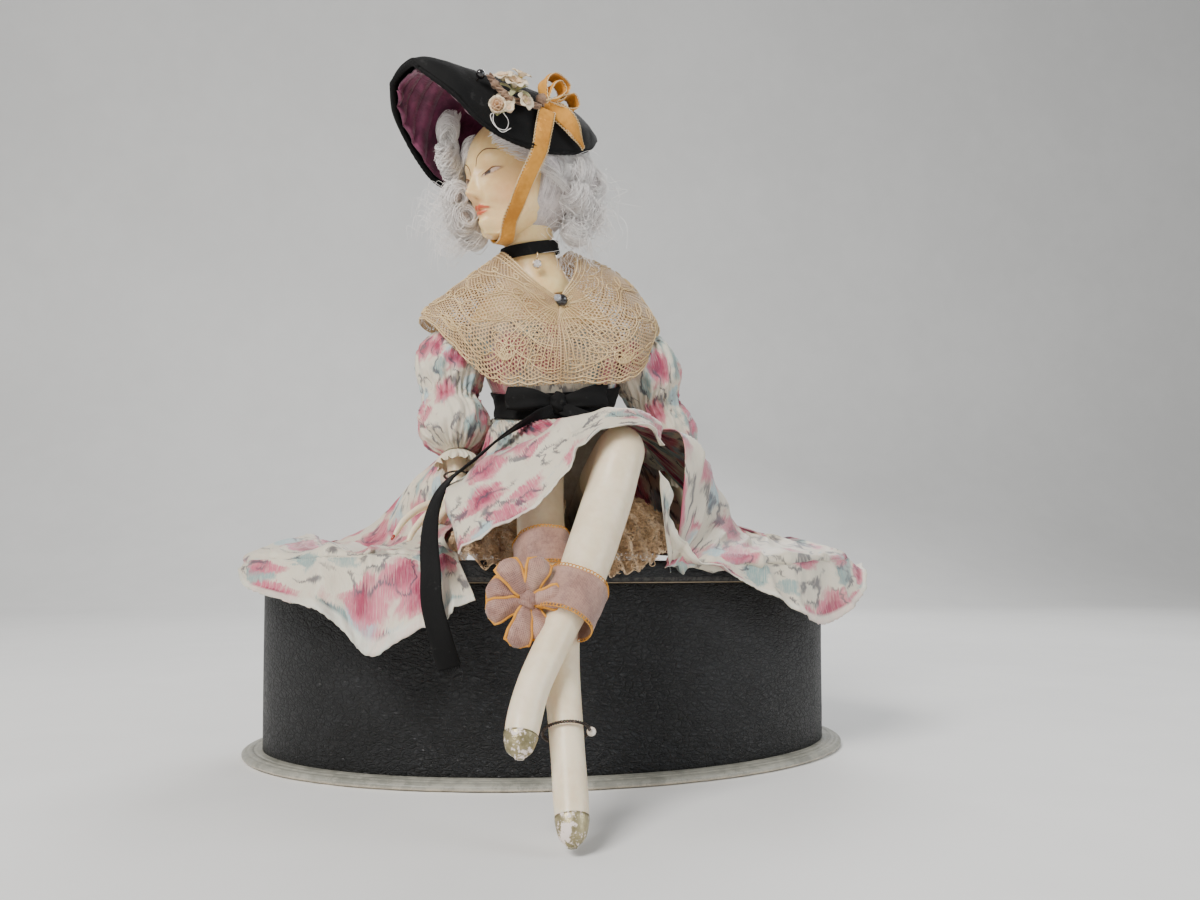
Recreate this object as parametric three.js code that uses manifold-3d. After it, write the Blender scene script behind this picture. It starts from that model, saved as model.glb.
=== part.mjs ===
// Wax doll seated on the lift-off lid of an oval, leather-covered box.
// Millimetres, +Z up, +Y away from the viewer. The origin is the centre of the base plate's
// underside. The doll is built on a wire armature that is clinched under the lid.
import * as THREE from 'three';
import { mergeVertices } from 'three/addons/utils/BufferGeometryUtils.js';
import Module from 'manifold-3d';

const wasm = await Module();
wasm.setup();

// Driving sizes of the box.
const BASE_HALF_LENGTH = 113;
const BASE_HALF_DEPTH = 74.8;
const BASE_THICKNESS = 3;
const BASE_EDGE_ROUND = 1.2;
const WALL_INSET = 7;
const WALL_HEIGHT = 60;
const LEATHER_THICKNESS = 0.8;
const WALL_CORE_THICKNESS = 2.2;
const FLOOR_LINING_THICKNESS = 0.6;
const OVAL_SIDES = 36;

// Lid.
const LID_OVERHANG = 6;
const LID_THICKNESS = 7;
const LID_EDGE_ROUND = 2;
const LID_COVER_THICKNESS = 1;
const COLLAR_DEPTH = 9;
const COLLAR_THICKNESS = 1.5;
const COLLAR_RUNNING_GAP = 0.7;

// Gaps between pieces, and the swing that the arms have room for, in degrees.
const FIT_GAP = 0.3;
const RUNNING_GAP = 0.45;
const ARM_SWING = 5;

// Armature.
const SPINE_WIRE_RADIUS = 1.2;
const LIMB_WIRE_RADIUS = 0.8;
const ANCHOR_RADIUS = 9;
const ANCHOR_THICKNESS = 1.2;
const CLINCH_RADIUS = 2.6;
const CLINCH_HEIGHT = 1.6;

// Body.
const SEAT_HALF_WIDTH = 27;
const SEAT_HALF_DEPTH = 19;
const WAIST_HALF_WIDTH = 18.5;
const WAIST_HALF_DEPTH = 14;
const CHEST_HALF_WIDTH = 24;
const CHEST_HALF_DEPTH = 15;
const SHOULDER_HALF_WIDTH = 26;
const SHOULDER_HALF_DEPTH = 11;
const NECK_RADIUS = 10;
const HEAD_HALF_WIDTH = 18.5;
const HEAD_HALF_DEPTH = 22;
const HEAD_HALF_HEIGHT = 25;
const BUST_PLATE_THICKNESS = 2.6;
const THIGH_RADIUS = 10.5;
const KNEE_RADIUS = 7.4;
const CALF_RADIUS = 6.7;
const SHIN_RADIUS = 4.9;
const ANKLE_RADIUS = 4.2;
const TOE_CLEARANCE = 1;
const UPPER_ARM_RADIUS = 5.2;
const ELBOW_RADIUS = 4.4;
const WRIST_RADIUS = 3.1;
const FINGER_RADIUS = 1.25;

// Cloth, lace and ribbons.
const SILK_THICKNESS = 0.9;
const LACE_THICKNESS = 0.7;
const BODICE_EASE = 1;
const SLEEVE_PUFF_RADIUS = 13.2;
const SLEEVE_PINCH_RADIUS = 9;
const CUFF_FRILL_RADIUS = 7.2;
const SKIRT_FOLD_DEPTH = 1.6;
const PETTICOAT_FOLD_DEPTH = 1.8;
const BELT_WIDTH = 9.5;
const RIBBON_THICKNESS = 0.8;
const STRAP_WIDTH = 5.5;
const SASH_TAIL_WIDTH = 6.5;
const GARTER_WIDTH = 12;
const GARTER_EASE = 0.7;

// Hat and jewels.
const HAT_THICKNESS = 1.6;
const HAT_LINING_THICKNESS = 0.7;
const HAT_HALF_WIDTH = 25.5;
const PIN_RADIUS = 0.6;
const PIN_HEAD_RADIUS = 1.6;
const CHOKER_WIDTH = 4.6;
const CHOKER_THICKNESS = 0.9;
const STONE_RADIUS = 1.7;
const PENDANT_WIRE_RADIUS = 0.35;
const BROOCH_RADIUS = 2.3;
const BANGLE_WIRE_RADIUS = 0.5;
const BANGLE_EASE = 0.5;
const BEAD_RADIUS = 1.3;

// Heights that follow from the sizes above.

const WALL_TOP = BASE_THICKNESS + WALL_HEIGHT;
const LID_UNDERSIDE = WALL_TOP + FIT_GAP;
const LID_TOP = LID_UNDERSIDE + LID_THICKNESS;
const LID_CORE_TOP = LID_TOP - LID_COVER_THICKNESS - FIT_GAP;
const WALL_HALF_LENGTH = BASE_HALF_LENGTH - WALL_INSET;
const WALL_HALF_DEPTH = BASE_HALF_DEPTH - WALL_INSET;
const LID_HALF_LENGTH = WALL_HALF_LENGTH + LID_OVERHANG;
const LID_HALF_DEPTH = WALL_HALF_DEPTH + LID_OVERHANG;
const CORE_OUTER_INSET = LEATHER_THICKNESS + FIT_GAP;
const CORE_INNER_INSET = CORE_OUTER_INSET + WALL_CORE_THICKNESS;
const COLLAR_OUTER_INSET = CORE_INNER_INSET + COLLAR_RUNNING_GAP;

const vec = (x, y, z) => new THREE.Vector3(x, y, z);

// A point of the doll, with its height measured from the top of the lid.
const over = (x, y, height) => vec(x, y, LID_TOP + height);

// Geometry helpers.

// Skins a grid of points into one closed body. Rows that don't wrap are capped with a fan.
function skin(grid, { wrapRows = false } = {}) {
  const positions = [];
  const triangles = [];
  const columns = grid[0].length;
  for (const row of grid) for (const point of row) positions.push(point.x, point.y, point.z);
  const rowPairs = wrapRows ? grid.length : grid.length - 1;
  for (let i = 0; i < rowPairs; i += 1) {
    const near = i * columns;
    const far = ((i + 1) % grid.length) * columns;
    for (let j = 0; j < columns; j += 1) {
      const next = (j + 1) % columns;
      triangles.push(near + j, near + next, far + next, near + j, far + next, far + j);
    }
  }
  if (!wrapRows) {
    const caps = [[grid[0], 0, true], [grid.at(-1), (grid.length - 1) * columns, false]];
    for (const [row, start, flip] of caps) {
      const centre = row.reduce((sum, point) => sum.add(point), vec(0, 0, 0)).divideScalar(columns);
      const hub = positions.length / 3;
      positions.push(centre.x, centre.y, centre.z);
      for (let j = 0; j < columns; j += 1) {
        const next = (j + 1) % columns;
        triangles.push(hub, start + (flip ? next : j), start + (flip ? j : next));
      }
    }
  }
  return facingOut(positions, triangles);
}

function facingOut(positions, triangles) {
  if (signedVolume(positions, triangles) < 0) {
    for (let i = 0; i < triangles.length; i += 3) {
      [triangles[i + 1], triangles[i + 2]] = [triangles[i + 2], triangles[i + 1]];
    }
  }
  const geometry = new THREE.BufferGeometry();
  geometry.setAttribute('position', new THREE.Float32BufferAttribute(positions, 3));
  geometry.setIndex(triangles);
  return geometry;
}

function signedVolume(positions, triangles) {
  let volume = 0;
  const corner = (index) => vec(positions[3 * index], positions[3 * index + 1], positions[3 * index + 2]);
  for (let i = 0; i < triangles.length; i += 3) {
    volume += corner(triangles[i]).dot(corner(triangles[i + 1]).cross(corner(triangles[i + 2]))) / 6;
  }
  return volume;
}

function welded(geometry, tolerance = 2e-3) {
  const bare = geometry.clone();
  bare.deleteAttribute('normal');
  bare.deleteAttribute('uv');
  const merged = mergeVertices(bare, tolerance);
  const index = merged.index.array;
  const kept = [];
  for (let i = 0; i < index.length; i += 3) {
    const [a, b, c] = [index[i], index[i + 1], index[i + 2]];
    if (a !== b && b !== c && c !== a) kept.push(a, b, c);
  }
  merged.setIndex(kept);
  return merged;
}

function solidOf(geometry) {
  const merged = welded(geometry, 1e-4);
  return new wasm.Manifold(new wasm.Mesh({
    numProp: 3,
    vertProperties: new Float32Array(merged.attributes.position.array),
    triVerts: new Uint32Array(merged.index.array),
  }));
}

// The largest connected body of a boolean's result, so that no sliver is left beside it.
function largestBody(solid) {
  const mesh = solid.getMesh();
  const raw = new THREE.BufferGeometry();
  const stride = mesh.numProp;
  const points = [];
  for (let i = 0; i < mesh.vertProperties.length; i += stride) {
    points.push(mesh.vertProperties[i], mesh.vertProperties[i + 1], mesh.vertProperties[i + 2]);
  }
  raw.setAttribute('position', new THREE.Float32BufferAttribute(points, 3));
  raw.setIndex(Array.from(mesh.triVerts));
  const merged = welded(raw);
  const index = merged.index.array;
  const position = merged.attributes.position.array;
  const parent = Array.from({ length: position.length / 3 }, (_, i) => i);
  const root = (i) => {
    while (parent[i] !== i) {
      parent[i] = parent[parent[i]];
      i = parent[i];
    }
    return i;
  };
  for (let i = 0; i < index.length; i += 3) {
    parent[root(index[i])] = root(index[i + 1]);
    parent[root(index[i + 1])] = root(index[i + 2]);
  }
  const bodies = new Map();
  for (let i = 0; i < index.length; i += 3) {
    const key = root(index[i]);
    if (!bodies.has(key)) bodies.set(key, []);
    bodies.get(key).push(index[i], index[i + 1], index[i + 2]);
  }
  const sizes = [...bodies.values()].map((triangles) => [signedVolume(position, triangles), triangles]);
  sizes.sort((a, b) => b[0] - a[0]);
  return facingOut(Array.from(position), sizes[0][1]);
}

// A copy whose every face lies further out by the given distance.
function grown(geometry, distance) {
  const merged = welded(geometry, 1e-4);
  const position = merged.attributes.position;
  const index = merged.index.array;
  const corner = (i) => new THREE.Vector3().fromBufferAttribute(position, i);
  const normals = Array.from({ length: position.count }, () => vec(0, 0, 0));
  const faces = Array.from({ length: position.count }, () => []);
  for (let i = 0; i < index.length; i += 3) {
    const ids = [index[i], index[i + 1], index[i + 2]];
    const [a, b, c] = ids.map(corner);
    const face = b.clone().sub(a).cross(c.clone().sub(a));
    if (face.length() < 1e-9) continue;
    face.normalize();
    ids.forEach((id, k) => {
      const here = [a, b, c][k];
      const one = [a, b, c][(k + 1) % 3].clone().sub(here);
      const two = [a, b, c][(k + 2) % 3].clone().sub(here);
      normals[id].addScaledVector(face, one.angleTo(two));
      faces[id].push(face);
    });
  }
  const moved = [];
  for (let i = 0; i < position.count; i += 1) {
    const normal = normals[i].normalize();
    const lean = Math.max(0.45, Math.min(...faces[i].map((face) => face.dot(normal))));
    const point = corner(i).addScaledVector(normal, distance / lean);
    moved.push(point.x, point.y, point.z);
  }
  const copy = new THREE.BufferGeometry();
  copy.setAttribute('position', new THREE.Float32BufferAttribute(moved, 3));
  copy.setIndex(Array.from(index));
  return copy;
}

const near = (a, b) => {
  a.computeBoundingBox();
  b.computeBoundingBox();
  return a.boundingBox.clone().expandByScalar(1).intersectsBox(b.boundingBox);
};

// Cuts a piece back so that it clears each of its neighbours by the gap.
function cleared(geometry, neighbours, gap = FIT_GAP) {
  const close = neighbours.filter((other) => near(geometry, other));
  if (close.length === 0) return geometry;
  let solid = solidOf(geometry);
  for (const other of close) solid = solid.subtract(solidOf(grown(other, gap)));
  return largestBody(solid);
}

// A piece at rest and at steps of a swing about a front-to-back axis through a pivot.
function swings(geometry, pivot, degrees) {
  return [0, 0.25, 0.5, 1].map((share) => {
    const copy = geometry.clone();
    copy.translate(-pivot.x, -pivot.y, -pivot.z);
    copy.rotateY(THREE.MathUtils.degToRad(share * degrees));
    copy.translate(pivot.x, pivot.y, pivot.z);
    return copy;
  });
}

function joined(...geometries) {
  let solid = solidOf(geometries[0]);
  for (const other of geometries.slice(1)) solid = solid.add(solidOf(other));
  return largestBody(solid);
}

const curveOf = (points) => new THREE.CatmullRomCurve3(points, false, 'catmullrom', 0.5);

// Reads a list of numbers as a smooth run along 0..1.
function along(values, t) {
  const at = t * (values.length - 1);
  const i = Math.min(values.length - 2, Math.floor(at));
  const f = at - i;
  const smooth = f * f * (3 - 2 * f);
  return values[i] + (values[i + 1] - values[i]) * smooth;
}

// A limb or roll with an elliptical section. `side` fixes the direction of the first radius.
function limb(points, radii, { sides = 12, steps = 12, side = vec(1, 0, 0), swell = () => 1 } = {}) {
  const curve = curveOf(points);
  const grid = [];
  const widths = radii.map((radius) => radius[0] ?? radius);
  const depths = radii.map((radius) => radius[1] ?? radius);
  for (let i = 0; i <= steps; i += 1) {
    const t = i / steps;
    const centre = curve.getPoint(t);
    const tangent = curve.getTangent(t);
    const across = side.clone().addScaledVector(tangent, -side.dot(tangent)).normalize();
    const up = tangent.clone().cross(across);
    const row = [];
    for (let j = 0; j < sides; j += 1) {
      const angle = (2 * Math.PI * j) / sides;
      const size = swell(t, angle);
      row.push(centre.clone()
        .addScaledVector(across, along(widths, t) * size * Math.cos(angle))
        .addScaledVector(up, along(depths, t) * size * Math.sin(angle)));
    }
    grid.push(row);
  }
  return skin(grid);
}

// A closed ring of wire round an axis.
function ring(centre, axis, radius, wireRadius, sides = 14) {
  const tube = new THREE.TorusGeometry(radius, wireRadius, 5, sides);
  tube.applyQuaternion(new THREE.Quaternion().setFromUnitVectors(vec(0, 0, 1), axis.clone().normalize()));
  tube.translate(centre.x, centre.y, centre.z);
  return tube;
}

function ball(centre, radii, detail = 12) {
  const geometry = new THREE.SphereGeometry(1, detail, Math.max(6, Math.round(detail * 0.6)));
  const [a, b, c] = Array.isArray(radii) ? radii : [radii, radii, radii];
  geometry.scale(a, b, c);
  geometry.translate(centre.x, centre.y, centre.z);
  return geometry;
}

// A smooth surface through rows of points, given a thickness from `low` to `high` along its normal.
function sheet(rows, { low, high, steps = [10, 20], wave = () => 0 }) {
  const [tall, wide] = steps;
  const lines = rows.map((row) => curveOf(row));
  const surface = [];
  const columns = [];
  for (let j = 0; j <= wide; j += 1) columns.push(curveOf(lines.map((line) => line.getPoint(j / wide))));
  for (let i = 0; i <= tall; i += 1) surface.push(columns.map((column) => column.getPoint(i / tall)));
  const offsets = (distance) => surface.map((row, i) => row.map((point, j) => {
    const down = surface[Math.min(tall, i + 1)][j].clone().sub(surface[Math.max(0, i - 1)][j]);
    const across = row[Math.min(wide, j + 1)].clone().sub(row[Math.max(0, j - 1)]);
    const normal = across.cross(down).normalize();
    return point.clone().addScaledVector(normal, distance + wave(i / tall, j / wide));
  }));
  const positions = [];
  const triangles = [];
  const layers = [offsets(low), offsets(high)];
  for (const point of layers.flat(2)) positions.push(point.x, point.y, point.z);
  const id = (layer, i, j) => layer * (tall + 1) * (wide + 1) + i * (wide + 1) + j;
  const quad = (a, b, c, d) => triangles.push(a, b, c, a, c, d);
  for (let i = 0; i < tall; i += 1) {
    for (let j = 0; j < wide; j += 1) {
      quad(id(0, i, j), id(0, i, j + 1), id(0, i + 1, j + 1), id(0, i + 1, j));
      quad(id(1, i, j), id(1, i + 1, j), id(1, i + 1, j + 1), id(1, i, j + 1));
    }
    quad(id(0, i, 0), id(0, i + 1, 0), id(1, i + 1, 0), id(1, i, 0));
    quad(id(0, i, wide), id(1, i, wide), id(1, i + 1, wide), id(0, i + 1, wide));
  }
  for (let j = 0; j < wide; j += 1) {
    quad(id(0, 0, j), id(1, 0, j), id(1, 0, j + 1), id(0, 0, j + 1));
    quad(id(0, tall, j), id(0, tall, j + 1), id(1, tall, j + 1), id(1, tall, j));
  }
  return facingOut(positions, triangles);
}

// A ribbon along a path. `across` gives the direction of its width from its start to its end.
function ribbon(points, width, across, { steps = 14, thickness = RIBBON_THICKNESS } = {}) {
  const curve = curveOf(points);
  const widths = Array.isArray(width) ? width : [width, width];
  const grid = [];
  for (let i = 0; i <= steps; i += 1) {
    const t = i / steps;
    const centre = curve.getPoint(t);
    const tangent = curve.getTangent(t);
    const stage = Math.min(across.length - 2, Math.floor(t * (across.length - 1)));
    const lean = across[stage].clone().lerp(across[stage + 1], t * (across.length - 1) - stage);
    const side = lean.addScaledVector(tangent, -lean.dot(tangent)).normalize();
    const up = tangent.clone().cross(side).normalize();
    const half = along(widths, t) / 2;
    const corner = (a, b) => centre.clone()
      .addScaledVector(side, a * half).addScaledVector(up, (b * thickness) / 2);
    grid.push([corner(-1, -1), corner(1, -1), corner(1, 1), corner(-1, 1)]);
  }
  return skin(grid);
}

// Oval box.

function oval(halfLength, halfDepth, height) {
  const points = [];
  for (let i = 0; i < OVAL_SIDES; i += 1) {
    const angle = (2 * Math.PI * i) / OVAL_SIDES;
    points.push(vec(halfLength * Math.cos(angle), halfDepth * Math.sin(angle), height));
  }
  return points;
}

// Rings of the base plate's and the wall's oval, each drawn in by an inset at a height.
const rings = (halfLength, halfDepth, profile) => profile.map(
  ([inset, height]) => oval(halfLength - inset, halfDepth - inset, height),
);
const baseRings = (profile) => rings(BASE_HALF_LENGTH, BASE_HALF_DEPTH, profile);
const wallRings = (profile) => rings(WALL_HALF_LENGTH, WALL_HALF_DEPTH, profile);

const basePlate = skin(baseRings([
  [BASE_EDGE_ROUND, 0],
  [0, BASE_EDGE_ROUND * 0.5],
  [0, BASE_THICKNESS * 0.6],
  [BASE_EDGE_ROUND, BASE_THICKNESS * 0.85],
  [BASE_EDGE_ROUND * 2.2, BASE_THICKNESS],
]));

const wallCore = skin(wallRings([
  [CORE_OUTER_INSET, BASE_THICKNESS],
  [CORE_OUTER_INSET, WALL_TOP],
  [CORE_INNER_INSET, WALL_TOP],
  [CORE_INNER_INSET, BASE_THICKNESS],
]), { wrapRows: true });

const leatherCover = skin(wallRings([
  [0, BASE_THICKNESS],
  [0, WALL_TOP],
  [LEATHER_THICKNESS, WALL_TOP],
  [LEATHER_THICKNESS, BASE_THICKNESS],
]), { wrapRows: true });

const floorLining = skin(wallRings([
  [CORE_INNER_INSET + FIT_GAP, BASE_THICKNESS],
  [CORE_INNER_INSET + FIT_GAP, BASE_THICKNESS + FLOOR_LINING_THICKNESS],
]));

const lidCoreInset = LID_COVER_THICKNESS + FIT_GAP;
const lidCorePlain = skin(wallRings([
  [lidCoreInset - LID_OVERHANG, LID_UNDERSIDE],
  [lidCoreInset - LID_OVERHANG, LID_CORE_TOP - LID_EDGE_ROUND],
  [lidCoreInset - LID_OVERHANG + LID_EDGE_ROUND, LID_CORE_TOP],
]));

const pocketInset = LID_COVER_THICKNESS - LID_OVERHANG;
const lidCoverPlain = skin(wallRings([
  [pocketInset + LID_EDGE_ROUND, LID_TOP - LID_COVER_THICKNESS],
  [pocketInset, LID_TOP - LID_COVER_THICKNESS - LID_EDGE_ROUND],
  [pocketInset, LID_UNDERSIDE],
  [LID_EDGE_ROUND * 0.5 - LID_OVERHANG, LID_UNDERSIDE],
  [-LID_OVERHANG, LID_UNDERSIDE + LID_EDGE_ROUND * 0.7],
  [-LID_OVERHANG, LID_TOP - LID_EDGE_ROUND],
  [LID_EDGE_ROUND - LID_OVERHANG, LID_TOP],
]));

const lidCollar = skin(wallRings([
  [COLLAR_OUTER_INSET, LID_UNDERSIDE],
  [COLLAR_OUTER_INSET, LID_UNDERSIDE - COLLAR_DEPTH],
  [COLLAR_OUTER_INSET + COLLAR_THICKNESS, LID_UNDERSIDE - COLLAR_DEPTH],
  [COLLAR_OUTER_INSET + COLLAR_THICKNESS, LID_UNDERSIDE],
]), { wrapRows: true });

// Armature, clinched under the lid.

const anchorTop = LID_UNDERSIDE;
const anchorBottom = anchorTop - ANCHOR_THICKNESS;
const spineFoot = anchorBottom - FIT_GAP;
const spineAt = (height) => vec(0, 4, height);
const SPINE_ROUTE = [
  over(0, 4, 0), over(0, 3, 30), over(-1, 2, 60), over(-4, 2, 85), over(-8, 1, 106), over(-10, 0, 122),
];
const disc = (radius, bottom, top) => limb(
  [spineAt(bottom), spineAt(top)], [radius, radius], { sides: 14, steps: 1 },
);
const spineWire = joined(
  limb([spineAt(spineFoot - CLINCH_HEIGHT / 2), ...SPINE_ROUTE], [SPINE_WIRE_RADIUS, SPINE_WIRE_RADIUS],
    { sides: 8, steps: 10 }),
  disc(CLINCH_RADIUS, spineFoot - CLINCH_HEIGHT, spineFoot),
);
const anchorWasher = cleared(disc(ANCHOR_RADIUS, anchorBottom, anchorTop), [spineWire]);

const RIGHT_SHOULDER = over(-37, 1, 90);
const LEFT_SHOULDER = over(31, 3, 92);
const shoulderCentre = over(-4, 5, 89);
function wireRun(points, radius = LIMB_WIRE_RADIUS, steps = 6) {
  return limb(points, [radius, radius], { sides: 6, steps, side: vec(0, 0, 1) });
}
const shoulderWire = cleared(wireRun([RIGHT_SHOULDER, shoulderCentre, LEFT_SHOULDER]), [spineWire]);

// Routes of the legs: the thighs leave the hips at lid height, the knees bend at the lid's front edge,
// and the shins hang to just above the floor.
const LID_FRONT = -LID_HALF_DEPTH;
const RIGHT_HIP = over(-12, -8, 13);
const LEFT_HIP = over(13, -8, 15);
const RIGHT_KNEE = over(-13, LID_FRONT + 7.8, 26);
const LEFT_KNEE = over(10, LID_FRONT - 5.2, 33);
const rightToe = vec(-13, LID_FRONT - 61.7, TOE_CLEARANCE + ANKLE_RADIUS * 0.35);
const leftToe = vec(-25, LID_FRONT - 55.7, 22.6);
const between = (from, to, share, shift = vec(0, 0, 0)) => from.clone().lerp(to, share).add(shift);
// The shin runs straight from knee to toe, apart from small sideways shifts (x, y) along it.
const SHIN_SHARES = [0.2, 0.45, 0.62, 0.8, 0.93];
const shinRoute = (knee, toe, shifts) => [
  knee, ...SHIN_SHARES.map((share, i) => between(knee, toe, share, vec(...shifts[i], 0))), toe,
];
const rightShin = shinRoute(RIGHT_KNEE, rightToe, [[-1, 2], [0.6, 1], [1.2, 1], [1, 0.5], [0.6, 0]]);
const leftShin = shinRoute(LEFT_KNEE, leftToe, [[1, 1], [0.8, 1], [-0.4, 1], [-2.4, 1], [-1.6, 0]]);
const THIGH_SHARE_IN_CLOTH = 0.55;
const rightStump = between(RIGHT_HIP, RIGHT_KNEE, THIGH_SHARE_IN_CLOTH);
const leftStump = between(LEFT_HIP, LEFT_KNEE, THIGH_SHARE_IN_CLOTH);
const legWire = (hip, stump, knee) => wireRun([between(hip, stump, 0.2), stump, between(stump, knee, 0.7)]);
const rightLegWire = legWire(RIGHT_HIP, rightStump, RIGHT_KNEE);
const leftLegWire = legWire(LEFT_HIP, leftStump, LEFT_KNEE);

// Cloth body and wax limbs.

// Sections of the stuffed body: height above the lid, centre, half width and half depth.
const BODY_SECTIONS = [
  [FIT_GAP, 0, 4, SEAT_HALF_WIDTH * 0.86, SEAT_HALF_DEPTH * 0.86],
  [6, 0, 4, SEAT_HALF_WIDTH, SEAT_HALF_DEPTH],
  [24, 0, 3, SEAT_HALF_WIDTH * 0.98, SEAT_HALF_DEPTH * 0.98],
  [44, 0, 2, WAIST_HALF_WIDTH * 1.15, WAIST_HALF_DEPTH * 1.12],
  [52, 0, 1, WAIST_HALF_WIDTH * 1.03, WAIST_HALF_DEPTH * 1.03],
  [60, 0, 0, WAIST_HALF_WIDTH, WAIST_HALF_DEPTH],
  [70, -1, 0, CHEST_HALF_WIDTH * 0.92, CHEST_HALF_DEPTH * 0.95],
  [80, -2, 1, CHEST_HALF_WIDTH, CHEST_HALF_DEPTH],
  [90, -4, 2, SHOULDER_HALF_WIDTH, SHOULDER_HALF_DEPTH],
  [97, -5, 2, SHOULDER_HALF_WIDTH * 0.72, SHOULDER_HALF_DEPTH * 0.8],
];
const BODY_SIDES = 12;
function oneSection(height, x, y, halfWidth, halfDepth) {
  const row = [];
  for (let j = 0; j < BODY_SIDES; j += 1) {
    const angle = (2 * Math.PI * j) / BODY_SIDES;
    row.push(over(x + halfWidth * Math.cos(angle), y + halfDepth * Math.sin(angle), height));
  }
  return row;
}
const bodySections = (ease, first, last) => BODY_SECTIONS.slice(first, last + 1).map(
  ([height, x, y, halfWidth, halfDepth]) => oneSection(height, x, y, halfWidth + ease, halfDepth + ease),
);
const torsoPlain = skin(bodySections(0, 0, 9));

const LEG_RADII = [
  [THIGH_RADIUS * 0.92, THIGH_RADIUS * 0.92], [KNEE_RADIUS, KNEE_RADIUS * 1.08],
  [KNEE_RADIUS * 0.98, KNEE_RADIUS],
  [CALF_RADIUS, CALF_RADIUS], [SHIN_RADIUS, SHIN_RADIUS * 1.1], [ANKLE_RADIUS * 1.05, ANKLE_RADIUS * 1.1],
  [ANKLE_RADIUS, ANKLE_RADIUS * 0.95], [ANKLE_RADIUS * 0.58, ANKLE_RADIUS * 0.45],
];
const rightLegPlain = limb([rightStump, ...rightShin], LEG_RADII, { sides: 12, steps: 15 });
const leftLegPlain = limb([leftStump, ...leftShin], LEG_RADII, { sides: 12, steps: 15 });

const torso = cleared(torsoPlain, [spineWire, shoulderWire, rightLegWire, leftLegWire]);
const leftLeg = cleared(leftLegPlain, [leftLegWire]);
const rightLeg = cleared(rightLegPlain, [rightLegWire, leftLegPlain]);
const thigh = (hip, stump, wireSolid, leg) => cleared(
  limb([hip, stump], [[THIGH_RADIUS * 1.1, THIGH_RADIUS], [THIGH_RADIUS, THIGH_RADIUS * 0.95]],
    { sides: 10, steps: 2 }),
  [torsoPlain, wireSolid, leg],
);
const rightThigh = thigh(RIGHT_HIP, rightStump, rightLegWire, rightLegPlain);
const leftThigh = cleared(thigh(LEFT_HIP, leftStump, leftLegWire, leftLegPlain), [rightThigh]);

// Head and bust, cast in one piece with a shoulder plate over the body.
const HEAD_CENTRE = over(-15.5, -6.5, 143.5);
const FACING = THREE.MathUtils.degToRad(-145);
const forward = vec(Math.cos(FACING), Math.sin(FACING), 0);
const nearSide = vec(-Math.sin(FACING), Math.cos(FACING), 0);
const headPoint = (ahead, beside, up) => HEAD_CENTRE.clone()
  .addScaledVector(forward, ahead).addScaledVector(nearSide, beside).add(vec(0, 0, up));
function headShape() {
  const grid = [];
  // height, ahead and size of each section, from the chin to the crown
  const sections = [
    [-0.93, 0.55, 0.22], [-0.8, 0.42, 0.5], [-0.55, 0.2, 0.78], [-0.25, 0.08, 0.93], [0.1, 0, 1],
    [0.42, -0.03, 0.95], [0.7, -0.05, 0.76], [0.9, -0.06, 0.45], [0.985, -0.06, 0.17],
  ];
  for (const [up, ahead, size] of sections) {
    const row = [];
    for (let j = 0; j < 12; j += 1) {
      const angle = (2 * Math.PI * j) / 12;
      row.push(headPoint(
        (ahead + size * Math.cos(angle)) * HEAD_HALF_DEPTH * 0.93,
        size * Math.sin(angle) * HEAD_HALF_WIDTH,
        up * HEAD_HALF_HEIGHT,
      ));
    }
    grid.push(row);
  }
  return skin(grid);
}
const nose = ball(headPoint(HEAD_HALF_DEPTH * 0.98, 0, -HEAD_HALF_HEIGHT * 0.36), [2.6, 2.2, 3.4], 6);
const neck = limb([over(-6, 1, 103), over(-9, -1, 114), over(-11, -3, 124), over(-12, -4, 132)],
  [NECK_RADIUS * 1.5, NECK_RADIUS, NECK_RADIUS * 0.98, NECK_RADIUS * 1.1], { sides: 10, steps: 4 });
const PLATE_HALF_WIDTH = SHOULDER_HALF_WIDTH + BUST_PLATE_THICKNESS;
const PLATE_HALF_DEPTH = SHOULDER_HALF_DEPTH + BUST_PLATE_THICKNESS;
const plate = skin([
  oneSection(80, -2, 1, PLATE_HALF_WIDTH * 0.84, CHEST_HALF_DEPTH + BUST_PLATE_THICKNESS),
  oneSection(90, -4, 2, PLATE_HALF_WIDTH, PLATE_HALF_DEPTH),
  oneSection(97, -5, 2, PLATE_HALF_WIDTH * 0.87, PLATE_HALF_DEPTH * 0.97),
  oneSection(103, -6, 1, NECK_RADIUS * 1.9, NECK_RADIUS * 1.25),
  oneSection(107, -7, 0, NECK_RADIUS * 1.25, NECK_RADIUS * 1.08),
]);
const bustPlain = joined(plate, neck, headShape(), nose);
const bust = cleared(bustPlain, [torsoPlain, spineWire, shoulderWire]);

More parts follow.
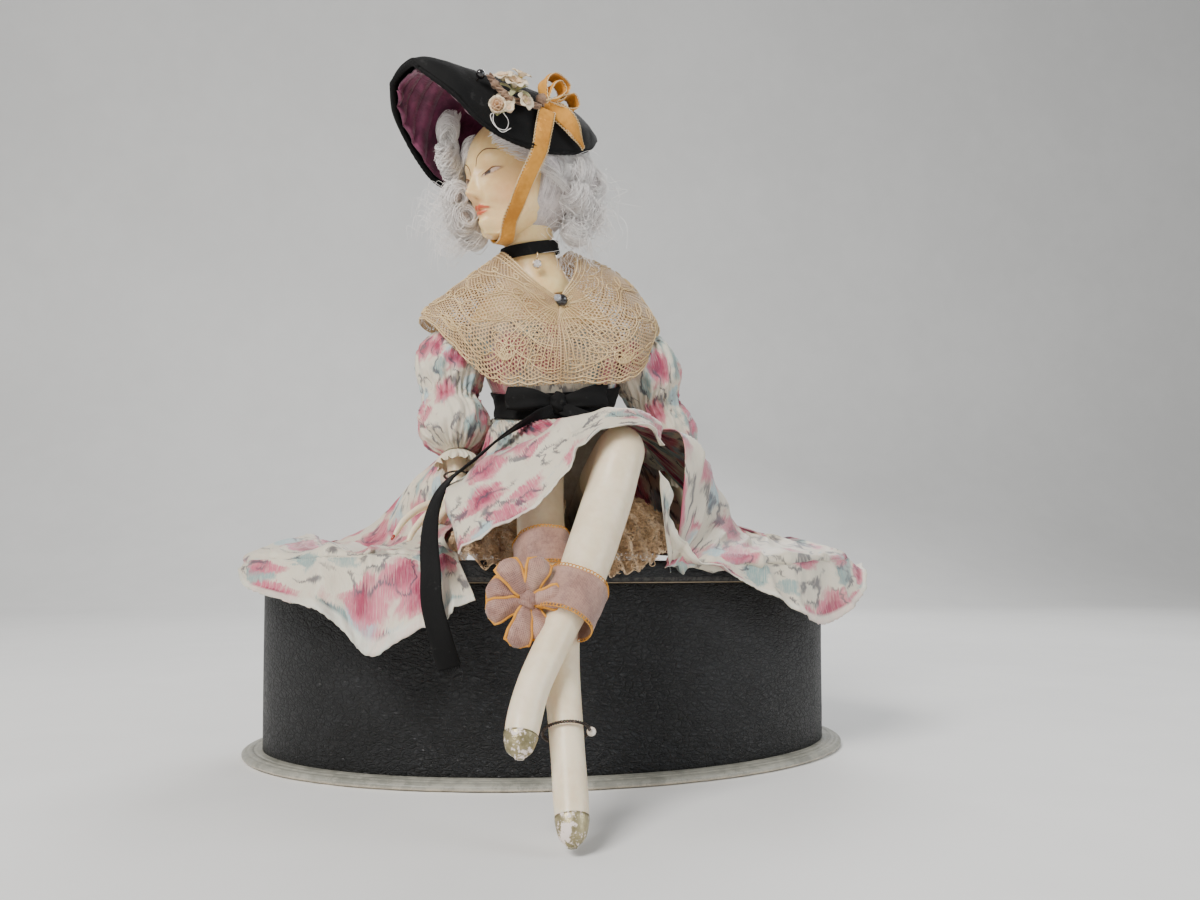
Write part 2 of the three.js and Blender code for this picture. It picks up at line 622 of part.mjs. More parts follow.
// Arms: padded upper arm and wax forearm with its hand.
const RIGHT_ELBOW = over(-39, -4, 61);
const LEFT_ELBOW = over(41, 6, 62);
const RIGHT_WRIST = over(-37.5, -13, 29);
const LEFT_WRIST = over(61, 20, 18);
const rightArmTop = RIGHT_SHOULDER.clone().add(vec(-3, 0, -3));
const leftArmTop = LEFT_SHOULDER.clone().add(vec(3, 0, -3));
const upperArm = (top, elbow, forearm) => cleared(
  limb([top, elbow], [UPPER_ARM_RADIUS * 0.7, UPPER_ARM_RADIUS, ELBOW_RADIUS], { sides: 8, steps: 3 }),
  [forearm, shoulderWire, bustPlain, torsoPlain],
  RUNNING_GAP,
);
const rightForearm = joined(
  limb([between(RIGHT_ELBOW, RIGHT_WRIST, 0.02), between(RIGHT_ELBOW, RIGHT_WRIST, 0.5), RIGHT_WRIST,
    over(-38.5, -15, 24), over(-43, -19, 20.5)],
  [ELBOW_RADIUS, ELBOW_RADIUS, WRIST_RADIUS, [4.2, 2.6], [3.4, 1.9]],
    { sides: 8, steps: 7, side: vec(0.3, -0.9, 0.3) }),
  limb([over(-42, -18.5, 21.5), over(-50, -23, 18.5), over(-56, -27, 13.5), over(-59.5, -30, 7)],
    [FINGER_RADIUS * 1.3, FINGER_RADIUS * 1.15, FINGER_RADIUS, FINGER_RADIUS * 0.7], { sides: 6, steps: 5 }),
  limb([over(-42, -20, 20), over(-48, -24, 14.5), over(-52, -27.5, 7)],
    [FINGER_RADIUS * 1.3, FINGER_RADIUS, FINGER_RADIUS * 0.7], { sides: 6, steps: 4 }),
  limb([over(-40.5, -19.5, 20), over(-44, -24, 13), over(-46.5, -26.5, 8)],
    [FINGER_RADIUS * 1.3, FINGER_RADIUS, FINGER_RADIUS * 0.7], { sides: 6, steps: 4 }),
);
const leftForearm = joined(
  limb([between(LEFT_ELBOW, LEFT_WRIST, 0.02), between(LEFT_ELBOW, LEFT_WRIST, 0.5), LEFT_WRIST,
    over(61.5, 23, 11), over(61, 27, 7)],
  [ELBOW_RADIUS, ELBOW_RADIUS, WRIST_RADIUS, [4.2, 2.4], [3.4, 1.8]], { sides: 9, steps: 7 }),
  limb([over(61, 26, 8), over(60.5, 32, 5.5), over(60, 37, 3.4)],
    [[3, 1.8], [2.6, 1.5], [1.6, 1]], { sides: 8, steps: 3 }),
);
const wristAxis = RIGHT_WRIST.clone().sub(RIGHT_ELBOW);
const braceletRadius = WRIST_RADIUS + RUNNING_GAP + BANGLE_WIRE_RADIUS + BANGLE_EASE;
const bracelet = ring(between(RIGHT_ELBOW, RIGHT_WRIST, 0.94), wristAxis, braceletRadius, BANGLE_WIRE_RADIUS);
const rightUpperArm = upperArm(rightArmTop, RIGHT_ELBOW, rightForearm);
const leftUpperArm = upperArm(leftArmTop, LEFT_ELBOW, leftForearm);

// Clothes.

// Belt line. It sits lower in front than behind, and a little higher on the doll's left.
const BELT_HEIGHT = 61.6;
const BELT_RISE_LEFT = 2.2;
const BELT_RISE_BACK = 4.5;
const turn = (degrees) => THREE.MathUtils.degToRad(degrees);
// Half width and half depth of the body at a height above the lid.
function bodyAt(height) {
  const above = Math.max(1, BODY_SECTIONS.findIndex((section) => section[0] > height));
  const [low, high] = [BODY_SECTIONS[above - 1], BODY_SECTIONS[above]];
  const share = (height - low[0]) / (high[0] - low[0]);
  return [low[3] + (high[3] - low[3]) * share, low[4] + (high[4] - low[4]) * share];
}
function waistPoint(angle, out, shift) {
  const height = BELT_HEIGHT + BELT_RISE_LEFT * Math.cos(angle) + BELT_RISE_BACK * Math.sin(angle) + shift;
  const [halfWidth, halfDepth] = bodyAt(height);
  const beyond = BUST_PLATE_THICKNESS + BODICE_EASE + out;
  return over((halfWidth + beyond) * Math.cos(angle), (halfDepth + beyond) * Math.sin(angle), height);
}
const beltInner = FIT_GAP;
const beltOuter = beltInner + RIBBON_THICKNESS;
const belt = skin(Array.from({ length: 24 }, (_, i) => {
  const angle = (2 * Math.PI * i) / 24;
  return [
    waistPoint(angle, beltInner, -BELT_WIDTH / 2), waistPoint(angle, beltOuter, -BELT_WIDTH / 2),
    waistPoint(angle, beltOuter, BELT_WIDTH / 2), waistPoint(angle, beltInner, BELT_WIDTH / 2),
  ];
}), { wrapRows: true });

const waxAndBody = [torsoPlain, bustPlain, rightLegPlain, leftLegPlain, rightThigh, leftThigh];
const laceHalf = { low: -LACE_THICKNESS / 2, high: LACE_THICKNESS / 2 };
const bodice = cleared(skin([
  ...bodySections(BUST_PLATE_THICKNESS + BODICE_EASE, 4, 8),
  ...bodySections(BUST_PLATE_THICKNESS + RUNNING_GAP, 4, 8).reverse(),
], { wrapRows: true }), [torsoPlain, bustPlain, shoulderWire, belt]);

// Sleeves: two puffs drawn in by shirring at the elbow, then a gathered frill at the wrist.
const shirr = (t, angle) => 1 + 0.05 * Math.cos(5 * angle + 4 * t) * Math.min(1, 3 * t);
const SLEEVE_RADII = [
  SLEEVE_PUFF_RADIUS * 0.5, SLEEVE_PUFF_RADIUS, SLEEVE_PUFF_RADIUS, SLEEVE_PINCH_RADIUS,
  SLEEVE_PUFF_RADIUS, SLEEVE_PUFF_RADIUS * 0.95, CUFF_FRILL_RADIUS * 0.8,
];
const bodyKeepout = [bodice, belt, torsoPlain, bustPlain, shoulderWire];
const sleeve = (route, armPieces) => cleared(
  cleared(limb(route, SLEEVE_RADII, { sides: 10, steps: 8, swell: shirr }), armPieces),
  bodyKeepout,
  RUNNING_GAP,
);
const rightSleeve = sleeve([
  over(-38, 1, 86), over(-40, 0, 73), over(-40, -3, 61), over(-38.5, -7, 49), over(-37.5, -10, 39.5),
], [rightUpperArm, rightForearm]);
const leftSleeve = sleeve([
  over(33, 3, 88), over(37, 2, 75), over(40.5, 4, 62), over(46, 7, 50), over(53, 11, 40),
], [leftUpperArm, leftForearm]);
const frill = (from, to, arm) => cleared(
  limb([from, to], [CUFF_FRILL_RADIUS * 0.7, CUFF_FRILL_RADIUS, CUFF_FRILL_RADIUS * 1.1], {
    sides: 14, steps: 2, swell: (t, angle) => 1 + 0.12 * t * Math.cos(7 * angle),
  }),
  arm,
);
const rightCuff = frill(over(-37.4, -10.2, 39), over(-37.2, -11.4, 35), [rightForearm, rightSleeve]);
const leftCuff = frill(over(53.4, 11.3, 39.4), over(56, 13.8, 35.5), [leftForearm, leftSleeve]);

// The pendant hangs from the choker into the opening of the lace.
const pendantHook = over(-8.6, -14.4, 114.6);
const PENDANT_RING_RADIUS = 1.3;
const pendant = joined(
  ring(pendantHook.clone().add(vec(0, 0, -PENDANT_RING_RADIUS)), vec(1, 0, 0), PENDANT_RING_RADIUS,
    PENDANT_WIRE_RADIUS, 12),
  ball(pendantHook.clone().add(vec(0, 0, -2 * PENDANT_RING_RADIUS - STONE_RADIUS)),
    [STONE_RADIUS, STONE_RADIUS * 0.6, STONE_RADIUS], 8),
);

const FICHU_ROWS = [
  [over(0, -17, 97), over(-9, -17, 103), over(-20, -8, 116), over(-20, 5, 116), over(-8, 13, 119),
    over(2, 10, 121), over(6, 1, 121), over(6, -10, 110), over(0.6, -17, 97)],
  [over(0, -21, 88), over(-20, -18, 99), over(-33, -8, 106), over(-33, 6, 105), over(-7, 18, 107),
    over(18, 15, 113), over(25, 2, 114), over(20, -14, 101), over(0.6, -21, 88)],
  [over(0, -24, 76), over(-26, -20, 84), over(-44, -8, 94), over(-44, 8, 94), over(-5, 22, 90),
    over(34, 17, 97), over(38, 2, 98), over(30, -17, 84), over(0.6, -24, 76)],
  [over(0, -22, 64), over(-25, -18, 65), over(-47, -8, 87), over(-47, 8, 87.5), over(-5, 23, 76),
    over(37, 18, 90), over(41, 2, 91), over(27, -17, 68), over(0.6, -22, 64)],
];
const fichu = cleared(
  cleared(sheet(FICHU_ROWS, { ...laceHalf, steps: [6, 14] }), [bustPlain, torsoPlain, bodice, belt]),
  [
    ...swings(rightSleeve, RIGHT_SHOULDER, ARM_SWING),
    ...swings(leftSleeve, LEFT_SHOULDER, -ARM_SWING),
    pendant,
  ],
  RUNNING_GAP,
);

// Skirt. Each panel runs from under the belt over the lap, and through a valley where an arm rests,
// to a crest, then falls to its hem. Where the hem hangs outside the lid, the cloth bends over its edge.
const HANG_OUT = SILK_THICKNESS + RUNNING_GAP;
const lidShare = (point, out) => Math.hypot(point.x / (LID_HALF_LENGTH + out), point.y / (LID_HALF_DEPTH + out));
function overLidEdge(from, to, out, height) {
  let low = 0;
  let high = 1;
  for (let i = 0; i < 24; i += 1) {
    const middle = (low + high) / 2;
    if (lidShare(from.clone().lerp(to, middle), out) < 1) low = middle;
    else high = middle;
  }
  const point = from.clone().lerp(to, low);
  return over(point.x, point.y, height);
}
function skirtPanel({ angles, lap, valley, crest, hem, steps, folds, bends = false }) {
  const [from, to] = angles;
  const spread = crest.map((_, i) => turn(from + ((to - from) * i) / (crest.length - 1)));
  const waist = spread.map((angle) => waistPoint(angle, SILK_THICKNESS, -BELT_WIDTH / 2 - SILK_THICKNESS));
  const rows = valley ? [waist, lap, valley, crest] : [waist, lap, crest];
  if (bends) {
    rows.push(crest.map((point, i) => overLidEdge(point, hem[i], -HANG_OUT, HANG_OUT * 1.2)));
    rows.push(crest.map((point, i) => overLidEdge(point, hem[i], HANG_OUT * 1.2, -HANG_OUT)));
  } else {
    rows.push(crest.map((point, i) => point.clone().lerp(hem[i], 0.5).add(vec(0, -1, 0))));
  }
  rows.push(hem);
  return sheet(rows, {
    low: 0,
    high: SILK_THICKNESS,
    steps,
    wave: (u, w) => SKIRT_FOLD_DEPTH * u * (0.5 - 0.5 * Math.cos(2 * Math.PI * folds * w)),
  });
}
const lid = skin(wallRings([
  [-LID_OVERHANG, LID_UNDERSIDE],
  [-LID_OVERHANG, LID_TOP - LID_EDGE_ROUND],
  [LID_EDGE_ROUND - LID_OVERHANG, LID_TOP],
]));
const armPieces = [rightForearm, leftForearm, rightSleeve, leftSleeve, rightCuff, leftCuff, bracelet];
const underSkirt = [...waxAndBody, lid, leatherCover, bodice, belt, ...armPieces];
const skirtFront = cleared(skirtPanel({
  angles: [-60, -178],
  lap: [over(20, -46, 47), over(13, -49, 44), over(5, -50, 43), over(-5, -49, 42), over(-15, -46, 39),
    over(-24, -41, 36), over(-31, -33, 33)],
  crest: [over(24, -70, 43), over(14, -80, 44.5), over(2, -82, 44), over(-10, -79, 38), over(-23, -76, 32),
    over(-34, -71, 25), over(-41, -64, 18)],
  hem: [over(21, -82, 34), over(14, -88, 38), over(1, -91, 36), over(-6, -92, 25), over(-16, -89, 15),
    over(-28, -87, 7), over(-38, -85, 1)],
  steps: [7, 12],
  folds: 3,
}), underSkirt, RUNNING_GAP);
const skirtSide = cleared(skirtPanel({
  angles: [-182, -215],
  lap: [over(-38, 3, 36), over(-42, 5, 34), over(-46, 8, 32), over(-50, 12, 30), over(-53, 15, 29),
    over(-55, 18, 28), over(-55, 20, 27), over(-53, 23, 26)],
  valley: [over(-37, -8, 16), over(-41, -8, 14), over(-46, -8, 11), over(-51, -7, 8), over(-58, -5, 5.5),
    over(-66, 0, 5), over(-74, 4, 6), over(-80, 10, 7)],
  crest: [over(-42, -58, 7), over(-47, -52, 5), over(-53, -46, 3.5), over(-62, -40, 2.6), over(-72, -32, 2.4),
    over(-82, -22, 3), over(-91, -8, 5.5), over(-95, 8, 7)],
  hem: [over(-33, -86, -12), over(-40, -84, -18), over(-50, -80, -22), over(-63, -75, -29),
    over(-75, -68, -19), over(-88, -58, -14), over(-103, -38, -10), over(-110, -14, -2)],
  steps: [8, 11],
  folds: 4,
  bends: true,
}), [...underSkirt, skirtFront, ...swings(rightForearm, RIGHT_SHOULDER, ARM_SWING)], RUNNING_GAP);
const skirtRight = cleared(skirtPanel({
  angles: [-6, -58],
  lap: [over(61, -8, 17), over(60, -10, 18), over(58, -12, 21), over(54, -16, 26), over(49, -21, 32),
    over(42, -29, 38), over(34, -38, 43), over(27, -45, 45)],
  crest: [over(104, -4, 6.5), over(95, -6, 7), over(84, -8, 8), over(74, -10, 8.5), over(66, -18, 13),
    over(56, -32, 23), over(45, -48, 33), over(34, -63, 38.5)],
  hem: [over(121, -14, -2), over(107, -37, -14), over(85, -54, -22), over(66, -63, -14), over(50, -70, -7),
    over(34, -75, -1), over(25, -78, 12), over(21, -82, 27)],
  steps: [9, 12],
  folds: 4,
  bends: true,
}), [...underSkirt, skirtFront], RUNNING_GAP);
const skirtBack = cleared(skirtPanel({
  angles: [142, 8],
  lap: [over(-40, 24, 33), over(-30, 30, 35), over(-16, 33, 37), over(0, 34, 38), over(20, 33, 37),
    over(42, 31, 36), over(57, 28, 33)],
  crest: [over(-62, 26, 6), over(-48, 36, 7), over(-24, 42, 8), over(0, 44, 8), over(26, 46, 8),
    over(54, 47, 7), over(74, 42, 6)],
  hem: [over(-84, 24, 1.2), over(-66, 40, 1.2), over(-36, 54, 1.2), over(0, 59, 1.2), over(38, 56, 1.2),
    over(68, 48, 1.2), over(88, 36, 1.2)],
  steps: [5, 12],
  folds: 5,
}), [...underSkirt, skirtRight, skirtSide], RUNNING_GAP);

// Petticoat ruffles that show below the skirt, on both sides of the crossed legs.
const ruffle = (folds) => ({
  ...laceHalf,
  steps: [4, 12],
  wave: (u, w) => PETTICOAT_FOLD_DEPTH * u * Math.sin(2 * Math.PI * folds * w),
});
const aroundPetticoat = [...waxAndBody, lid, leatherCover, skirtFront, skirtRight, skirtSide, bodice];
const petticoatLeft = cleared(sheet([
  [over(24, -34, 22), over(19, -46, 23), over(8, -50, 22), over(2, -52, 20)],
  [over(32, -52, 12), over(24, -62, 14), over(13, -66, 14), over(4, -66, 13)],
  [over(33, -64, 6), over(26, -71, 3), over(16, -77, -3), over(5, -79, -4)],
], ruffle(4)), aroundPetticoat, RUNNING_GAP);
const petticoatRight = cleared(sheet([
  [over(-3, -52, 20), over(-12, -50, 14), over(-22, -46, 18), over(-28, -36, 18)],
  [over(-5, -66, 14), over(-13, -58, 8), over(-24, -60, 10), over(-31, -50, 10)],
  [over(-7, -78, 10), over(-14, -63, 3), over(-24, -75, -2), over(-31, -68, 3)],
], ruffle(4)), [...aroundPetticoat, petticoatLeft], RUNNING_GAP);

// Sash bow and its tails.
const KNOT = waistPoint(turn(-93), beltOuter + 2.4, 0.5);
const knotPoint = (x, y, height) => KNOT.clone().add(vec(x, y, height));
const upright = [vec(0, 0, 1), vec(0, 0, 1)];
const sashBow = cleared(joined(
  ball(KNOT, [2.8, 2.2, 4], 8),
  ribbon([knotPoint(-1, 0.8, 0), knotPoint(-9, -1.4, 1), knotPoint(-17, 1.5, 1.5), knotPoint(-18, 3.2, 1.5),
    knotPoint(-10, 1.4, 0.5), knotPoint(-1, 1.4, -0.5)], [5, 8.5, 8.5, 5], upright, { steps: 6 }),
  ribbon([knotPoint(1, 0.8, 0), knotPoint(9, -1, 2), knotPoint(17, 2.6, 4), knotPoint(18, 5, 4.4),
    knotPoint(10, 1.6, 2), knotPoint(1, 1.4, 0)], [5, 8, 7.5, 5], upright, { steps: 6 }),
  ribbon([knotPoint(1, -0.6, -2), knotPoint(7, -3, -5), knotPoint(12.5, -5, -7.5)], [5, 6],
    [vec(0.5, 0, 1), vec(0.6, 0, 1)], { steps: 5 }),
), [belt, bodice, fichu, skirtFront, skirtRight], RUNNING_GAP);
const TAIL_ROUTE = [
  knotPoint(-2.5, -1.5, -3), over(-12, -27, 50.5), over(-23, -42, 42), over(-33, -54, 32.5),
  over(-42, -62, 24), over(-46, -70, 15), over(-47, -78, 6), over(-46.5, -84, -3),
  over(-46, -86.5, -12.4), over(-43.5, -87.5, -22.3), over(-41, -86.5, -30.6),
];
const sashTail = cleared(ribbon(
  TAIL_ROUTE,
  [4, SASH_TAIL_WIDTH * 0.8, SASH_TAIL_WIDTH],
  [vec(0.4, 0, 1), vec(0.9, -0.5, 0.3), vec(1, 0, 0)],
  { steps: 22 },
), [sashBow, belt, skirtFront, skirtSide, ...armPieces]);

// Garters.

// A loose band round a limb, between two radii at its ends.
function band(centre, axis, width, radii, thickness, sides = 14) {
  const direction = axis.clone().normalize();
  const across = vec(1, 0, 0).addScaledVector(direction, -direction.x).normalize();
  const up = direction.clone().cross(across);
  const at = (angle, radius, shift) => centre.clone().addScaledVector(direction, shift)
    .addScaledVector(across, radius * Math.cos(angle)).addScaledVector(up, radius * Math.sin(angle));
  return skin(Array.from({ length: sides }, (_, i) => {
    const angle = (2 * Math.PI * i) / sides;
    return [
      at(angle, radii[0], -width / 2), at(angle, radii[0] + thickness, -width / 2),
      at(angle, radii[1] + thickness, width / 2), at(angle, radii[1], width / 2),
    ];
  }), { wrapRows: true });
}
const rightGarterCentre = rightShin[1].clone().lerp(rightShin[2], 0.32);
const leftGarterCentre = leftShin[2].clone().lerp(leftShin[3], 0.6);
const rightGarter = cleared(
  band(rightGarterCentre, rightShin[2].clone().sub(rightShin[1]), GARTER_WIDTH,
    [KNEE_RADIUS + GARTER_EASE, KNEE_RADIUS + GARTER_EASE], RIBBON_THICKNESS),
  [rightLegPlain, leftLegPlain],
);
const leftGarter = cleared(
  band(leftGarterCentre, leftShin[3].clone().sub(leftShin[2]), GARTER_WIDTH,
    [CALF_RADIUS + GARTER_EASE, CALF_RADIUS + GARTER_EASE * 2], RIBBON_THICKNESS),
  [leftLegPlain, rightLegPlain, rightGarter],
);
const ROSETTE = leftGarterCentre.clone().add(vec(-12, -3.5, 1));
const petal = (x, y, z, length) => {
  const tip = ROSETTE.clone().add(vec(x, y, z).setLength(length));
  return limb([ROSETTE, between(ROSETTE, tip, 0.5), tip], [[1.2, 1], [2.8, 1.6], [2.4, 1.2]],
    { sides: 6, steps: 2 });
};
const garterBow = cleared(joined(
  ball(ROSETTE, 2.2, 6),
  petal(-5, 3, 8, 12), petal(-9, 4, 2, 11), petal(0, 1, 9, 11), petal(-3, -2, -10, 12), petal(2, -2, -10, 10),
), [leftGarter, rightGarter, rightLegPlain, leftLegPlain]);

// Hat.

// Sections of the scoop hat along its own axis: distance ahead of the head's centre, half width,
// height of the rim and height of the ridge above the lid.
const HAT_AXIS = turn(-152);
const hatForward = vec(Math.cos(HAT_AXIS), Math.sin(HAT_AXIS), 0);
const hatNear = vec(-Math.sin(HAT_AXIS), Math.cos(HAT_AXIS), 0);
const HAT_CENTRE = over(-13, -5, 0);
const HAT_SECTIONS = [
  [50, HAT_HALF_WIDTH * 0.35, 169, 171.5], [46, HAT_HALF_WIDTH * 0.59, 163, 173.5],
  [40, HAT_HALF_WIDTH * 0.75, 157.5, 174.5], [33, HAT_HALF_WIDTH * 0.84, 151, 175],
  [23, HAT_HALF_WIDTH * 0.96, 146, 175.5], [8, HAT_HALF_WIDTH, 145.5, 176],
  [-9, HAT_HALF_WIDTH * 0.86, 151, 175.5], [-20, HAT_HALF_WIDTH * 0.6, 158, 173.5],
  [-28, HAT_HALF_WIDTH * 0.31, 165, 170.5], [-31, HAT_HALF_WIDTH * 0.12, 168, 169],
];
function hatPoint([ahead, half, rim, ridge], angle) {
  return HAT_CENTRE.clone()
    .addScaledVector(hatForward, ahead)
    .addScaledVector(hatNear, half * Math.sin(angle))
    .add(vec(0, 0, rim + (ridge - rim) * Math.cos(angle)));
}
const HAT_ANGLES = [-90, -62, -32, 0, 32, 62, 90];
const hatRows = HAT_SECTIONS.map((section) => HAT_ANGLES.map((angle) => hatPoint(section, turn(angle))));
const hatSheet = (low, high) => sheet(hatRows, { low, high, steps: [9, 8] });
function onHat(share, angle, lift) {
  const section = [0, 1, 2, 3].map((column) => along(HAT_SECTIONS.map((row) => row[column]), share));
  const point = hatPoint(section, turn(angle));
  const out = vec(0, 0, Math.cos(turn(angle))).addScaledVector(hatNear, Math.sin(turn(angle)));
  return point.addScaledVector(out, HAT_THICKNESS + lift);
}
const hatShellPlain = hatSheet(0, HAT_THICKNESS);
const hatLiningPlain = hatSheet(-FIT_GAP - HAT_LINING_THICKNESS, -FIT_GAP);
const pinHead = onHat(0.36, 40, PIN_HEAD_RADIUS + 1.2);
const pinPoint = onHat(0.36, 36, -9);
const hatPin = joined(wireRun([pinHead, pinPoint], PIN_RADIUS, 3), ball(pinHead, PIN_HEAD_RADIUS, 6));
const hatShell = cleared(hatShellPlain, [hatPin]);
const hatLining = cleared(hatLiningPlain, [hatPin]);

// Trimming on the near side of the hat.
const rosebud = cleared(joined(
  ball(onHat(0.41, 70, 2.2), [3.4, 2.8, 3.4], 7),
  ball(onHat(0.43, 62, 1.6), [2.4, 2, 2.2], 6),
), [hatShellPlain]);
const blossomCentre = onHat(0.49, 54, 2.6);
const blossomAt = (ahead, near, up) => blossomCentre.clone()
  .addScaledVector(hatForward, ahead).addScaledVector(hatNear, near).add(vec(0, 0, up));
const blossoms = cleared(joined(
  ball(blossomAt(0, 0, 0), [4, 3.2, 4], 7), ball(blossomAt(-3, 1.5, -4), [3.4, 2.8, 3.4], 6),
  ball(blossomAt(-4, -0.5, 2.5), [3.4, 2.8, 3.4], 6),
), [hatShellPlain, rosebud]);
const sprigRoute = [onHat(0.4, 36, 1.4), onHat(0.42, 46, 1.8), onHat(0.45, 58, 1.6)];
const sprig = cleared(
  limb(sprigRoute, [1.4, 1.2, 1], { sides: 6, steps: 5 }),
  [hatShellPlain, hatPin, rosebud, blossoms],
);
const bowKnot = onHat(0.57, 62, 2.2);
const bowPoint = (ahead, near, up) => bowKnot.clone()
  .addScaledVector(hatForward, ahead).addScaledVector(hatNear, near).add(vec(0, 0, up));
const bowLoop = (points) => ribbon(
  [bowKnot, ...points.map((point) => bowPoint(...point)), bowKnot],
  STRAP_WIDTH,
  [hatNear, hatNear],
  { steps: 5 },
);
const hatBow = cleared(joined(
  ball(bowKnot, 2, 6),
  bowLoop([[-3, 1, 8], [-9, 0, 10], [-10, 1, 5], [-4, 1, 1]]),
  bowLoop([[-7, 1, 3], [-14, 0, 5], [-15, 0, 1], [-8, 0, -1]]),
  ribbon([bowPoint(-1, 0.5, -1), bowPoint(-8, 2, -4), bowPoint(-14, 2, -9.5), bowPoint(-19, 0, -14)],
    [STRAP_WIDTH * 0.8, STRAP_WIDTH, STRAP_WIDTH * 0.7], [vec(0, 0, 1), vec(0, 0, 1)], { steps: 4 }),
), [hatShellPlain, blossoms]);
const STRAP_ROUTE = [
  bowPoint(-0.5, 1.2, -3), over(-9.6, -34.5, 151), over(-10, -33.5, 144), over(-12.5, -32, 137),
  over(-16.5, -30, 129), over(-20.5, -27.5, 121.5), over(-23.5, -22, 116.6), over(-28, -14, 117),
  over(-34, -7, 124), over(-38.5, -1, 134), over(-40, 3, 143),
];
const chinStrap = cleared(
  ribbon(STRAP_ROUTE, STRAP_WIDTH, [vec(1, 0.3, 0), vec(1, 0.4, 0.2), vec(0.6, 0.8, 0)], { steps: 18 }),
  [bustPlain, hatBow, hatShellPlain, hatLiningPlain, blossoms],
);

// Wig.

const hatAndHead = [bustPlain, hatLiningPlain, hatShellPlain, hatPin, chinStrap];
const faceOpening = new THREE.BoxGeometry(60, 90, 90);
faceOpening.rotateZ(FACING);
faceOpening.translate(...headPoint(30 + 5, 0, 0).toArray());
const wigCrown = cleared(ball(headPoint(-3, 0, 5), [24, 23, 26], 9), [...hatAndHead, faceOpening]);
const wigLeft = cleared(joined(
  ball(over(-3, -18, 143), [6, 6, 6], 6), ball(over(5, -13, 144), [8, 7, 8], 6),
  ball(over(9, -7, 141), [8, 8, 9], 6), ball(over(4, -14, 134), [7.5, 6.5, 8], 6),
  ball(over(7, -7, 126), [6.5, 6, 8], 6),
), [...hatAndHead, wigCrown]);
const wigRight = cleared(joined(
  ball(over(-46, -5, 161), [5, 6, 10], 6), ball(over(-43, -3, 147), [6, 7, 11], 6),
  ball(over(-41, -1, 133), [8, 8, 9], 6), ball(over(-34, 6, 138), [7, 8, 12], 5),
), [...hatAndHead, wigCrown]);

// Jewels.

const neckAxis = vec(-2, -2, 10).normalize();
const chokerCentre = over(-10, -2, 119);
const chokerRadius = NECK_RADIUS * 1.04;
const choker = cleared(
  band(chokerCentre, neckAxis, CHOKER_WIDTH, [chokerRadius, chokerRadius], CHOKER_THICKNESS),
  [bustPlain, chinStrap, wigLeft, fichu],
);
const brooch = cleared(joined(
  ball(over(-0.2, -20.4, 95.5), [BROOCH_RADIUS, BROOCH_RADIUS * 0.8, BROOCH_RADIUS], 8),
  ball(over(-1.8, -21.5, 95.9), [STONE_RADIUS * 0.9, STONE_RADIUS * 0.6, STONE_RADIUS * 0.9], 8),
), [fichu, bustPlain]);
const ankleAxis = rightShin[4].clone().sub(rightShin[3]);
const ankleCentre = rightShin[3].clone().lerp(rightShin[4], 0.7);
const ankletRadius = ANKLE_RADIUS * 1.1 + RUNNING_GAP + BANGLE_WIRE_RADIUS + BANGLE_EASE;
const anklet = joined(
  ring(ankleCentre, ankleAxis, ankletRadius, BANGLE_WIRE_RADIUS),
  ball(ankleCentre.clone().add(vec(ankletRadius + BEAD_RADIUS * 0.4, 0, 0)), BEAD_RADIUS, 8),
);

// Scene graph.

const group = new THREE.Group();
function add(name, geometry, color, roughness = 0.8, metalness = 0) {
  const mesh = new THREE.Mesh(geometry, new THREE.MeshStandardMaterial({ color, roughness, metalness }));
  mesh.name = name;
  group.add(mesh);
}
const LEATHER_BLACK = 0x17171a;
const WAX = 0xe9d9b0;
const SILK = 0xe8dcd0;
const LACE = 0xd8b98a;
const VELVET = 0x101014;
const GOLD_VELVET = 0xe0a040;
const ORGANZA = 0xc9a3a8;
const MOHAIR = 0xe6e4e6;
add('base_plate', basePlate, 0x8d8a80, 0.5, 0.3);
add('wall_core', wallCore, 0x9a8a70);
add('leather_cover', leatherCover, LEATHER_BLACK, 0.5);
add('floor_lining', floorLining, 0xb9aa90);
add('lid_core', cleared(lidCorePlain, [spineWire]), 0x9a8a70);
add('lid_cover', cleared(lidCoverPlain, [spineWire]), LEATHER_BLACK, 0.5);
add('lid_collar', lidCollar, 0x9a8a70);
add('anchor_washer', anchorWasher, 0x9a9a9a, 0.4, 0.9);
add('spine_wire', spineWire, 0x8a8a8a, 0.4, 0.9);
add('shoulder_wire', shoulderWire, 0x8a8a8a, 0.4, 0.9);
add('right_leg_wire', rightLegWire, 0x8a8a8a, 0.4, 0.9);
add('left_leg_wire', leftLegWire, 0x8a8a8a, 0.4, 0.9);
add('torso', torso, 0xd9cdb8);
add('right_thigh', rightThigh, 0xd9cdb8);
add('left_thigh', leftThigh, 0xd9cdb8);
add('right_leg', rightLeg, WAX, 0.4);
add('left_leg', leftLeg, WAX, 0.4);
add('bust', bust, WAX, 0.4);
add('right_upper_arm', rightUpperArm, 0xd9cdb8);
add('left_upper_arm', leftUpperArm, 0xd9cdb8);
add('right_forearm', rightForearm, WAX, 0.4);
add('left_forearm', leftForearm, WAX, 0.4);
add('bodice', bodice, SILK);
add('right_sleeve', rightSleeve, SILK);
add('left_sleeve', leftSleeve, SILK);
add('right_cuff', rightCuff, SILK);
add('left_cuff', leftCuff, SILK);
add('fichu', fichu, LACE);
add('skirt_front', skirtFront, SILK);
add('skirt_side', skirtSide, SILK);
add('skirt_right', skirtRight, SILK);
add('skirt_back', skirtBack, SILK);
add('petticoat_left', petticoatLeft, LACE);
add('petticoat_right', petticoatRight, LACE);
add('sash_belt', belt, VELVET);
add('sash_bow', sashBow, VELVET);
add('sash_tail', sashTail, VELVET);
add('right_garter', rightGarter, ORGANZA);
add('left_garter', leftGarter, ORGANZA);
add('garter_bow', garterBow, ORGANZA);
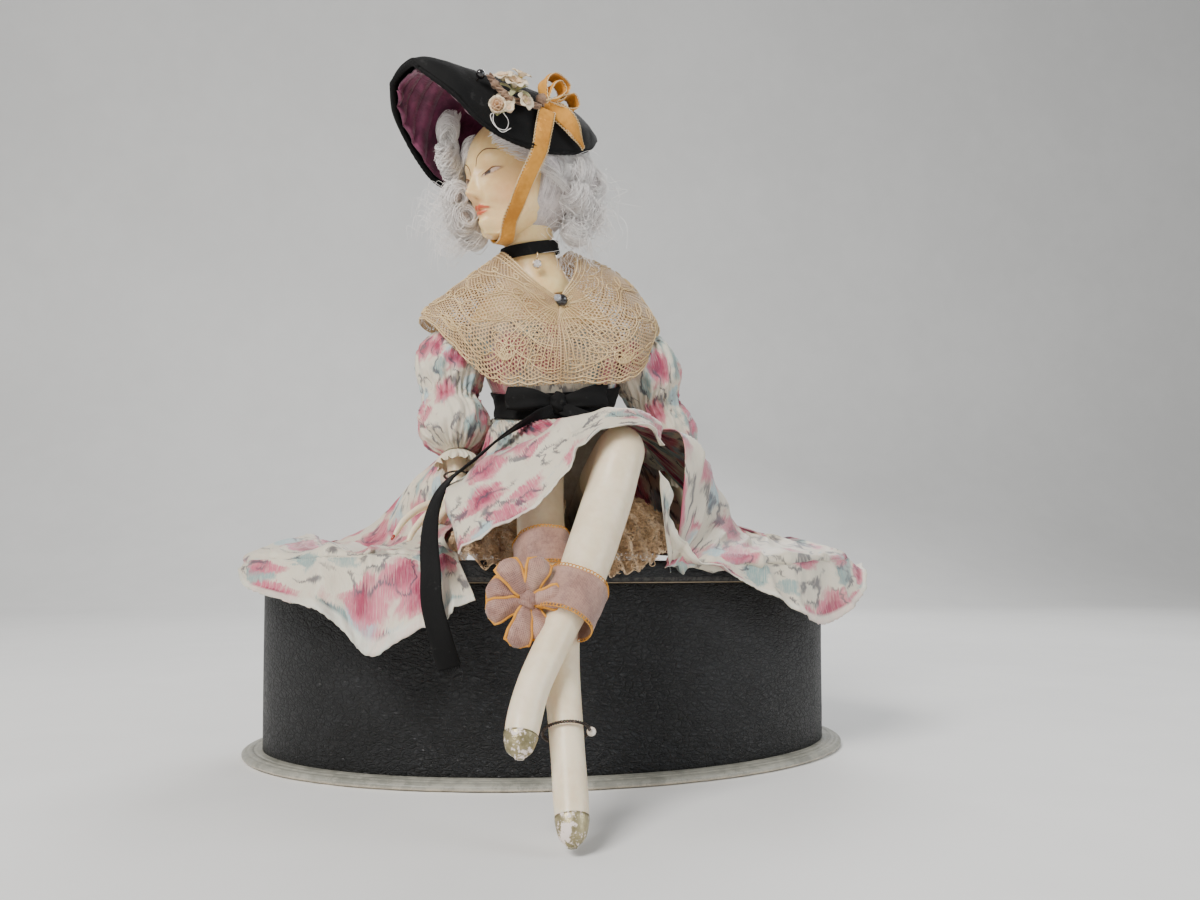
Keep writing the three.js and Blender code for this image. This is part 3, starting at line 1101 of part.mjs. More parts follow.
add('hat_shell', hatShell, VELVET);
add('hat_lining', hatLining, 0x6a2348);
add('hat_pin', hatPin, 0x111111, 0.2);
add('rosebud', rosebud, 0xe8c4a0);
add('blossoms', blossoms, 0xf2ead2);
add('sprig', sprig, 0x8a5a48);
add('hat_bow', hatBow, GOLD_VELVET);
add('chin_strap', chinStrap, GOLD_VELVET);
add('wig_crown', wigCrown, MOHAIR);
add('wig_left', wigLeft, MOHAIR);
add('wig_right', wigRight, MOHAIR);
add('choker', choker, VELVET);
add('pendant', pendant, 0xdfe6ee, 0.1);
add('brooch', brooch, 0x101014, 0.2);
add('bracelet', bracelet, 0x3a3430, 0.4, 0.8);
add('anklet', anklet, 0x3a3430, 0.4, 0.8);

export default group;
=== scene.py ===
"""A wax doll in an ivory silk dress, sitting on the lid of an oval black leather box.

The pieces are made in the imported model's own frame. Lengths in this file are in
millimetres, and become metres where a mesh is made. x runs along the box, y from its
front to its back, and z is up.
"""

import math

import bpy
import numpy as np
from bpy.props import FloatProperty, FloatVectorProperty, IntProperty, PointerProperty
from mathutils import Matrix, Vector
from mathutils.bvhtree import BVHTree


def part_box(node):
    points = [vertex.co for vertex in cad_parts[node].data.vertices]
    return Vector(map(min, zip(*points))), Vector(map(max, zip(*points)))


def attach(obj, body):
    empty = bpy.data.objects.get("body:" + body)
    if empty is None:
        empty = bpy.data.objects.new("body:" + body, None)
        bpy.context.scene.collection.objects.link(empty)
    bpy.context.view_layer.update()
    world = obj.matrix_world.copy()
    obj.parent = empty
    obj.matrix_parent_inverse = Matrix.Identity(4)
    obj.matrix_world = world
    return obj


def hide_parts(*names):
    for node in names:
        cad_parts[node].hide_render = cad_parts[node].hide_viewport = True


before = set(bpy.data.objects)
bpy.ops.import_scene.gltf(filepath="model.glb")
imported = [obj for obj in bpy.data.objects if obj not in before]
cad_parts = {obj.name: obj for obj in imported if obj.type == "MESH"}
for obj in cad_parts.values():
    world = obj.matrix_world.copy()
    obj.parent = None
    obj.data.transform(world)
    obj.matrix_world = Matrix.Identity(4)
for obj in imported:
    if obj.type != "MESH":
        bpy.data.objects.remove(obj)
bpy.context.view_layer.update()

bl_info = {
    "name": "Wax doll on a leather box",
    "version": (1, 0, 0),
    "blender": (4, 5, 0),
    "location": "3D View > Sidebar > Wax doll",
    "description": "Builds a seated wax doll and the oval box under it",
    "category": "Add Mesh",
}

MM = 0.001
SEAT_TOP = 70.3
BASE_HALF, WALL_HALF, LID_HALF = (113, 74.8), (106, 67.8), (112, 73.8)
UP = np.array([0.0, 0.0, 1.0])


# Numbers and curves

def vec(x, y, z):
    """A point or direction."""
    return np.array([x, y, z], float)


def over(x, y, height):
    """A point at a height over the lid."""
    return vec(x, y, SEAT_TOP + height)


def overs(*points):
    """Several points over the lid, as rows."""
    return np.array([over(*point) for point in points])


def shares(count):
    """Even steps from 0 to 1."""
    return np.linspace(0, 1, count)


def whole_turn(count):
    """Even steps of angle once round."""
    return np.linspace(0, 2 * np.pi, count, endpoint=False)


def unit(a):
    """Vectors made one long."""
    a = np.asarray(a, float)
    return a / np.maximum(np.linalg.norm(a, axis=-1, keepdims=True), 1e-9)


def smooth(low, high, value):
    """0 below low, 1 above high, and an even rise between."""
    t = np.clip((np.asarray(value, float) - low) / (high - low), 0, 1)
    return t * t * (3 - 2 * t)


def bell(value, middle, width):
    """A soft bump, 1 at its middle."""
    return np.exp(-(((np.asarray(value, float) - middle) / width) ** 2))


def curve(points, t):
    """Places along a smooth curve through points, for t from 0 to 1."""
    points = np.asarray(points, float)
    n = len(points)
    p = (n - 1) * np.clip(np.asarray(t, float), 0, 1)
    i = np.minimum(p.astype(int), n - 2)
    w = (p - i)[:, None]
    before = np.where(i[:, None] > 0, points[np.maximum(i - 1, 0)], 2 * points[0] - points[1])
    after = np.where(
        i[:, None] < n - 2, points[np.minimum(i + 2, n - 1)], 2 * points[-1] - points[-2]
    )
    a, b = points[i], points[i + 1]
    s, e = (b - before) / 2, (after - a) / 2
    return a + s * w + (3 * (b - a) - 2 * s - e) * w**2 + (2 * (a - b) + s + e) * w**3


def net(rows, down, wide):
    """A smooth surface through rows of points, as down x wide places."""
    across = shares(wide)
    rows = np.stack([curve(row, across) for row in rows])
    return curve(rows.reshape(len(rows), -1), shares(down)).reshape(down, wide, 3)


def along(values, t):
    """Listed values at even steps, with an even rise from each to the next."""
    values = np.asarray(values, float)
    p = (len(values) - 1) * np.clip(np.asarray(t, float), 0, 1)
    i = np.minimum(p.astype(int), len(values) - 2)
    w = smooth(0, 1, p - i)
    if values.ndim > 1:
        w = w[..., None]
    return values[i] * (1 - w) + values[i + 1] * w


def slope(points):
    """Directions down the rows of places."""
    return unit(np.gradient(points, axis=0))


def square_to(way, side):
    """The part of a direction that is square to another."""
    return unit(side - way * np.sum(side * way, -1, keepdims=True))


def frame_of(axis, near):
    """An axis made one long, and two directions square to it and to each other."""
    axis = unit(axis)
    first = unit(np.cross(axis, near))
    return axis, first, np.cross(axis, first)


def turned(across, count):
    """A direction at each of a count of steps, from one listed or from several."""
    across = np.asarray(across, float)
    if across.ndim == 1:
        return across
    steps = shares(len(across))
    return np.stack([np.interp(shares(count), steps, across[:, k]) for k in range(3)], -1)


def facing(points):
    """The direction that each place of a surface faces."""
    return unit(np.cross(np.gradient(points, axis=1), np.gradient(points, axis=0)))


def ripple(points, size, seed, layers=5):
    """Soft unevenness between about -1 and 1 over places, with features of a size."""
    rng = np.random.default_rng(seed)
    total = np.zeros(points.shape[:-1])
    for _ in range(layers * 3):
        direction = unit(rng.normal(size=points.shape[-1]))
        total += np.cos(
            points @ direction * (2 * np.pi / size) * rng.uniform(0.6, 1.5)
            + rng.uniform(0, 2 * np.pi)
        )
    return total / math.sqrt(layers * 3)


def lengths(points):
    """How far each row of places is along its path."""
    steps = np.linalg.norm(np.diff(points, axis=0), axis=-1)
    return np.concatenate([np.zeros((1,) + steps.shape[1:]), np.cumsum(steps, axis=0)])


# Shells: places, faces, pattern places and tints, before they are a mesh

class Shell:
    """Places with faces on them, and for each face corner its place in the cloth in cm."""

    def __init__(self, points, faces, cloth, tint=None):
        self.points = np.asarray(points, float)
        self.faces = faces
        self.cloth = cloth
        self.tint = np.zeros((len(self.points), 4)) if tint is None else tint

    def volume(self):
        """The space inside, below 0 where the faces point inwards."""
        total = 0.0
        for faces in self.faces:
            first = self.points[faces[:, 0]]
            for k in range(1, faces.shape[1] - 1):
                b, c = self.points[faces[:, k]], self.points[faces[:, k + 1]]
                total += np.einsum("ij,ij->i", first, np.cross(b, c)).sum() / 6
        return total

    def outward(self):
        """Turns the faces of a closed shell outwards."""
        if self.volume() < 0:
            self.faces = [faces[:, ::-1] for faces in self.faces]
            self.cloth = [cloth[:, ::-1] for cloth in self.cloth]
        return self


def grid(points, around=False, looped=False, ends=False, cut=None, tint=None):
    """Four-sided faces over rows of places. around joins the last column to the first,
    looped the last row to the first, and ends closes the first and last row."""
    down, wide = points.shape[:2]
    rows = np.arange(down if looped else down - 1)[:, None]
    columns = np.arange(wide if around else wide - 1)[None, :]
    below, beside = (rows + 1) % down, (columns + 1) % wide
    quads = np.stack([
        rows * wide + columns, rows * wide + beside, below * wide + beside, below * wide + columns,
    ], -1).reshape(-1, 4)
    if cut is None:
        closed = np.concatenate([points, points[:, :1]], 1) if around else points
        width = np.linalg.norm(np.diff(closed, axis=1), axis=-1).sum(1).mean() / 10
        cut = (width, lengths(points)[-1].mean() / 10)
    span = wide if around else wide - 1
    rise = down if looped else down - 1
    u, v = columns + 0 * rows, rows + 0 * columns
    corners = np.stack([
        np.stack([u, v], -1), np.stack([u + 1, v], -1),
        np.stack([u + 1, v + 1], -1), np.stack([u, v + 1], -1),
    ], 2).reshape(-1, 4, 2)
    cloth = corners * np.array([cut[0] / span, cut[1] / rise])
    flat = points.reshape(-1, 3)
    faces, cloths = [quads], [cloth]
    if tint is not None:
        tint = np.asarray(tint, float).reshape(-1, 4)
    if ends:
        places = [flat]
        for k, row in enumerate((0, down - 1)):
            ring = row * wide + np.arange(wide)
            middle = np.full(wide, down * wide + k)
            pair = [np.roll(ring, -1), ring] if k == 0 else [ring, np.roll(ring, -1)]
            faces.append(np.stack([middle, *pair], -1))
            cloths.append(np.tile(np.array([0.0, row * cut[1] / rise]), (wide, 3, 1)))
            places.append(points[row].mean(0)[None])
            if tint is not None:
                tint = np.concatenate([tint, tint[row * wide][None]])
        flat = np.concatenate(places)
    return Shell(flat, faces, cloths, tint)


def closed(points):
    """A closed body round rows of places."""
    return grid(points, around=True, ends=True).outward()


def rings(path, wide, high, side, sides, turn=None):
    """Oval rings round a path: wide along side, and high square to it."""
    path = np.asarray(path, float)
    tangent = slope(path)
    side = square_to(tangent, np.broadcast_to(np.asarray(side, float), path.shape))
    up = np.cross(tangent, side)
    angle = whole_turn(sides)
    wide = np.asarray(wide, float).reshape(-1, 1) * np.ones((len(path), 1))
    high = np.asarray(high, float).reshape(-1, 1) * np.ones((len(path), 1))
    swell = 1.0 if turn is None else turn(shares(len(path))[:, None], angle[None, :])
    return (
        path[:, None]
        + side[:, None] * (wide * np.cos(angle) * swell)[..., None]
        + up[:, None] * (high * np.sin(angle) * swell)[..., None]
    )


def tube(path, radius, sides, loop=False):
    """A closed tube along a path, or round a ring of places."""
    path = np.asarray(path, float)
    if not loop:
        return closed(rings(path, radius, radius, (0.3, 0.5, 0.8), sides))
    tangent = unit(np.roll(path, -1, 0) - np.roll(path, 1, 0))
    out = unit(path - path.mean(0))
    up = np.cross(tangent, out)
    angle = whole_turn(sides)[:, None]
    points = path[:, None] + radius * (out[:, None] * np.cos(angle) + up[:, None] * np.sin(angle))
    return grid(points, around=True, looped=True).outward()


def ball(centre, radii, sides, turn=None, axes=None):
    """A closed round body; turn gives its swell from the rise and angle of each place."""
    rise = np.linspace(-np.pi / 2, np.pi / 2, sides)[1:-1]
    angle = whole_turn(sides * 2)
    directions = np.stack([
        np.cos(rise)[:, None] * np.cos(angle), np.cos(rise)[:, None] * np.sin(angle),
        np.sin(rise)[:, None] + 0 * angle,
    ], -1)
    swell = 1.0 if turn is None else turn(directions)[..., None]
    points = directions * np.asarray(radii, float) * swell
    if axes is not None:
        points = points @ np.asarray(axes, float)
    return closed(points + np.asarray(centre, float))


def ribbon(path, widths, across, thick=0.8, columns=7, curl=0.0, edge=None):
    """A closed flat band along a path, with rounded edges. across turns from one listed
    direction to the next, and curl lifts its edges."""
    path = np.asarray(path, float)
    t = shares(len(path))
    tangent = slope(path)
    side = square_to(tangent, turned(across, len(path)))
    up = np.cross(tangent, side)
    half = along(widths, t) / 2
    s = np.linspace(-1, 1, columns)
    lift = (curl * s**2)[None, :] * half[:, None]
    wobble = 0 if edge is None else edge(t[:, None], s[None, :])
    middle = (
        path[:, None] + side[:, None] * (half[:, None] * s)[..., None]
        + up[:, None] * (lift + wobble)[..., None]
    )
    rim = np.sqrt(np.clip(1 - (np.abs(s) * 0.97) ** 8, 0.02, 1)) * thick / 2
    top = middle + up[:, None] * rim[:, None]
    low = middle - up[:, None] * rim[:, None]
    shell = grid(np.concatenate([top, low[:, ::-1]], 1), around=True, ends=True)
    width = half.mean() * 0.2
    length = lengths(path)[-1] / 10
    count = columns * 2
    u = np.concatenate([s, s[::-1]]) * width / 2
    cloth = []
    for faces in shell.faces:
        row, column = faces // count, faces % count
        row = np.minimum(row, len(path) - 1)
        cloth.append(np.stack([u[column], row * length / (len(path) - 1)], -1))
    shell.cloth = cloth
    return shell.outward()


def oval_turn(profile, sides, half):
    """A profile of (inset, z) carried round an oval, as rows of places."""
    angle = whole_turn(sides)
    inset, z = np.asarray(profile, float).T
    return np.stack([
        (half[0] - inset)[:, None] * np.cos(angle),
        (half[1] - inset)[:, None] * np.sin(angle),
        z[:, None] + 0 * angle,
    ], -1)


def rounded(profile, radius, steps, joined=True):
    """A profile with its corners rounded. joined says that its end meets its start."""
    points = [np.asarray(p, float) for p in profile]
    result = []
    for i, p in enumerate(points):
        if not joined and i in (0, len(points) - 1):
            result.append(p)
            continue
        a, b = points[i - 1] - p, points[(i + 1) % len(points)] - p
        r = min(radius, np.linalg.norm(a) * 0.49, np.linalg.norm(b) * 0.49)
        start, end = p + unit(a) * r, p + unit(b) * r
        for k in range(steps + 1):
            t = k / steps
            result.append(start * (1 - t) ** 2 + p * 2 * t * (1 - t) + end * t * t)
    return np.array(result)


def close_set(profile, step):
    """A closed profile with more places along its long sides."""
    result = []
    for a, b in zip(profile, np.roll(profile, -1, 0)):
        count = max(1, int(np.linalg.norm(b - a) / step))
        result.extend(a * (1 - k / count) + b * (k / count) for k in range(count))
    return result


def rims_of(path, widths, across, curl=0.0):
    """The two edges of a ribbon, each with the way outwards along it."""
    half = along(widths, shares(len(path)))[:, None] / 2
    tangent = slope(path)
    side = square_to(tangent, np.broadcast_to(across, path.shape))
    up = np.cross(tangent, side)
    return [(path + side * sign * half + up * curl * half, side * sign) for sign in (-1, 1)]


# Meshes and pieces

def mesh_of(name, shells):
    """A mesh in metres, from shells in millimetres."""
    mesh = bpy.data.meshes.new(name)
    points = np.concatenate([shell.points for shell in shells]) * MM
    indices, starts, cloths, base, corner = [], [], [], 0, 0
    for shell in shells:
        for faces, cloth in zip(shell.faces, shell.cloth):
            count, size = faces.shape
            indices.append((faces + base).ravel())
            starts.append(corner + np.arange(count) * size)
            cloths.append(np.asarray(cloth, float).reshape(-1, 2))
            corner += count * size
        base += len(shell.points)
    indices, starts = np.concatenate(indices), np.concatenate(starts)
    mesh.vertices.add(len(points))
    mesh.vertices.foreach_set("co", points.ravel())
    mesh.loops.add(len(indices))
    mesh.loops.foreach_set("vertex_index", indices.astype(np.int32))
    mesh.polygons.add(len(starts))
    mesh.polygons.foreach_set("loop_start", starts.astype(np.int32))
    mesh.update(calc_edges=True)
    layer = mesh.uv_layers.new(name="Cloth")
    layer.data.foreach_set("uv", np.concatenate(cloths).ravel())
    tint = mesh.color_attributes.new(name="Tint", type="FLOAT_COLOR", domain="POINT")
    tint.data.foreach_set("color", np.concatenate([shell.tint for shell in shells]).ravel())
    mesh.polygons.foreach_set("use_smooth", np.ones(len(starts), bool))
    mesh.validate()
    return mesh


def new_item(name, data):
    """A new object in the scene."""
    item = bpy.data.objects.new(name, data)
    bpy.context.scene.collection.objects.link(item)
    return item


def settled(item, body, stands_for=()):
    """Hides the parts that an item stands for, and hangs it on the body it rides on."""
    if stands_for:
        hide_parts(*stands_for)
    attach(item, body)
    return item


def piece(name, body, finish, shells, stands_for=(), thick=None):
    """A finished piece that rides on a body. thick gives a cloth surface its thickness."""
    item = new_item(name, mesh_of(name, shells if isinstance(shells, list) else [shells]))
    item.data.materials.append(FINISHES[finish])
    if thick:
        wall = item.modifiers.new("Thickness", "SOLIDIFY")
        wall.thickness = thick * MM
        wall.offset = 0
        wall.use_even_offset = False
    return settled(item, body, stands_for)


def paint(finish, *nodes):
    """Gives CAD nodes that stay a finish."""
    for name in nodes:
        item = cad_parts[name]
        if not item.material_slots:
            item.data.materials.append(None)
        item.material_slots[0].link = "OBJECT"
        item.material_slots[0].material = FINISHES[finish]


def baked(item):
    """Turns what an object's modifiers make into its own plain mesh, with no paint on it."""
    graph = bpy.context.evaluated_depsgraph_get()
    mesh = bpy.data.meshes.new_from_object(item.evaluated_get(graph))
    item.modifiers.clear()
    item.data = mesh
    bare = mesh.color_attributes.get("Tint")
    if bare is None:
        bare = mesh.color_attributes.new(name="Tint", type="FLOAT_COLOR", domain="POINT")
    bare.data.foreach_set("color", np.zeros(len(bare.data) * 4))
    return item


def tree_of(*nodes):
    """A search tree over CAD nodes, in millimetres."""
    points, faces, base = [], [], 0
    for name in nodes:
        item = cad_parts[name]
        mesh = item.data
        co = np.empty(len(mesh.vertices) * 3)
        mesh.vertices.foreach_get("co", co)
        points.extend((co.reshape(-1, 3) / MM).tolist())
        mesh.calc_loop_triangles()
        faces.extend([tuple(i + base for i in tri.vertices) for tri in mesh.loop_triangles])
        base += len(mesh.vertices)
    return BVHTree.FromPolygons(points, faces)


def clear_of(points, tree, gap, reach):
    """Moves places out of solids, to a gap off their surface."""
    flat = points.reshape(-1, 3).copy()
    for i, p in enumerate(flat):
        hit, normal, _, distance = tree.find_nearest(Vector(p), reach)
        if hit is not None and ((Vector(p) - hit).dot(normal) < 0 or distance < gap):
            flat[i] = np.array(hit + normal * gap)
    return flat.reshape(points.shape)


# Tools for node trees

class Bench:
    """Adds nodes to one tree, with their inputs set or linked as they are named."""

    def __init__(self, tree, shader=None):
        self.tree = tree
        self.shader = shader

    def add(self, kind, inputs=(), **settings):
        node = self.tree.nodes.new(kind)
        for key, value in settings.items():
            setattr(node, key, value)
        for key, value in dict(inputs).items():
            self.put(node.inputs[key], value)
        return node

    def put(self, socket, value):
        if isinstance(value, bpy.types.NodeSocket):
            self.tree.links.new(value, socket)
        elif socket.type == "RGBA" and len(value) == 3:
            socket.default_value = (*value, 1.0)
        else:
            socket.default_value = value

    def math(self, operation, a, b=0.0, c=0.0, clamp=False):
        return self.add(
            "ShaderNodeMath", {0: a, 1: b, 2: c}, operation=operation, use_clamp=clamp
        ).outputs[0]

    def times(self, a, b):
        return self.math("MULTIPLY", a, b)

    def plus(self, a, b):
        return self.math("ADD", a, b)

    def minus(self, a, b):
        return self.math("SUBTRACT", a, b)

    def scaled(self, a, b, c):
        """a times b, and c more."""
        return self.math("MULTIPLY_ADD", a, b, c)

    def mix(self, factor, a, b):
        """Colour a, and as much of colour b over it as the factor says."""
        return self.add("ShaderNodeMix", {0: factor, 6: a, 7: b}, data_type="RGBA").outputs[2]

    def blend(self, factor, a, b):
        return self.add("ShaderNodeMix", {0: factor, 2: a, 3: b}).outputs[0]

    def between(self, value, low, high, start=0.0, end=1.0):
        """start below low and end above high, with an even rise."""
        return self.add(
            "ShaderNodeMapRange", {0: value, 1: low, 2: high, 3: start, 4: end},
            interpolation_type="SMOOTHSTEP",
        ).outputs[0]

    def noise(self, place, scale, detail=2.0, rough=0.5, distortion=0.0):
        return self.add("ShaderNodeTexNoise", {
            "Vector": place, "Scale": scale, "Detail": detail, "Roughness": rough,
            "Distortion": distortion,
        }).outputs[0]

    def cells(self, place, scale, randomness, feature="F1"):
        return self.add(
            "ShaderNodeTexVoronoi",
            {"Vector": place, "Scale": scale, "Randomness": randomness}, feature=feature,
        )

    def moved(self, place, scale, shift=(0, 0, 0), turn=(0, 0, 0)):
        return self.add("ShaderNodeMapping", {
            "Vector": place, "Location": shift, "Rotation": turn, "Scale": scale,
        }).outputs[0]

    def parts(self, place):
        return self.add("ShaderNodeSeparateXYZ", {0: place}).outputs

    def place(self, x, y, z=0.0):
        return self.add("ShaderNodeCombineXYZ", {0: x, 1: y, 2: z}).outputs[0]

    def bump(self, height, depth, strength, under=None):
        inputs = {"Height": height, "Distance": depth, "Strength": strength}
        if under is not None:
            inputs["Normal"] = under
        return self.add("ShaderNodeBump", inputs).outputs[0]

    def effect(self, name, inputs):
        node = self.tree.nodes.new("ShaderNodeGroup")
        node.node_tree = EFFECTS[name]
        for key, value in inputs.items():
            self.put(node.inputs[key], value)
        return node.outputs

    def show(self, colour, rough, normal=None, alpha=None):
        """Gives the shader its colour, roughness, surface direction and cover."""
        for key, value in (
            ("Base Color", colour), ("Roughness", rough), ("Normal", normal), ("Alpha", alpha),
        ):
            if value is not None:
                self.put(self.shader.inputs[key], value)


EFFECTS = {}
FINISHES = {}


def effect(name, sockets, results):
    """A new shader node group with named inputs and outputs; gives its bench and inputs."""
    tree = bpy.data.node_groups.new(name, "ShaderNodeTree")
    for socket, (kind, default) in sockets.items():
        item = tree.interface.new_socket(socket, in_out="INPUT", socket_type=kind)
        if default is not None:
            item.default_value = default
    for socket, kind in results.items():
        tree.interface.new_socket(socket, in_out="OUTPUT", socket_type=kind)
    EFFECTS[name] = tree
    bench = Bench(tree)
    return bench, bench.add("NodeGroupInput").outputs, bench.add("NodeGroupOutput").inputs


NUMBER, PLACE, COLOUR = "NodeSocketFloat", "NodeSocketVector", "NodeSocketColor"


def make_weave_effect():
    """Crossing threads, with uneven thread heights, for places in cm."""
    b, given, result = effect("Thread weave", {
        "Place": (PLACE, None), "Threads": (NUMBER, 40.0), "Unevenness": (NUMBER, 0.4),
    }, {"Height": NUMBER, "Slub": NUMBER})
    x, y, _ = b.parts(given["Place"])
    turn = b.times(given["Threads"], 2 * math.pi)
    warp = b.math("SINE", b.times(x, turn))
    weft = b.math("SINE", b.times(y, turn))
    woven = b.math("MAXIMUM", warp, weft)
    stretched = b.moved(given["Place"], (40, 3, 1))
    crossed = b.moved(given["Place"], (3, 40, 1))
    slub = b.times(b.plus(b.noise(stretched, 1.0), b.noise(crossed, 1.0)), 0.5)
    height = b.scaled(b.minus(slub, 0.5), given["Unevenness"], b.times(woven, 0.25))
    b.put(result["Height"], height)
    b.put(result["Slub"], slub)


def make_wear_effect():
    """Uneven patches where a finish has rubbed or chipped, for object places in metres."""
    b, given, result = effect("Wear patches", {
        "Place": (PLACE, None), "Size": (NUMBER, 200.0), "Share": (NUMBER, 0.5),
    }, {"Mask": NUMBER, "Fine": NUMBER})
    broad = b.noise(given["Place"], given["Size"], 5.0, 0.65)
    fine = b.noise(given["Place"], b.times(given["Size"], 6.0), 3.0, 0.6)
    both = b.scaled(fine, 0.35, b.times(broad, 0.65))
    edge = b.minus(0.75, b.times(given["Share"], 0.5))
    b.put(result["Mask"], b.between(both, edge, b.plus(edge, 0.05)))
    b.put(result["Fine"], fine)


def make_grain_effect():
    """Leather pebbles drawn out one way, with creases between them, for places in cm."""
    b, given, result = effect("Leather grain", {
        "Place": (PLACE, None), "Pebbles": (NUMBER, 9.0),
    }, {"Height": NUMBER, "Crease": NUMBER})
    sway = b.noise(given["Place"], 2.5, 3.0)
    shift = b.place(b.times(sway, 0.25), b.times(sway, -0.2))
    bent = b.add("ShaderNodeVectorMath", {0: given["Place"], 1: shift}, operation="ADD").outputs[0]
    drawn = b.moved(bent, (0.62, 1.25, 1.0), turn=(0, 0, 0.2))
    pebble = b.cells(drawn, given["Pebbles"], 1.0, "DISTANCE_TO_EDGE").outputs[0]
    small = b.cells(drawn, b.times(given["Pebbles"], 2.4), 1.0, "DISTANCE_TO_EDGE")
    crease = b.between(pebble, 0.0, 0.16)
    lesser = b.between(small.outputs[0], 0.0, 0.22)
    b.put(result["Height"], b.scaled(lesser, 0.3, b.times(crease, 0.7)))
    b.put(result["Crease"], crease)


def make_net_effect():
    """A net of six-sided holes, for places in cm: 1 on the threads and 0 in the holes."""
    b, given, result = effect("Six-sided net", {
        "Place": (PLACE, None), "Hole": (NUMBER, 0.17), "Thread": (NUMBER, 0.35),
    }, {"Thread": NUMBER})
    x, y, _ = b.parts(given["Place"])
    step = b.math("DIVIDE", 2 * math.pi * 1.1547, given["Hole"])
    waves = []
    for angle in (0, math.pi / 3, 2 * math.pi / 3):
        path = b.scaled(x, math.cos(angle), b.times(y, math.sin(angle)))
        waves.append(b.math("COSINE", b.times(path, step)))
    total = b.plus(b.plus(waves[0], waves[1]), waves[2])
    level = b.minus(b.times(given["Thread"], 3.0), 1.5)
    b.put(result["Thread"], b.between(total, b.plus(level, 0.25), level, 0.0, 1.0))


def make_mottle_effect():
    """Cloudy colour over a plain surface, for object places in metres."""
    b, given, result = effect("Cloudy colour", {
        "Place": (PLACE, None), "Size": (NUMBER, 120.0), "Light": (COLOUR, (1, 1, 1, 1)),
        "Dark": (COLOUR, (0, 0, 0, 1)),
    }, {"Color": COLOUR, "Cloud": NUMBER})
    broad = b.noise(given["Place"], given["Size"], 4.0, 0.6)
    fine = b.noise(given["Place"], b.times(given["Size"], 7.0), 2.0)
    cloud = b.between(b.scaled(fine, 0.3, b.times(broad, 0.7)), 0.34, 0.66)
    b.put(result["Color"], b.mix(cloud, given["Dark"], given["Light"]))
    b.put(result["Cloud"], cloud)


def make_print_effect():
    """Flowers printed on the warp before weaving, so that their edges run in streaks, for
    places in cm. The motifs are scattered blots, leaves and strokes."""
    b, given, result = effect("Warp-printed flowers", {
        "Place": (PLACE, None), "Ground": (COLOUR, (0.8, 0.76, 0.66, 1)),
        "Petal": (COLOUR, (0.75, 0.2, 0.32, 1)), "Heart": (COLOUR, (0.32, 0.025, 0.08, 1)),
        "Leaf": (COLOUR, (0.17, 0.32, 0.33, 1)), "Ink": (COLOUR, (0.05, 0.05, 0.075, 1)),
    }, {"Color": COLOUR})
    x, y, _ = b.parts(given["Place"])
    threads = b.noise(b.place(b.times(x, 34.0), b.times(y, 1.1)), 1.0, 2.0, 0.7)
    run = b.times(b.minus(threads, 0.5), 0.75)
    wander = b.noise(b.place(x, y), 1.4, 2.0)
    drift = b.times(b.minus(wander, 0.5), 0.7)
    place = b.place(b.plus(x, drift), b.plus(b.plus(y, run), drift))
    flower = b.cells(b.moved(place, (0.74, 0.60, 1)), 1.0, 0.85)
    kind = b.parts(flower.outputs["Color"])
    edge = b.noise(place, 2.2, 3.0, 0.6)
    ragged = b.scaled(b.minus(edge, 0.5), 0.5, flower.outputs["Distance"])
    pink_here = b.math("GREATER_THAN", kind[0], 0.22)
    petal = b.times(b.between(ragged, 0.56, 0.40), pink_here)
    heart = b.times(b.between(ragged, 0.36, 0.18), pink_here)
    eye = b.times(b.between(ragged, 0.13, 0.06), pink_here)
    leaf_cell = b.cells(b.moved(place, (0.95, 0.66, 1), (3.3, 1.7, 0)), 1.0, 0.9)
    leaf_kind = b.parts(leaf_cell.outputs["Color"])
    leaf_edge = b.scaled(b.minus(edge, 0.5), -0.6, leaf_cell.outputs["Distance"])
    leaf = b.times(b.between(leaf_edge, 0.52, 0.36), b.math("GREATER_THAN", leaf_kind[1], 0.24))
    sky = b.math("GREATER_THAN", leaf_kind[0], 0.55)
    line = b.noise(b.moved(place, (1.1, 0.7, 1), (8.1, 2.6, 0)), 1.0, 1.5)
    stroke = b.between(b.math("ABSOLUTE", b.minus(line, 0.52)), 0.04, 0.012)
    where = b.between(b.noise(b.moved(place, (0.8, 0.6, 1), (1.7, 9.0, 0)), 1.0), 0.44, 0.52)
    ink = b.times(stroke, where)
    faded = b.between(threads, 0.25, 0.6, 0.45, 1.0)
    leaf_colour = b.mix(sky, given["Leaf"], (0.33, 0.52, 0.58, 1))
    colour = b.mix(b.times(leaf, b.times(faded, 0.85)), given["Ground"], leaf_colour)
    colour = b.mix(b.times(petal, faded), colour, given["Petal"])
    colour = b.mix(b.times(heart, faded), colour, given["Heart"])
    colour = b.mix(b.times(eye, 0.8), colour, given["Ink"])
    colour = b.mix(b.times(ink, 0.8), colour, given["Ink"])
    b.put(result["Color"], colour)


def finish(name, constants, alpha=False):
    """A new material with its shader's own numbers set; gives its bench."""
    material = bpy.data.materials.new(name)
    material.use_nodes = True
    tree = material.node_tree
    shader = next(n for n in tree.nodes if n.type == "BSDF_PRINCIPLED")
    bench = Bench(tree, shader)
    for key, value in constants.items():
        bench.put(shader.inputs[key], value)
    if alpha:
        material.surface_render_method = "DITHERED"
    FINISHES[name] = material
    return bench


def object_place(b):
    """The places of a piece, in metres."""
    return b.add("ShaderNodeTexCoord").outputs["Object"]


def cloth_place(b):
    """The places in a piece's cloth, in cm."""
    return b.add("ShaderNodeUVMap", uv_map="Cloth").outputs[0]


def tint_of(b):
    """The paint on each place, and how much it covers."""
    node = b.add("ShaderNodeAttribute", attribute_name="Tint")
    return node.outputs["Color"], node.outputs["Alpha"]


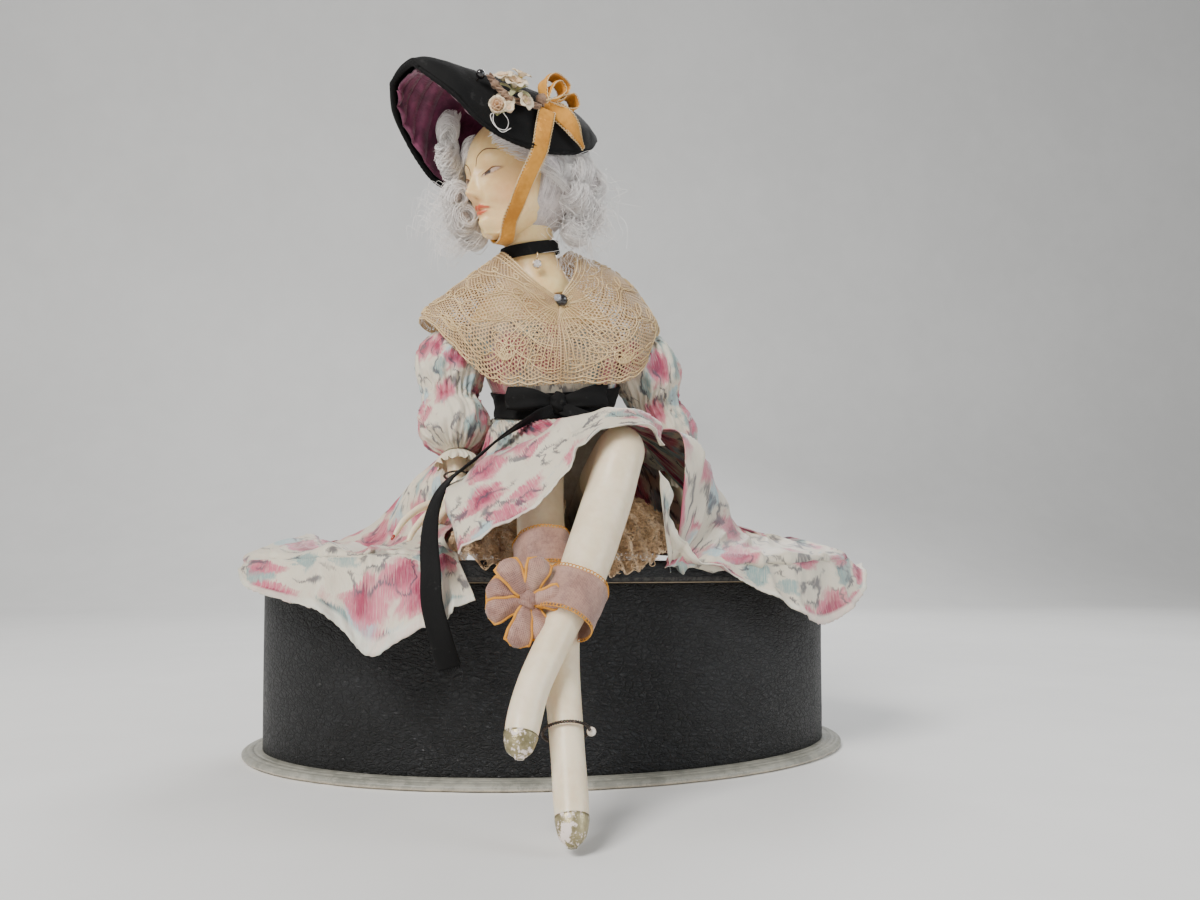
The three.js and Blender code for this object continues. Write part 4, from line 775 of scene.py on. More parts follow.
def painted(b, ground):
    """A colour with the paint of each place over it."""
    colour, amount = tint_of(b)
    return b.mix(amount, ground, colour)


def clouded(b, size, light, dark):
    """Cloudy colour over a piece, between a light and a dark one."""
    return b.effect("Cloudy colour", {
        "Place": object_place(b), "Size": size, "Light": light, "Dark": dark,
    })


def worn(b, size, share):
    """Rubbed patches over a piece."""
    return b.effect("Wear patches", {"Place": object_place(b), "Size": size, "Share": share})


def woven(b, threads_per_cm, unevenness):
    """Crossing threads over a cloth."""
    return b.effect("Thread weave", {
        "Place": cloth_place(b), "Threads": threads_per_cm, "Unevenness": unevenness,
    })


def brighter(colour, times, more):
    """A colour multiplied and raised, up to white."""
    return tuple(min(1, c * times + more) for c in colour)


def lid_with_painted_highlights(b, wear, colour):
    """The lid's colour with a painted highlight line round its lower edge, and its upper edge pale
    in worn patches that are partly painted highlight, by height in metres.
    """
    height = b.parts(object_place(b))[2]
    # painted highlight: a pale line round the rounded lower edge, where the light catches it
    line = b.times(b.between(height, 0.0637, 0.0641), b.between(height, 0.0654, 0.0649))
    pale = b.times(line, b.between(wear["Fine"], 0.40, 0.6, 0.25, 1.0))
    # the upper edge is pale in the worn patches: partly real wear, partly painted highlight
    edge = b.times(b.between(height, 0.0690, 0.0701), wear["Mask"])
    colour = b.mix(b.times(pale, 0.55), colour, (0.30, 0.28, 0.25))
    return b.mix(b.times(edge, 0.4), colour, (0.13, 0.115, 0.10))


def make_box_finishes():
    """Black leather, painted base, board, lining paper and wire."""
    # the lid's leather is the same black leather painted lighter: painted light on the lid's lit
    # face
    for name, low, high, rough in (
        ("black_leather", (0.003, 0.0035, 0.0045), (0.010, 0.011, 0.013), 0.40),
        ("lid_leather_painted_light", (0.008, 0.009, 0.010), (0.026, 0.028, 0.030), 0.52),
    ):
        b = finish(name, {
            "Specular IOR Level": 0.5, "Coat Roughness": 0.36, "Coat Weight": 0.10,
        })
        cloth = cloth_place(b)
        grain = b.effect("Leather grain", {"Place": cloth, "Pebbles": 6.0})
        wear, cloud = worn(b, 90.0, 0.45), clouded(b, 45.0, high, low)
        colour = b.mix(b.times(grain["Crease"], wear["Mask"]), cloud["Color"], high)
        # the lid's leather also takes painted highlights along its edges
        if name == "lid_leather_painted_light":
            colour = lid_with_painted_highlights(b, wear, colour)
        dull = b.blend(grain["Height"], rough + 0.22, rough)
        broad = b.bump(b.noise(cloth, 1.6, 3.0), 0.0014, 0.4)
        b.show(colour, b.scaled(cloud["Cloud"], 0.08, dull),
               b.bump(grain["Height"], 0.0014, 1.0, broad))
    b = finish("painted_base", {"Specular IOR Level": 0.5})
    wear = worn(b, 260.0, 0.52)
    cloud = clouded(b, 60.0, (0.33, 0.325, 0.28), (0.20, 0.20, 0.17))
    low = b.between(b.parts(object_place(b))[2], 0.0016, 0.0006)
    cream = b.mix(wear["Fine"], (0.62, 0.50, 0.36), (0.80, 0.73, 0.60))
    colour = b.mix(b.times(low, b.blend(wear["Mask"], 0.5, 1.0)), cloud["Color"], cream)
    colour = b.mix(b.times(wear["Mask"], 0.3), colour, (0.46, 0.44, 0.37))
    b.show(colour, b.blend(wear["Mask"], 0.38, 0.6), b.bump(wear["Fine"], 0.00016, 0.6))
    for name, light, dark, rough, size in (
        ("board", (0.42, 0.34, 0.24), (0.28, 0.22, 0.15), 0.80, 180.0),
        ("lining_paper", (0.60, 0.52, 0.42), (0.47, 0.38, 0.30), 0.75, 90.0),
    ):
        b = finish(name, {"Specular IOR Level": 0.25})
        cloud = clouded(b, size, light, dark)
        fibres = b.noise(b.moved(object_place(b), (1, 5, 5)), 600.0, 3.0)
        b.show(cloud["Color"], b.scaled(cloud["Cloud"], 0.1, rough), b.bump(fibres, 0.0002, 0.6))
    for name, colour, rough in (
        ("wire", (0.20, 0.19, 0.18), 0.30), ("dark_wire", (0.060, 0.048, 0.042), 0.26),
        ("gilt", (0.62, 0.47, 0.27), 0.23),
    ):
        b = finish(name, {"Metallic": 1.0})
        wear = worn(b, 500.0, 0.5)
        b.show(b.mix(wear["Mask"], colour, brighter(colour, 1.5, 0.03)),
               b.scaled(wear["Fine"], 0.25, rough), b.bump(wear["Fine"], 0.00008, 0.4))


def make_wax_finishes():
    """Wax with its painted places, shoe paint, mohair, and a darker mohair that is painted shade
    for the bodies under the strands.
    """
    for name, light, dark in (
        ("wax", (0.92, 0.69, 0.35), (0.83, 0.56, 0.25)),
        ("pale_wax", (0.90, 0.78, 0.58), (0.80, 0.66, 0.46)),
    ):
        b = finish(name, {
            "Subsurface Weight": 0.30, "Subsurface Radius": (1.0, 0.55, 0.28),
            "Subsurface Scale": 0.0022, "Coat Weight": 0.10, "Coat Roughness": 0.30,
            "Specular IOR Level": 0.42,
        })
        place = object_place(b)
        swell = b.bump(b.noise(place, 160.0, 3.0), 0.0006, 0.35)
        b.show(painted(b, clouded(b, 70.0, light, dark)["Color"]),
               b.scaled(worn(b, 330.0, 0.36)["Fine"], 0.28, 0.22),
               b.bump(b.noise(place, 1500.0, 3.0), 0.00005, 0.5, swell))
    b = finish("shoe_paint", {
        "Specular IOR Level": 0.5, "Coat Weight": 0.12, "Coat Roughness": 0.25,
    })
    cloud = clouded(b, 140.0, (0.42, 0.36, 0.20), (0.20, 0.17, 0.085))
    wear = worn(b, 170.0, 0.52)
    b.put(b.shader.inputs["Metallic"], b.blend(wear["Mask"], 0.55, 0.0))
    b.show(b.mix(wear["Mask"], cloud["Color"], (0.80, 0.69, 0.63)),
           b.blend(wear["Mask"], 0.36, 0.6), b.bump(wear["Fine"], 0.0002, 0.6))
    # the second mohair is painted shade: the same white hair made darker for the bodies deep under
    # the strands
    for name, light, dark in (
        ("mohair", (0.97, 0.95, 0.92), (0.84, 0.79, 0.77)),
        ("painted_shade_hair", (0.70, 0.64, 0.62), (0.38, 0.33, 0.33)),
    ):
        b = finish(name, {
            "Specular IOR Level": 0.5, "Sheen Weight": 0.2, "Sheen Roughness": 0.4,
        })
        strand = b.noise(b.moved(cloth_place(b), (26.0, 1.0, 1.0)), 1.0, 3.0)
        colour = clouded(b, 210.0, light, dark)["Color"]
        b.show(b.mix(b.between(strand, 0.42, 0.70), colour, light),
               b.scaled(strand, 0.3, 0.30), b.bump(strand, 0.0006, 0.9))


def make_cloth_finishes():
    """Printed silk, lace, velvet, organza and the plainer cloths."""
    b = finish("printed_silk", {
        "Sheen Weight": 0.25, "Sheen Roughness": 0.35, "Specular IOR Level": 0.45,
        "Subsurface Weight": 0.06, "Subsurface Scale": 0.001,
    })
    place = cloth_place(b)
    look = bpy.context.scene.wax_doll_finish
    printed = b.effect("Warp-printed flowers", {
        "Place": place, "Ground": tuple(look.ground_colour), "Petal": tuple(look.petal_colour),
    })
    weave = woven(b, 34.0, 0.9)
    age = b.between(b.noise(object_place(b), 55.0, 4.0), 0.52, 0.75, 0.0, 0.22)
    creases = b.bump(b.noise(b.moved(place, (3.2, 0.9, 1)), 1.0, 4.0, 0.6), 0.0011, 0.45)
    b.show(b.mix(age, painted(b, printed["Color"]), (0.66, 0.56, 0.38)),
           b.scaled(weave["Slub"], 0.35, 0.28), b.bump(weave["Height"], 0.00016, 0.5, creases))
    b = finish("net_lace", {"Sheen Weight": 0.3, "Specular IOR Level": 0.3}, True)
    thread = b.effect("Six-sided net", {
        "Place": cloth_place(b), "Hole": 0.13, "Thread": 0.40,
    })["Thread"]
    cloud = clouded(b, 100.0, (0.66, 0.47, 0.27), (0.48, 0.31, 0.15))
    b.show(painted(b, cloud["Color"]), b.scaled(cloud["Cloud"], 0.15, 0.6),
           b.bump(thread, 0.0002, 0.6), b.math("MAXIMUM", thread, tint_of(b)[1], clamp=True))
    b = finish("coarse_lace", {"Sheen Weight": 0.2, "Specular IOR Level": 0.25}, True)
    place = cloth_place(b)
    curls = b.cells(place, 9.0, 1.0, "DISTANCE_TO_EDGE").outputs[0]
    loops = b.noise(place, 13.0, 3.0, 0.7, 1.2)
    wander = b.math("ABSOLUTE", b.minus(loops, 0.5))
    thread = b.math("MAXIMUM", b.between(curls, 0.10, 0.04), b.between(wander, 0.075, 0.035))
    colour = clouded(b, 150.0, (0.92, 0.68, 0.44), (0.68, 0.46, 0.26))["Color"]
    b.show(colour, b.scaled(loops, 0.3, 0.6), b.bump(thread, 0.0006, 0.8),
           b.math("MAXIMUM", thread, tint_of(b)[1], clamp=True))
    for name, light, dark, sheen, nap in (
        ("black_velvet", (0.0055, 0.0055, 0.0055), (0.0015, 0.0015, 0.0018), 0.10, 1800.0),
        ("gold_velvet", (0.70, 0.33, 0.06), (0.50, 0.20, 0.028), 0.30, 2200.0),
        ("cord_silk", (0.80, 0.62, 0.36), (0.62, 0.44, 0.22), 0.2, 1800.0),
        ("lace_thread", (0.90, 0.66, 0.42), (0.66, 0.45, 0.25), 0.2, 1800.0),
        ("brow_paint", (0.20, 0.10, 0.05), (0.12, 0.055, 0.03), 0.0, 1800.0),
    ):
        b = finish(name, {
            "Sheen Weight": sheen, "Sheen Roughness": 0.45, "Specular IOR Level": 0.2,
            "Sheen Tint": brighter(light, 1.6, 0.25),
        })
        cloud, rubbed = clouded(b, 75.0, light, dark), b.times(worn(b, 140.0, 0.34)["Mask"], 0.6)
        b.show(painted(b, b.mix(rubbed, cloud["Color"], brighter(light, 1.2, 0.014))),
               b.scaled(cloud["Cloud"], 0.12, 0.72),
               b.bump(b.noise(object_place(b), nap, 2.0), 0.0002, 0.55))
    b = finish("organza", {"Sheen Weight": 0.4, "Specular IOR Level": 0.5}, True)
    weave = woven(b, 26.0, 1.0)
    colour = clouded(b, 130.0, (0.50, 0.29, 0.22), (0.30, 0.155, 0.125))["Color"]
    b.show(colour, b.scaled(weave["Slub"], 0.3, 0.3), b.bump(weave["Height"], 0.0002, 0.5),
           b.between(weave["Height"], -0.25, 0.35, 0.50, 0.90))
    for name, light, dark, count, rough in (
        ("plum_silk", (0.20, 0.035, 0.095), (0.085, 0.012, 0.04), 30.0, 0.22),
        ("muslin", (0.66, 0.60, 0.48), (0.52, 0.45, 0.33), 14.0, 0.7),
        ("cloth_flower", (0.80, 0.64, 0.42), (0.60, 0.42, 0.24), 20.0, 0.5),
        ("dried_stem", (0.35, 0.22, 0.14), (0.18, 0.10, 0.06), 12.0, 0.55),
    ):
        b = finish(name, {"Sheen Weight": 0.3, "Specular IOR Level": 0.35})
        weave, cloud = woven(b, count, 0.8), clouded(b, 160.0, light, dark)
        b.show(painted(b, cloud["Color"]), b.scaled(weave["Slub"], 0.25, rough),
               b.bump(weave["Height"], 0.0002, 0.5))


def make_jewel_finishes():
    """Black glass, clear stones, a bead and nail paint."""
    for name, light, dark, rough, through in (
        ("black_glass", (0.014, 0.012, 0.014), (0.004, 0.004, 0.005), 0.06, 0.0),
        ("rhinestone", (0.90, 0.90, 0.92), (0.62, 0.66, 0.72), 0.04, 0.55),
        ("pearl_bead", (0.85, 0.80, 0.72), (0.70, 0.60, 0.50), 0.22, 0.0),
        ("nail_paint", (0.42, 0.05, 0.03), (0.26, 0.02, 0.015), 0.24, 0.0),
    ):
        b = finish(name, {
            "Transmission Weight": through, "Coat Weight": 0.5, "Coat Roughness": 0.05,
            "IOR": 1.55,
        })
        cloud = clouded(b, 700.0, light, dark)
        b.show(cloud["Color"], b.scaled(cloud["Cloud"], 0.08, rough),
               b.bump(b.noise(object_place(b), 900.0), 0.00005, 0.3))


def make_floor_finish():
    """Pale matt paper under the box."""
    b = finish("floor_paper", {"Specular IOR Level": 0.3})
    cloud = clouded(b, 4.0, (0.86, 0.86, 0.85), (0.82, 0.82, 0.81))
    b.show(cloud["Color"], b.scaled(cloud["Cloud"], 0.1, 0.6))


def make_finishes():
    """Every shared effect, and then every finish."""
    for make in (
        make_weave_effect, make_wear_effect, make_grain_effect, make_net_effect,
        make_mottle_effect, make_print_effect, make_box_finishes, make_wax_finishes,
        make_cloth_finishes, make_jewel_finishes, make_floor_finish,
    ):
        make()


# Trees that carry a thread along paths, and a row of loops along an edge

TREES = {}


def new_tree(name, sockets):
    """A modifier's node tree with named inputs; gives its bench and inputs."""
    tree = bpy.data.node_groups.new(name, "GeometryNodeTree")
    tree.is_modifier = True
    tree.interface.new_socket("Geometry", in_out="INPUT", socket_type="NodeSocketGeometry")
    for socket, kind in sockets.items():
        tree.interface.new_socket(socket, in_out="INPUT", socket_type=kind)
    tree.interface.new_socket("Geometry", in_out="OUTPUT", socket_type="NodeSocketGeometry")
    TREES[name] = tree
    bench = Bench(tree)
    return bench, bench.add("NodeGroupInput").outputs


def end_tree(b, shape, cover):
    """Real faces with their finish, as a tree's result."""
    smoothed = b.add("GeometryNodeSetShadeSmooth", {0: shape}).outputs[0]
    real = b.add("GeometryNodeRealizeInstances", {0: smoothed}).outputs[0]
    covered = b.add("GeometryNodeSetMaterial", {0: real, "Material": cover}).outputs[0]
    b.put(b.add("NodeGroupOutput").inputs[0], covered)


def make_thread_tree():
    """A thread of a thickness along each path, thinner where the path says so."""
    b, given = new_tree("Thread along paths", {
        "Thickness": "NodeSocketFloat", "Sides": "NodeSocketInt", "Finish": "NodeSocketMaterial",
    })
    girth = b.add("GeometryNodeInputNamedAttribute", {"Name": "Girth"}, data_type="FLOAT")
    lines = b.add("GeometryNodeMeshToCurve", {0: given["Geometry"]}).outputs[0]
    sized = b.add("GeometryNodeSetCurveRadius", {0: lines, "Radius": girth.outputs[0]}).outputs[0]
    ring = b.add("GeometryNodeCurvePrimitiveCircle", {
        "Resolution": given["Sides"], "Radius": given["Thickness"],
    }).outputs[0]
    solid = b.add("GeometryNodeCurveToMesh", {0: sized, 1: ring, "Fill Caps": True})
    if "Scale" in solid.inputs:
        b.put(solid.inputs["Scale"], girth.outputs[0])
    end_tree(b, solid.outputs[0], given["Finish"])


def make_loop_tree():
    """Small thread loops that stand in a row along each path."""
    b, given = new_tree("Loops along paths", {
        "Loop": "NodeSocketFloat", "Thickness": "NodeSocketFloat", "Spacing": "NodeSocketFloat",
        "Finish": "NodeSocketMaterial",
    })
    lines = b.add("GeometryNodeMeshToCurve", {0: given["Geometry"]}).outputs[0]
    spots = b.add(
        "GeometryNodeResampleCurve", {"Curve": lines, "Length": given["Spacing"]}, mode="LENGTH"
    ).outputs[0]
    big = b.add("GeometryNodeCurvePrimitiveCircle", {
        "Resolution": 8, "Radius": given["Loop"],
    }).outputs[0]
    thin = b.add("GeometryNodeCurvePrimitiveCircle", {
        "Resolution": 4, "Radius": given["Thickness"],
    }).outputs[0]
    loop = b.add("GeometryNodeCurveToMesh", {0: big, 1: thin}).outputs[0]
    tangent = b.add("GeometryNodeInputTangent").outputs[0]
    out = b.add("GeometryNodeInputNamedAttribute", {"Name": "Out"}, data_type="FLOAT_VECTOR")
    first = b.add(
        "FunctionNodeAlignRotationToVector", {"Vector": tangent}, axis="X"
    ).outputs[0]
    both = b.add(
        "FunctionNodeAlignRotationToVector", {"Rotation": first, "Vector": out.outputs[0]},
        axis="Y", pivot_axis="X",
    ).outputs[0]
    placed = b.add("GeometryNodeInstanceOnPoints", {
        "Points": spots, "Instance": loop, "Rotation": both,
    }).outputs[0]
    end_tree(b, placed, given["Finish"])


def path_object(name, paths, girths=None, outs=None):
    """An object whose edges are paths, with a thickness and an outward direction on each
    place."""
    edges, base = [], 0
    for path in paths:
        edges.extend((base + i, base + i + 1) for i in range(len(path) - 1))
        base += len(path)
    mesh = bpy.data.meshes.new(name)
    mesh.from_pydata((np.concatenate(paths) * MM).tolist(), edges, [])
    girth = mesh.attributes.new("Girth", "FLOAT", "POINT")
    values = np.ones(base) if girths is None else np.concatenate(girths)
    girth.data.foreach_set("value", values.astype(np.float32))
    if outs is not None:
        out = mesh.attributes.new("Out", "FLOAT_VECTOR", "POINT")
        out.data.foreach_set("vector", np.concatenate(outs).astype(np.float32).ravel())
    return new_item(name, mesh)


def grown(item, tree, values):
    """Runs a tree on an object and keeps the result as its mesh."""
    modifier = item.modifiers.new("Grow", "NODES")
    modifier.node_group = TREES[tree]
    for socket in TREES[tree].interface.items_tree:
        if socket.name in values and socket.in_out == "INPUT":
            modifier[socket.identifier] = values[socket.name]
    item = baked(item)
    item.data.validate()
    return item


def threads(name, body, cover, paths, radius, sides, girths=None, slot=None):
    """Threads along paths as one piece."""
    item = grown(path_object(name, paths, girths), "Thread along paths", {
        "Thickness": radius * MM, "Sides": sides, "Finish": FINISHES[cover],
    })
    return settled(item, body)


def picots(name, body, cover, paths, outs, loop, radius, spacing):
    """A row of small thread loops along edges, as one piece."""
    item = grown(path_object(name, paths, outs=outs), "Loops along paths", {
        "Loop": loop * MM, "Thickness": radius * MM, "Spacing": spacing * MM,
        "Finish": FINISHES[cover],
    })
    return settled(item, body)


# The stage: camera, floor and lights

def make_camera():
    """The camera where the photograph was taken from."""
    yaw, pitch, roll = math.radians(-10.3), math.radians(1.3), math.radians(0.15)
    right = vec(math.cos(yaw), math.sin(yaw), 0)
    level = vec(-math.sin(yaw), math.cos(yaw), 0)
    forward = level * math.cos(pitch) + UP * math.sin(pitch)
    up = UP * math.cos(pitch) - level * math.sin(pitch)
    right, up = (
        right * math.cos(roll) + up * math.sin(roll),
        up * math.cos(roll) - right * math.sin(roll),
    )
    data = bpy.data.cameras.new("Camera")
    photo_wide, focal_pixels, horizon_drop = 1200, 906, 89
    data.sensor_width = 36
    data.lens = data.sensor_width * focal_pixels / photo_wide
    data.shift_y = horizon_drop / photo_wide
    data.clip_start = 0.01
    data.dof.use_dof = False
    camera = new_item("Camera", data)
    place = vec(-45.2, -348.2, 70.6) * MM
    camera.matrix_world = Matrix([
        (right[0], up[0], -forward[0], place[0]),
        (right[1], up[1], -forward[1], place[1]),
        (right[2], up[2], -forward[2], place[2]),
        (0, 0, 0, 1),
    ])
    bpy.context.scene.camera = camera


def make_light(name, place, target, size, power, colour):
    """A soft square light that faces a point."""
    data = bpy.data.lights.new(name, "AREA")
    data.size = size
    data.energy = power
    data.color = colour
    light = new_item(name, data)
    light.location = place
    light.rotation_euler = (Vector(target) - Vector(place)).to_track_quat("-Z", "Y").to_euler()


def make_stage():
    """Floor, lights and camera."""
    make_camera()
    make_light("Key light", (-0.75, -0.85, 0.95), (0, 0, 0.12), 0.55, 24, (1.0, 0.97, 0.93))
    make_light("Fill light", (0.95, -0.55, 0.45), (0, 0, 0.08), 0.5, 4.5, (0.90, 0.95, 1.0))
    make_light("Back light", (0.35, 0.9, 0.9), (0, 0, 0.15), 0.6, 8, (1.0, 1.0, 1.0))
    world = bpy.data.worlds.new("Soft room")
    world.use_nodes = True
    world.node_tree.nodes["Background"].inputs[0].default_value = (0.93, 0.94, 0.95, 1)
    world.node_tree.nodes["Background"].inputs[1].default_value = 0.36
    bpy.context.scene.world = world
    wall_at, sweep = 900.0, 500.0
    profile = [(-2500.0, 0.0), (wall_at, 0.0)]
    for a in np.linspace(0.1, 1.5, 12):
        profile.append((wall_at + sweep * math.sin(a), sweep - sweep * math.cos(a)))
    profile.append((wall_at + sweep, 2600.0))
    wide = np.linspace(-3000, 3000, 13)
    points = np.array([[vec(x, y, z) for x in wide] for y, z in profile])
    floor = new_item("floor", mesh_of("floor", [grid(points)]))
    floor.data.materials.append(FINISHES["floor_paper"])


# The box

def make_box():
    """Base plate, leather-covered wall, lid, and finishes for the board and paper inside."""
    sides = 220
    plate = rounded([
        (1.6, 0), (0, 0.8), (0, 1.9), (1.1, 2.6), (2.0, 2.62), (2.5, 3.0), (3.7, 3.05),
        (4.1, 2.75), (4.6, 2.78), (5.0, 3.0), (6.6, 3.0),
    ], 0.35, 3, joined=False)
    low = [(inset, 0.0) for inset in (60, 30, 8)]
    top = [(inset, 3.0) for inset in (9, 30, 60)]
    rows = oval_turn(low + plate.tolist() + top, sides, BASE_HALF)
    chips = np.maximum(ripple(rows, 7, 4), 0) * bell(rows[..., 2], 0.5, 0.5) * 0.35
    middle = rows.mean(1, keepdims=True)
    rows += unit(middle - rows) * chips[..., None]
    piece("base_board", "box", "painted_base", closed(rows),
          stands_for=["base_plate"])

    angle = whole_turn(260)
    height = np.linspace(3.0, 63.0, 46)
    half_x, half_y = WALL_HALF
    wall_x, wall_y = half_x * np.cos(angle), half_y * np.sin(angle)
    out = unit(np.stack([wall_x / half_x**2, wall_y / half_y**2, 0 * angle], -1))
    face = np.stack(np.broadcast_arrays(wall_x, wall_y, height[:, None]), -1)
    outer = face.copy()
    seam = math.radians(-34.06)
    off = (np.mod(angle - seam + np.pi, 2 * np.pi) - np.pi) * 92
    dip = -0.55 * bell(off, 0, 0.55) - 0.12 * smooth(9, 0.5, off) * (off > 0)
    wave = 0.14 * (ripple(outer * vec(1, 1, 0.5), 34, 11) - 1)
    outer += out * (dip + np.minimum(wave, 0))[..., None]
    inner = face - out * 0.8
    piece("leather_wall", "box", "black_leather",
          grid(np.concatenate([outer, inner[::-1]]), around=True, looped=True,
               cut=(55.4, 12.1)).outward(),
          stands_for=["leather_cover"])

    cover = rounded([
        (6.4, 68.9), (1.0, 68.9), (1.0, 63.35), (0.0, 64.4), (0.0, 70.3), (6.4, 70.3),
    ], 1.6, 6, joined=False)
    rows = oval_turn(cover, sides, LID_HALF)
    rows[..., 2] += 0.05 * (ripple(rows, 26, 7) - 1) * (rows[..., 2] > 69.5)
    hole = [(share, 70.3) for share in (0.62, 0.3, 0.1, 0.0)]
    hole += [(share, 68.9) for share in (0.0, 0.3, 0.62)]
    turn = whole_turn(sides)
    inside = np.array([[
        vec((1.7 * (1 - s) + 105.6 * s) * math.cos(a),
            4 * (1 - s) + (1.7 * (1 - s) + 67.4 * s) * math.sin(a), z) for a in turn
    ] for s, z in hole])
    # the lid's leather is painted lighter than the wall's, as painted light, with painted
    # highlights on its edges
    piece("lid", "doll", "lid_leather_painted_light",
          grid(np.concatenate([rows, inside]), around=True, looped=True).outward(),
          stands_for=["lid_cover"])
    paint("board", "wall_core", "lid_core", "lid_collar")
    paint("lining_paper", "floor_lining")
    paint("wire", "anchor_washer", "spine_wire", "shoulder_wire", "right_leg_wire", "left_leg_wire")


# The stuffed body under the dress

# rows of (height over the lid, x, y, half width, half depth)
BODY_SECTIONS = np.array([
    [0.3, 0, 4, 23.2, 16.3], [6, 0, 4, 27, 19], [24, 0, 3, 26.5, 18.6], [44, 0, 2, 21.3, 15.7],
    [52, 0, 1, 19.1, 14.4], [60, 0, 0, 18.5, 14], [70, -1, 0, 22.1, 14.25], [80, -2, 1, 24, 15],
    [90, -4, 2, 26, 11], [97, -5, 2, 18.7, 8.8],
], float)
RIGHT_HIP, LEFT_HIP = over(-12, -8, 13), over(13, -8, 15)
RIGHT_KNEE, LEFT_KNEE = over(-13, -66, 26), over(10, -79, 33)
LEG_RADII = np.array([
    [9.66, 9.66], [7.4, 8], [7.25, 7.4], [6.7, 6.7], [4.9, 5.4], [4.4, 4.6], [4.2, 4], [2.44, 1.9],
])
RIGHT_SHIN = np.array([
    [-14, -77.9, 77.5], [-12.4, -96.3, 54.1], [-11.8, -108.1, 38.1], [-12, -121.1, 21.2],
    [-12.4, -130.6, 9.0], [-13, -135.5, 2.6],
])
LEFT_SHIN = np.array([
    [4, -88.1, 87.2], [-5, -100.7, 67], [-12.1, -109.3, 53.3], [-20.4, -118.4, 38.7],
    [-24.2, -126, 28.2], [-25, -129.5, 22.6],
])


def body_rings(heights, add, sides=64):
    """Rings round the body at heights over the lid, with a distance added all round."""
    x, y, wide, deep = (
        np.interp(heights, BODY_SECTIONS[:, 0], BODY_SECTIONS[:, k]) for k in range(1, 5)
    )
    angle = whole_turn(sides)
    return np.stack([
        x[:, None] + (wide[:, None] + add) * np.cos(angle),
        y[:, None] + (deep[:, None] + add) * np.sin(angle),
        SEAT_TOP + heights[:, None] + 0 * angle,
    ], -1)


def make_stuffed_body():
    """Torso, thighs and upper arms of stuffed muslin, with their seams."""
    heights = np.concatenate([[0.3, 1.2, 3], np.linspace(6, 92, 60), [95, 97]])
    rows = body_rings(heights, -0.25)
    angle = whole_turn(64)
    seam = np.maximum(bell(angle, 0, 0.05), bell(angle, np.pi, 0.05))
    middle = rows.mean(1, keepdims=True)
    rows += (middle - rows) * (0.03 * seam)[None, :, None]
    rows += unit(middle - rows) * (0.2 * (ripple(rows, 9, 3) + 1))[..., None] * 0.5
    item = piece("stuffed_torso", "doll", "muslin",
                 closed(rows), ["torso"])
    for side, hip, knee in (("right", RIGHT_HIP, RIGHT_KNEE), ("left", LEFT_HIP, LEFT_KNEE)):
        low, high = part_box(f"{side}_thigh")
        path = np.array([hip * (1 - s) + knee * s for s in np.linspace(-0.02, 0.62, 30)])
        t = shares(30)
        radius = 9.4 * np.sqrt(np.clip(1 - ((t - 0.5) * 1.94) ** 8, 0.03, 1))
        path[:, 2] = np.maximum(path[:, 2], low[2] / MM + radius)
        rows = rings(path, radius, radius, (1, 0, 0), 40,
                     lambda u, a: 1 - 0.04 * bell(np.mod(a, 2 * np.pi), np.pi * 1.5, 0.12) - 0.015)
        item = piece(f"stuffed_{side}_thigh", "doll", "muslin",
                     closed(rows), [f"{side}_thigh"])
    for side, top, elbow in (
        ("right", over(-37, 1, 90), over(-39, -4, 61)), ("left", over(31, 3, 92), over(41, 6, 62)),
    ):
        low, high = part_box(f"{side}_upper_arm")
        radius = min(min(high[0] - low[0], high[1] - low[1]) / MM / 2 - 0.6, 4.6)
        path = np.array([top * (1 - s) + elbow * s for s in shares(24)])
        t = shares(24)
        size = radius * np.sqrt(np.clip(1 - ((t - 0.5) * 1.9) ** 6, 0.05, 1))
        rows = rings(path, size, size, (0, 1, 0), 28)
        item = piece(f"stuffed_{side}_upper_arm", f"{side}_arm", "muslin",
                     closed(rows), [f"{side}_upper_arm"])


# Wax legs with their painted shoes

def leg_path(hip, knee, shin, t):
    """Places down a leg, from its cut end under the dress to the toe."""
    stump = hip * 0.45 + knee * 0.55
    return curve(np.concatenate([[stump], [knee], shin]), t)


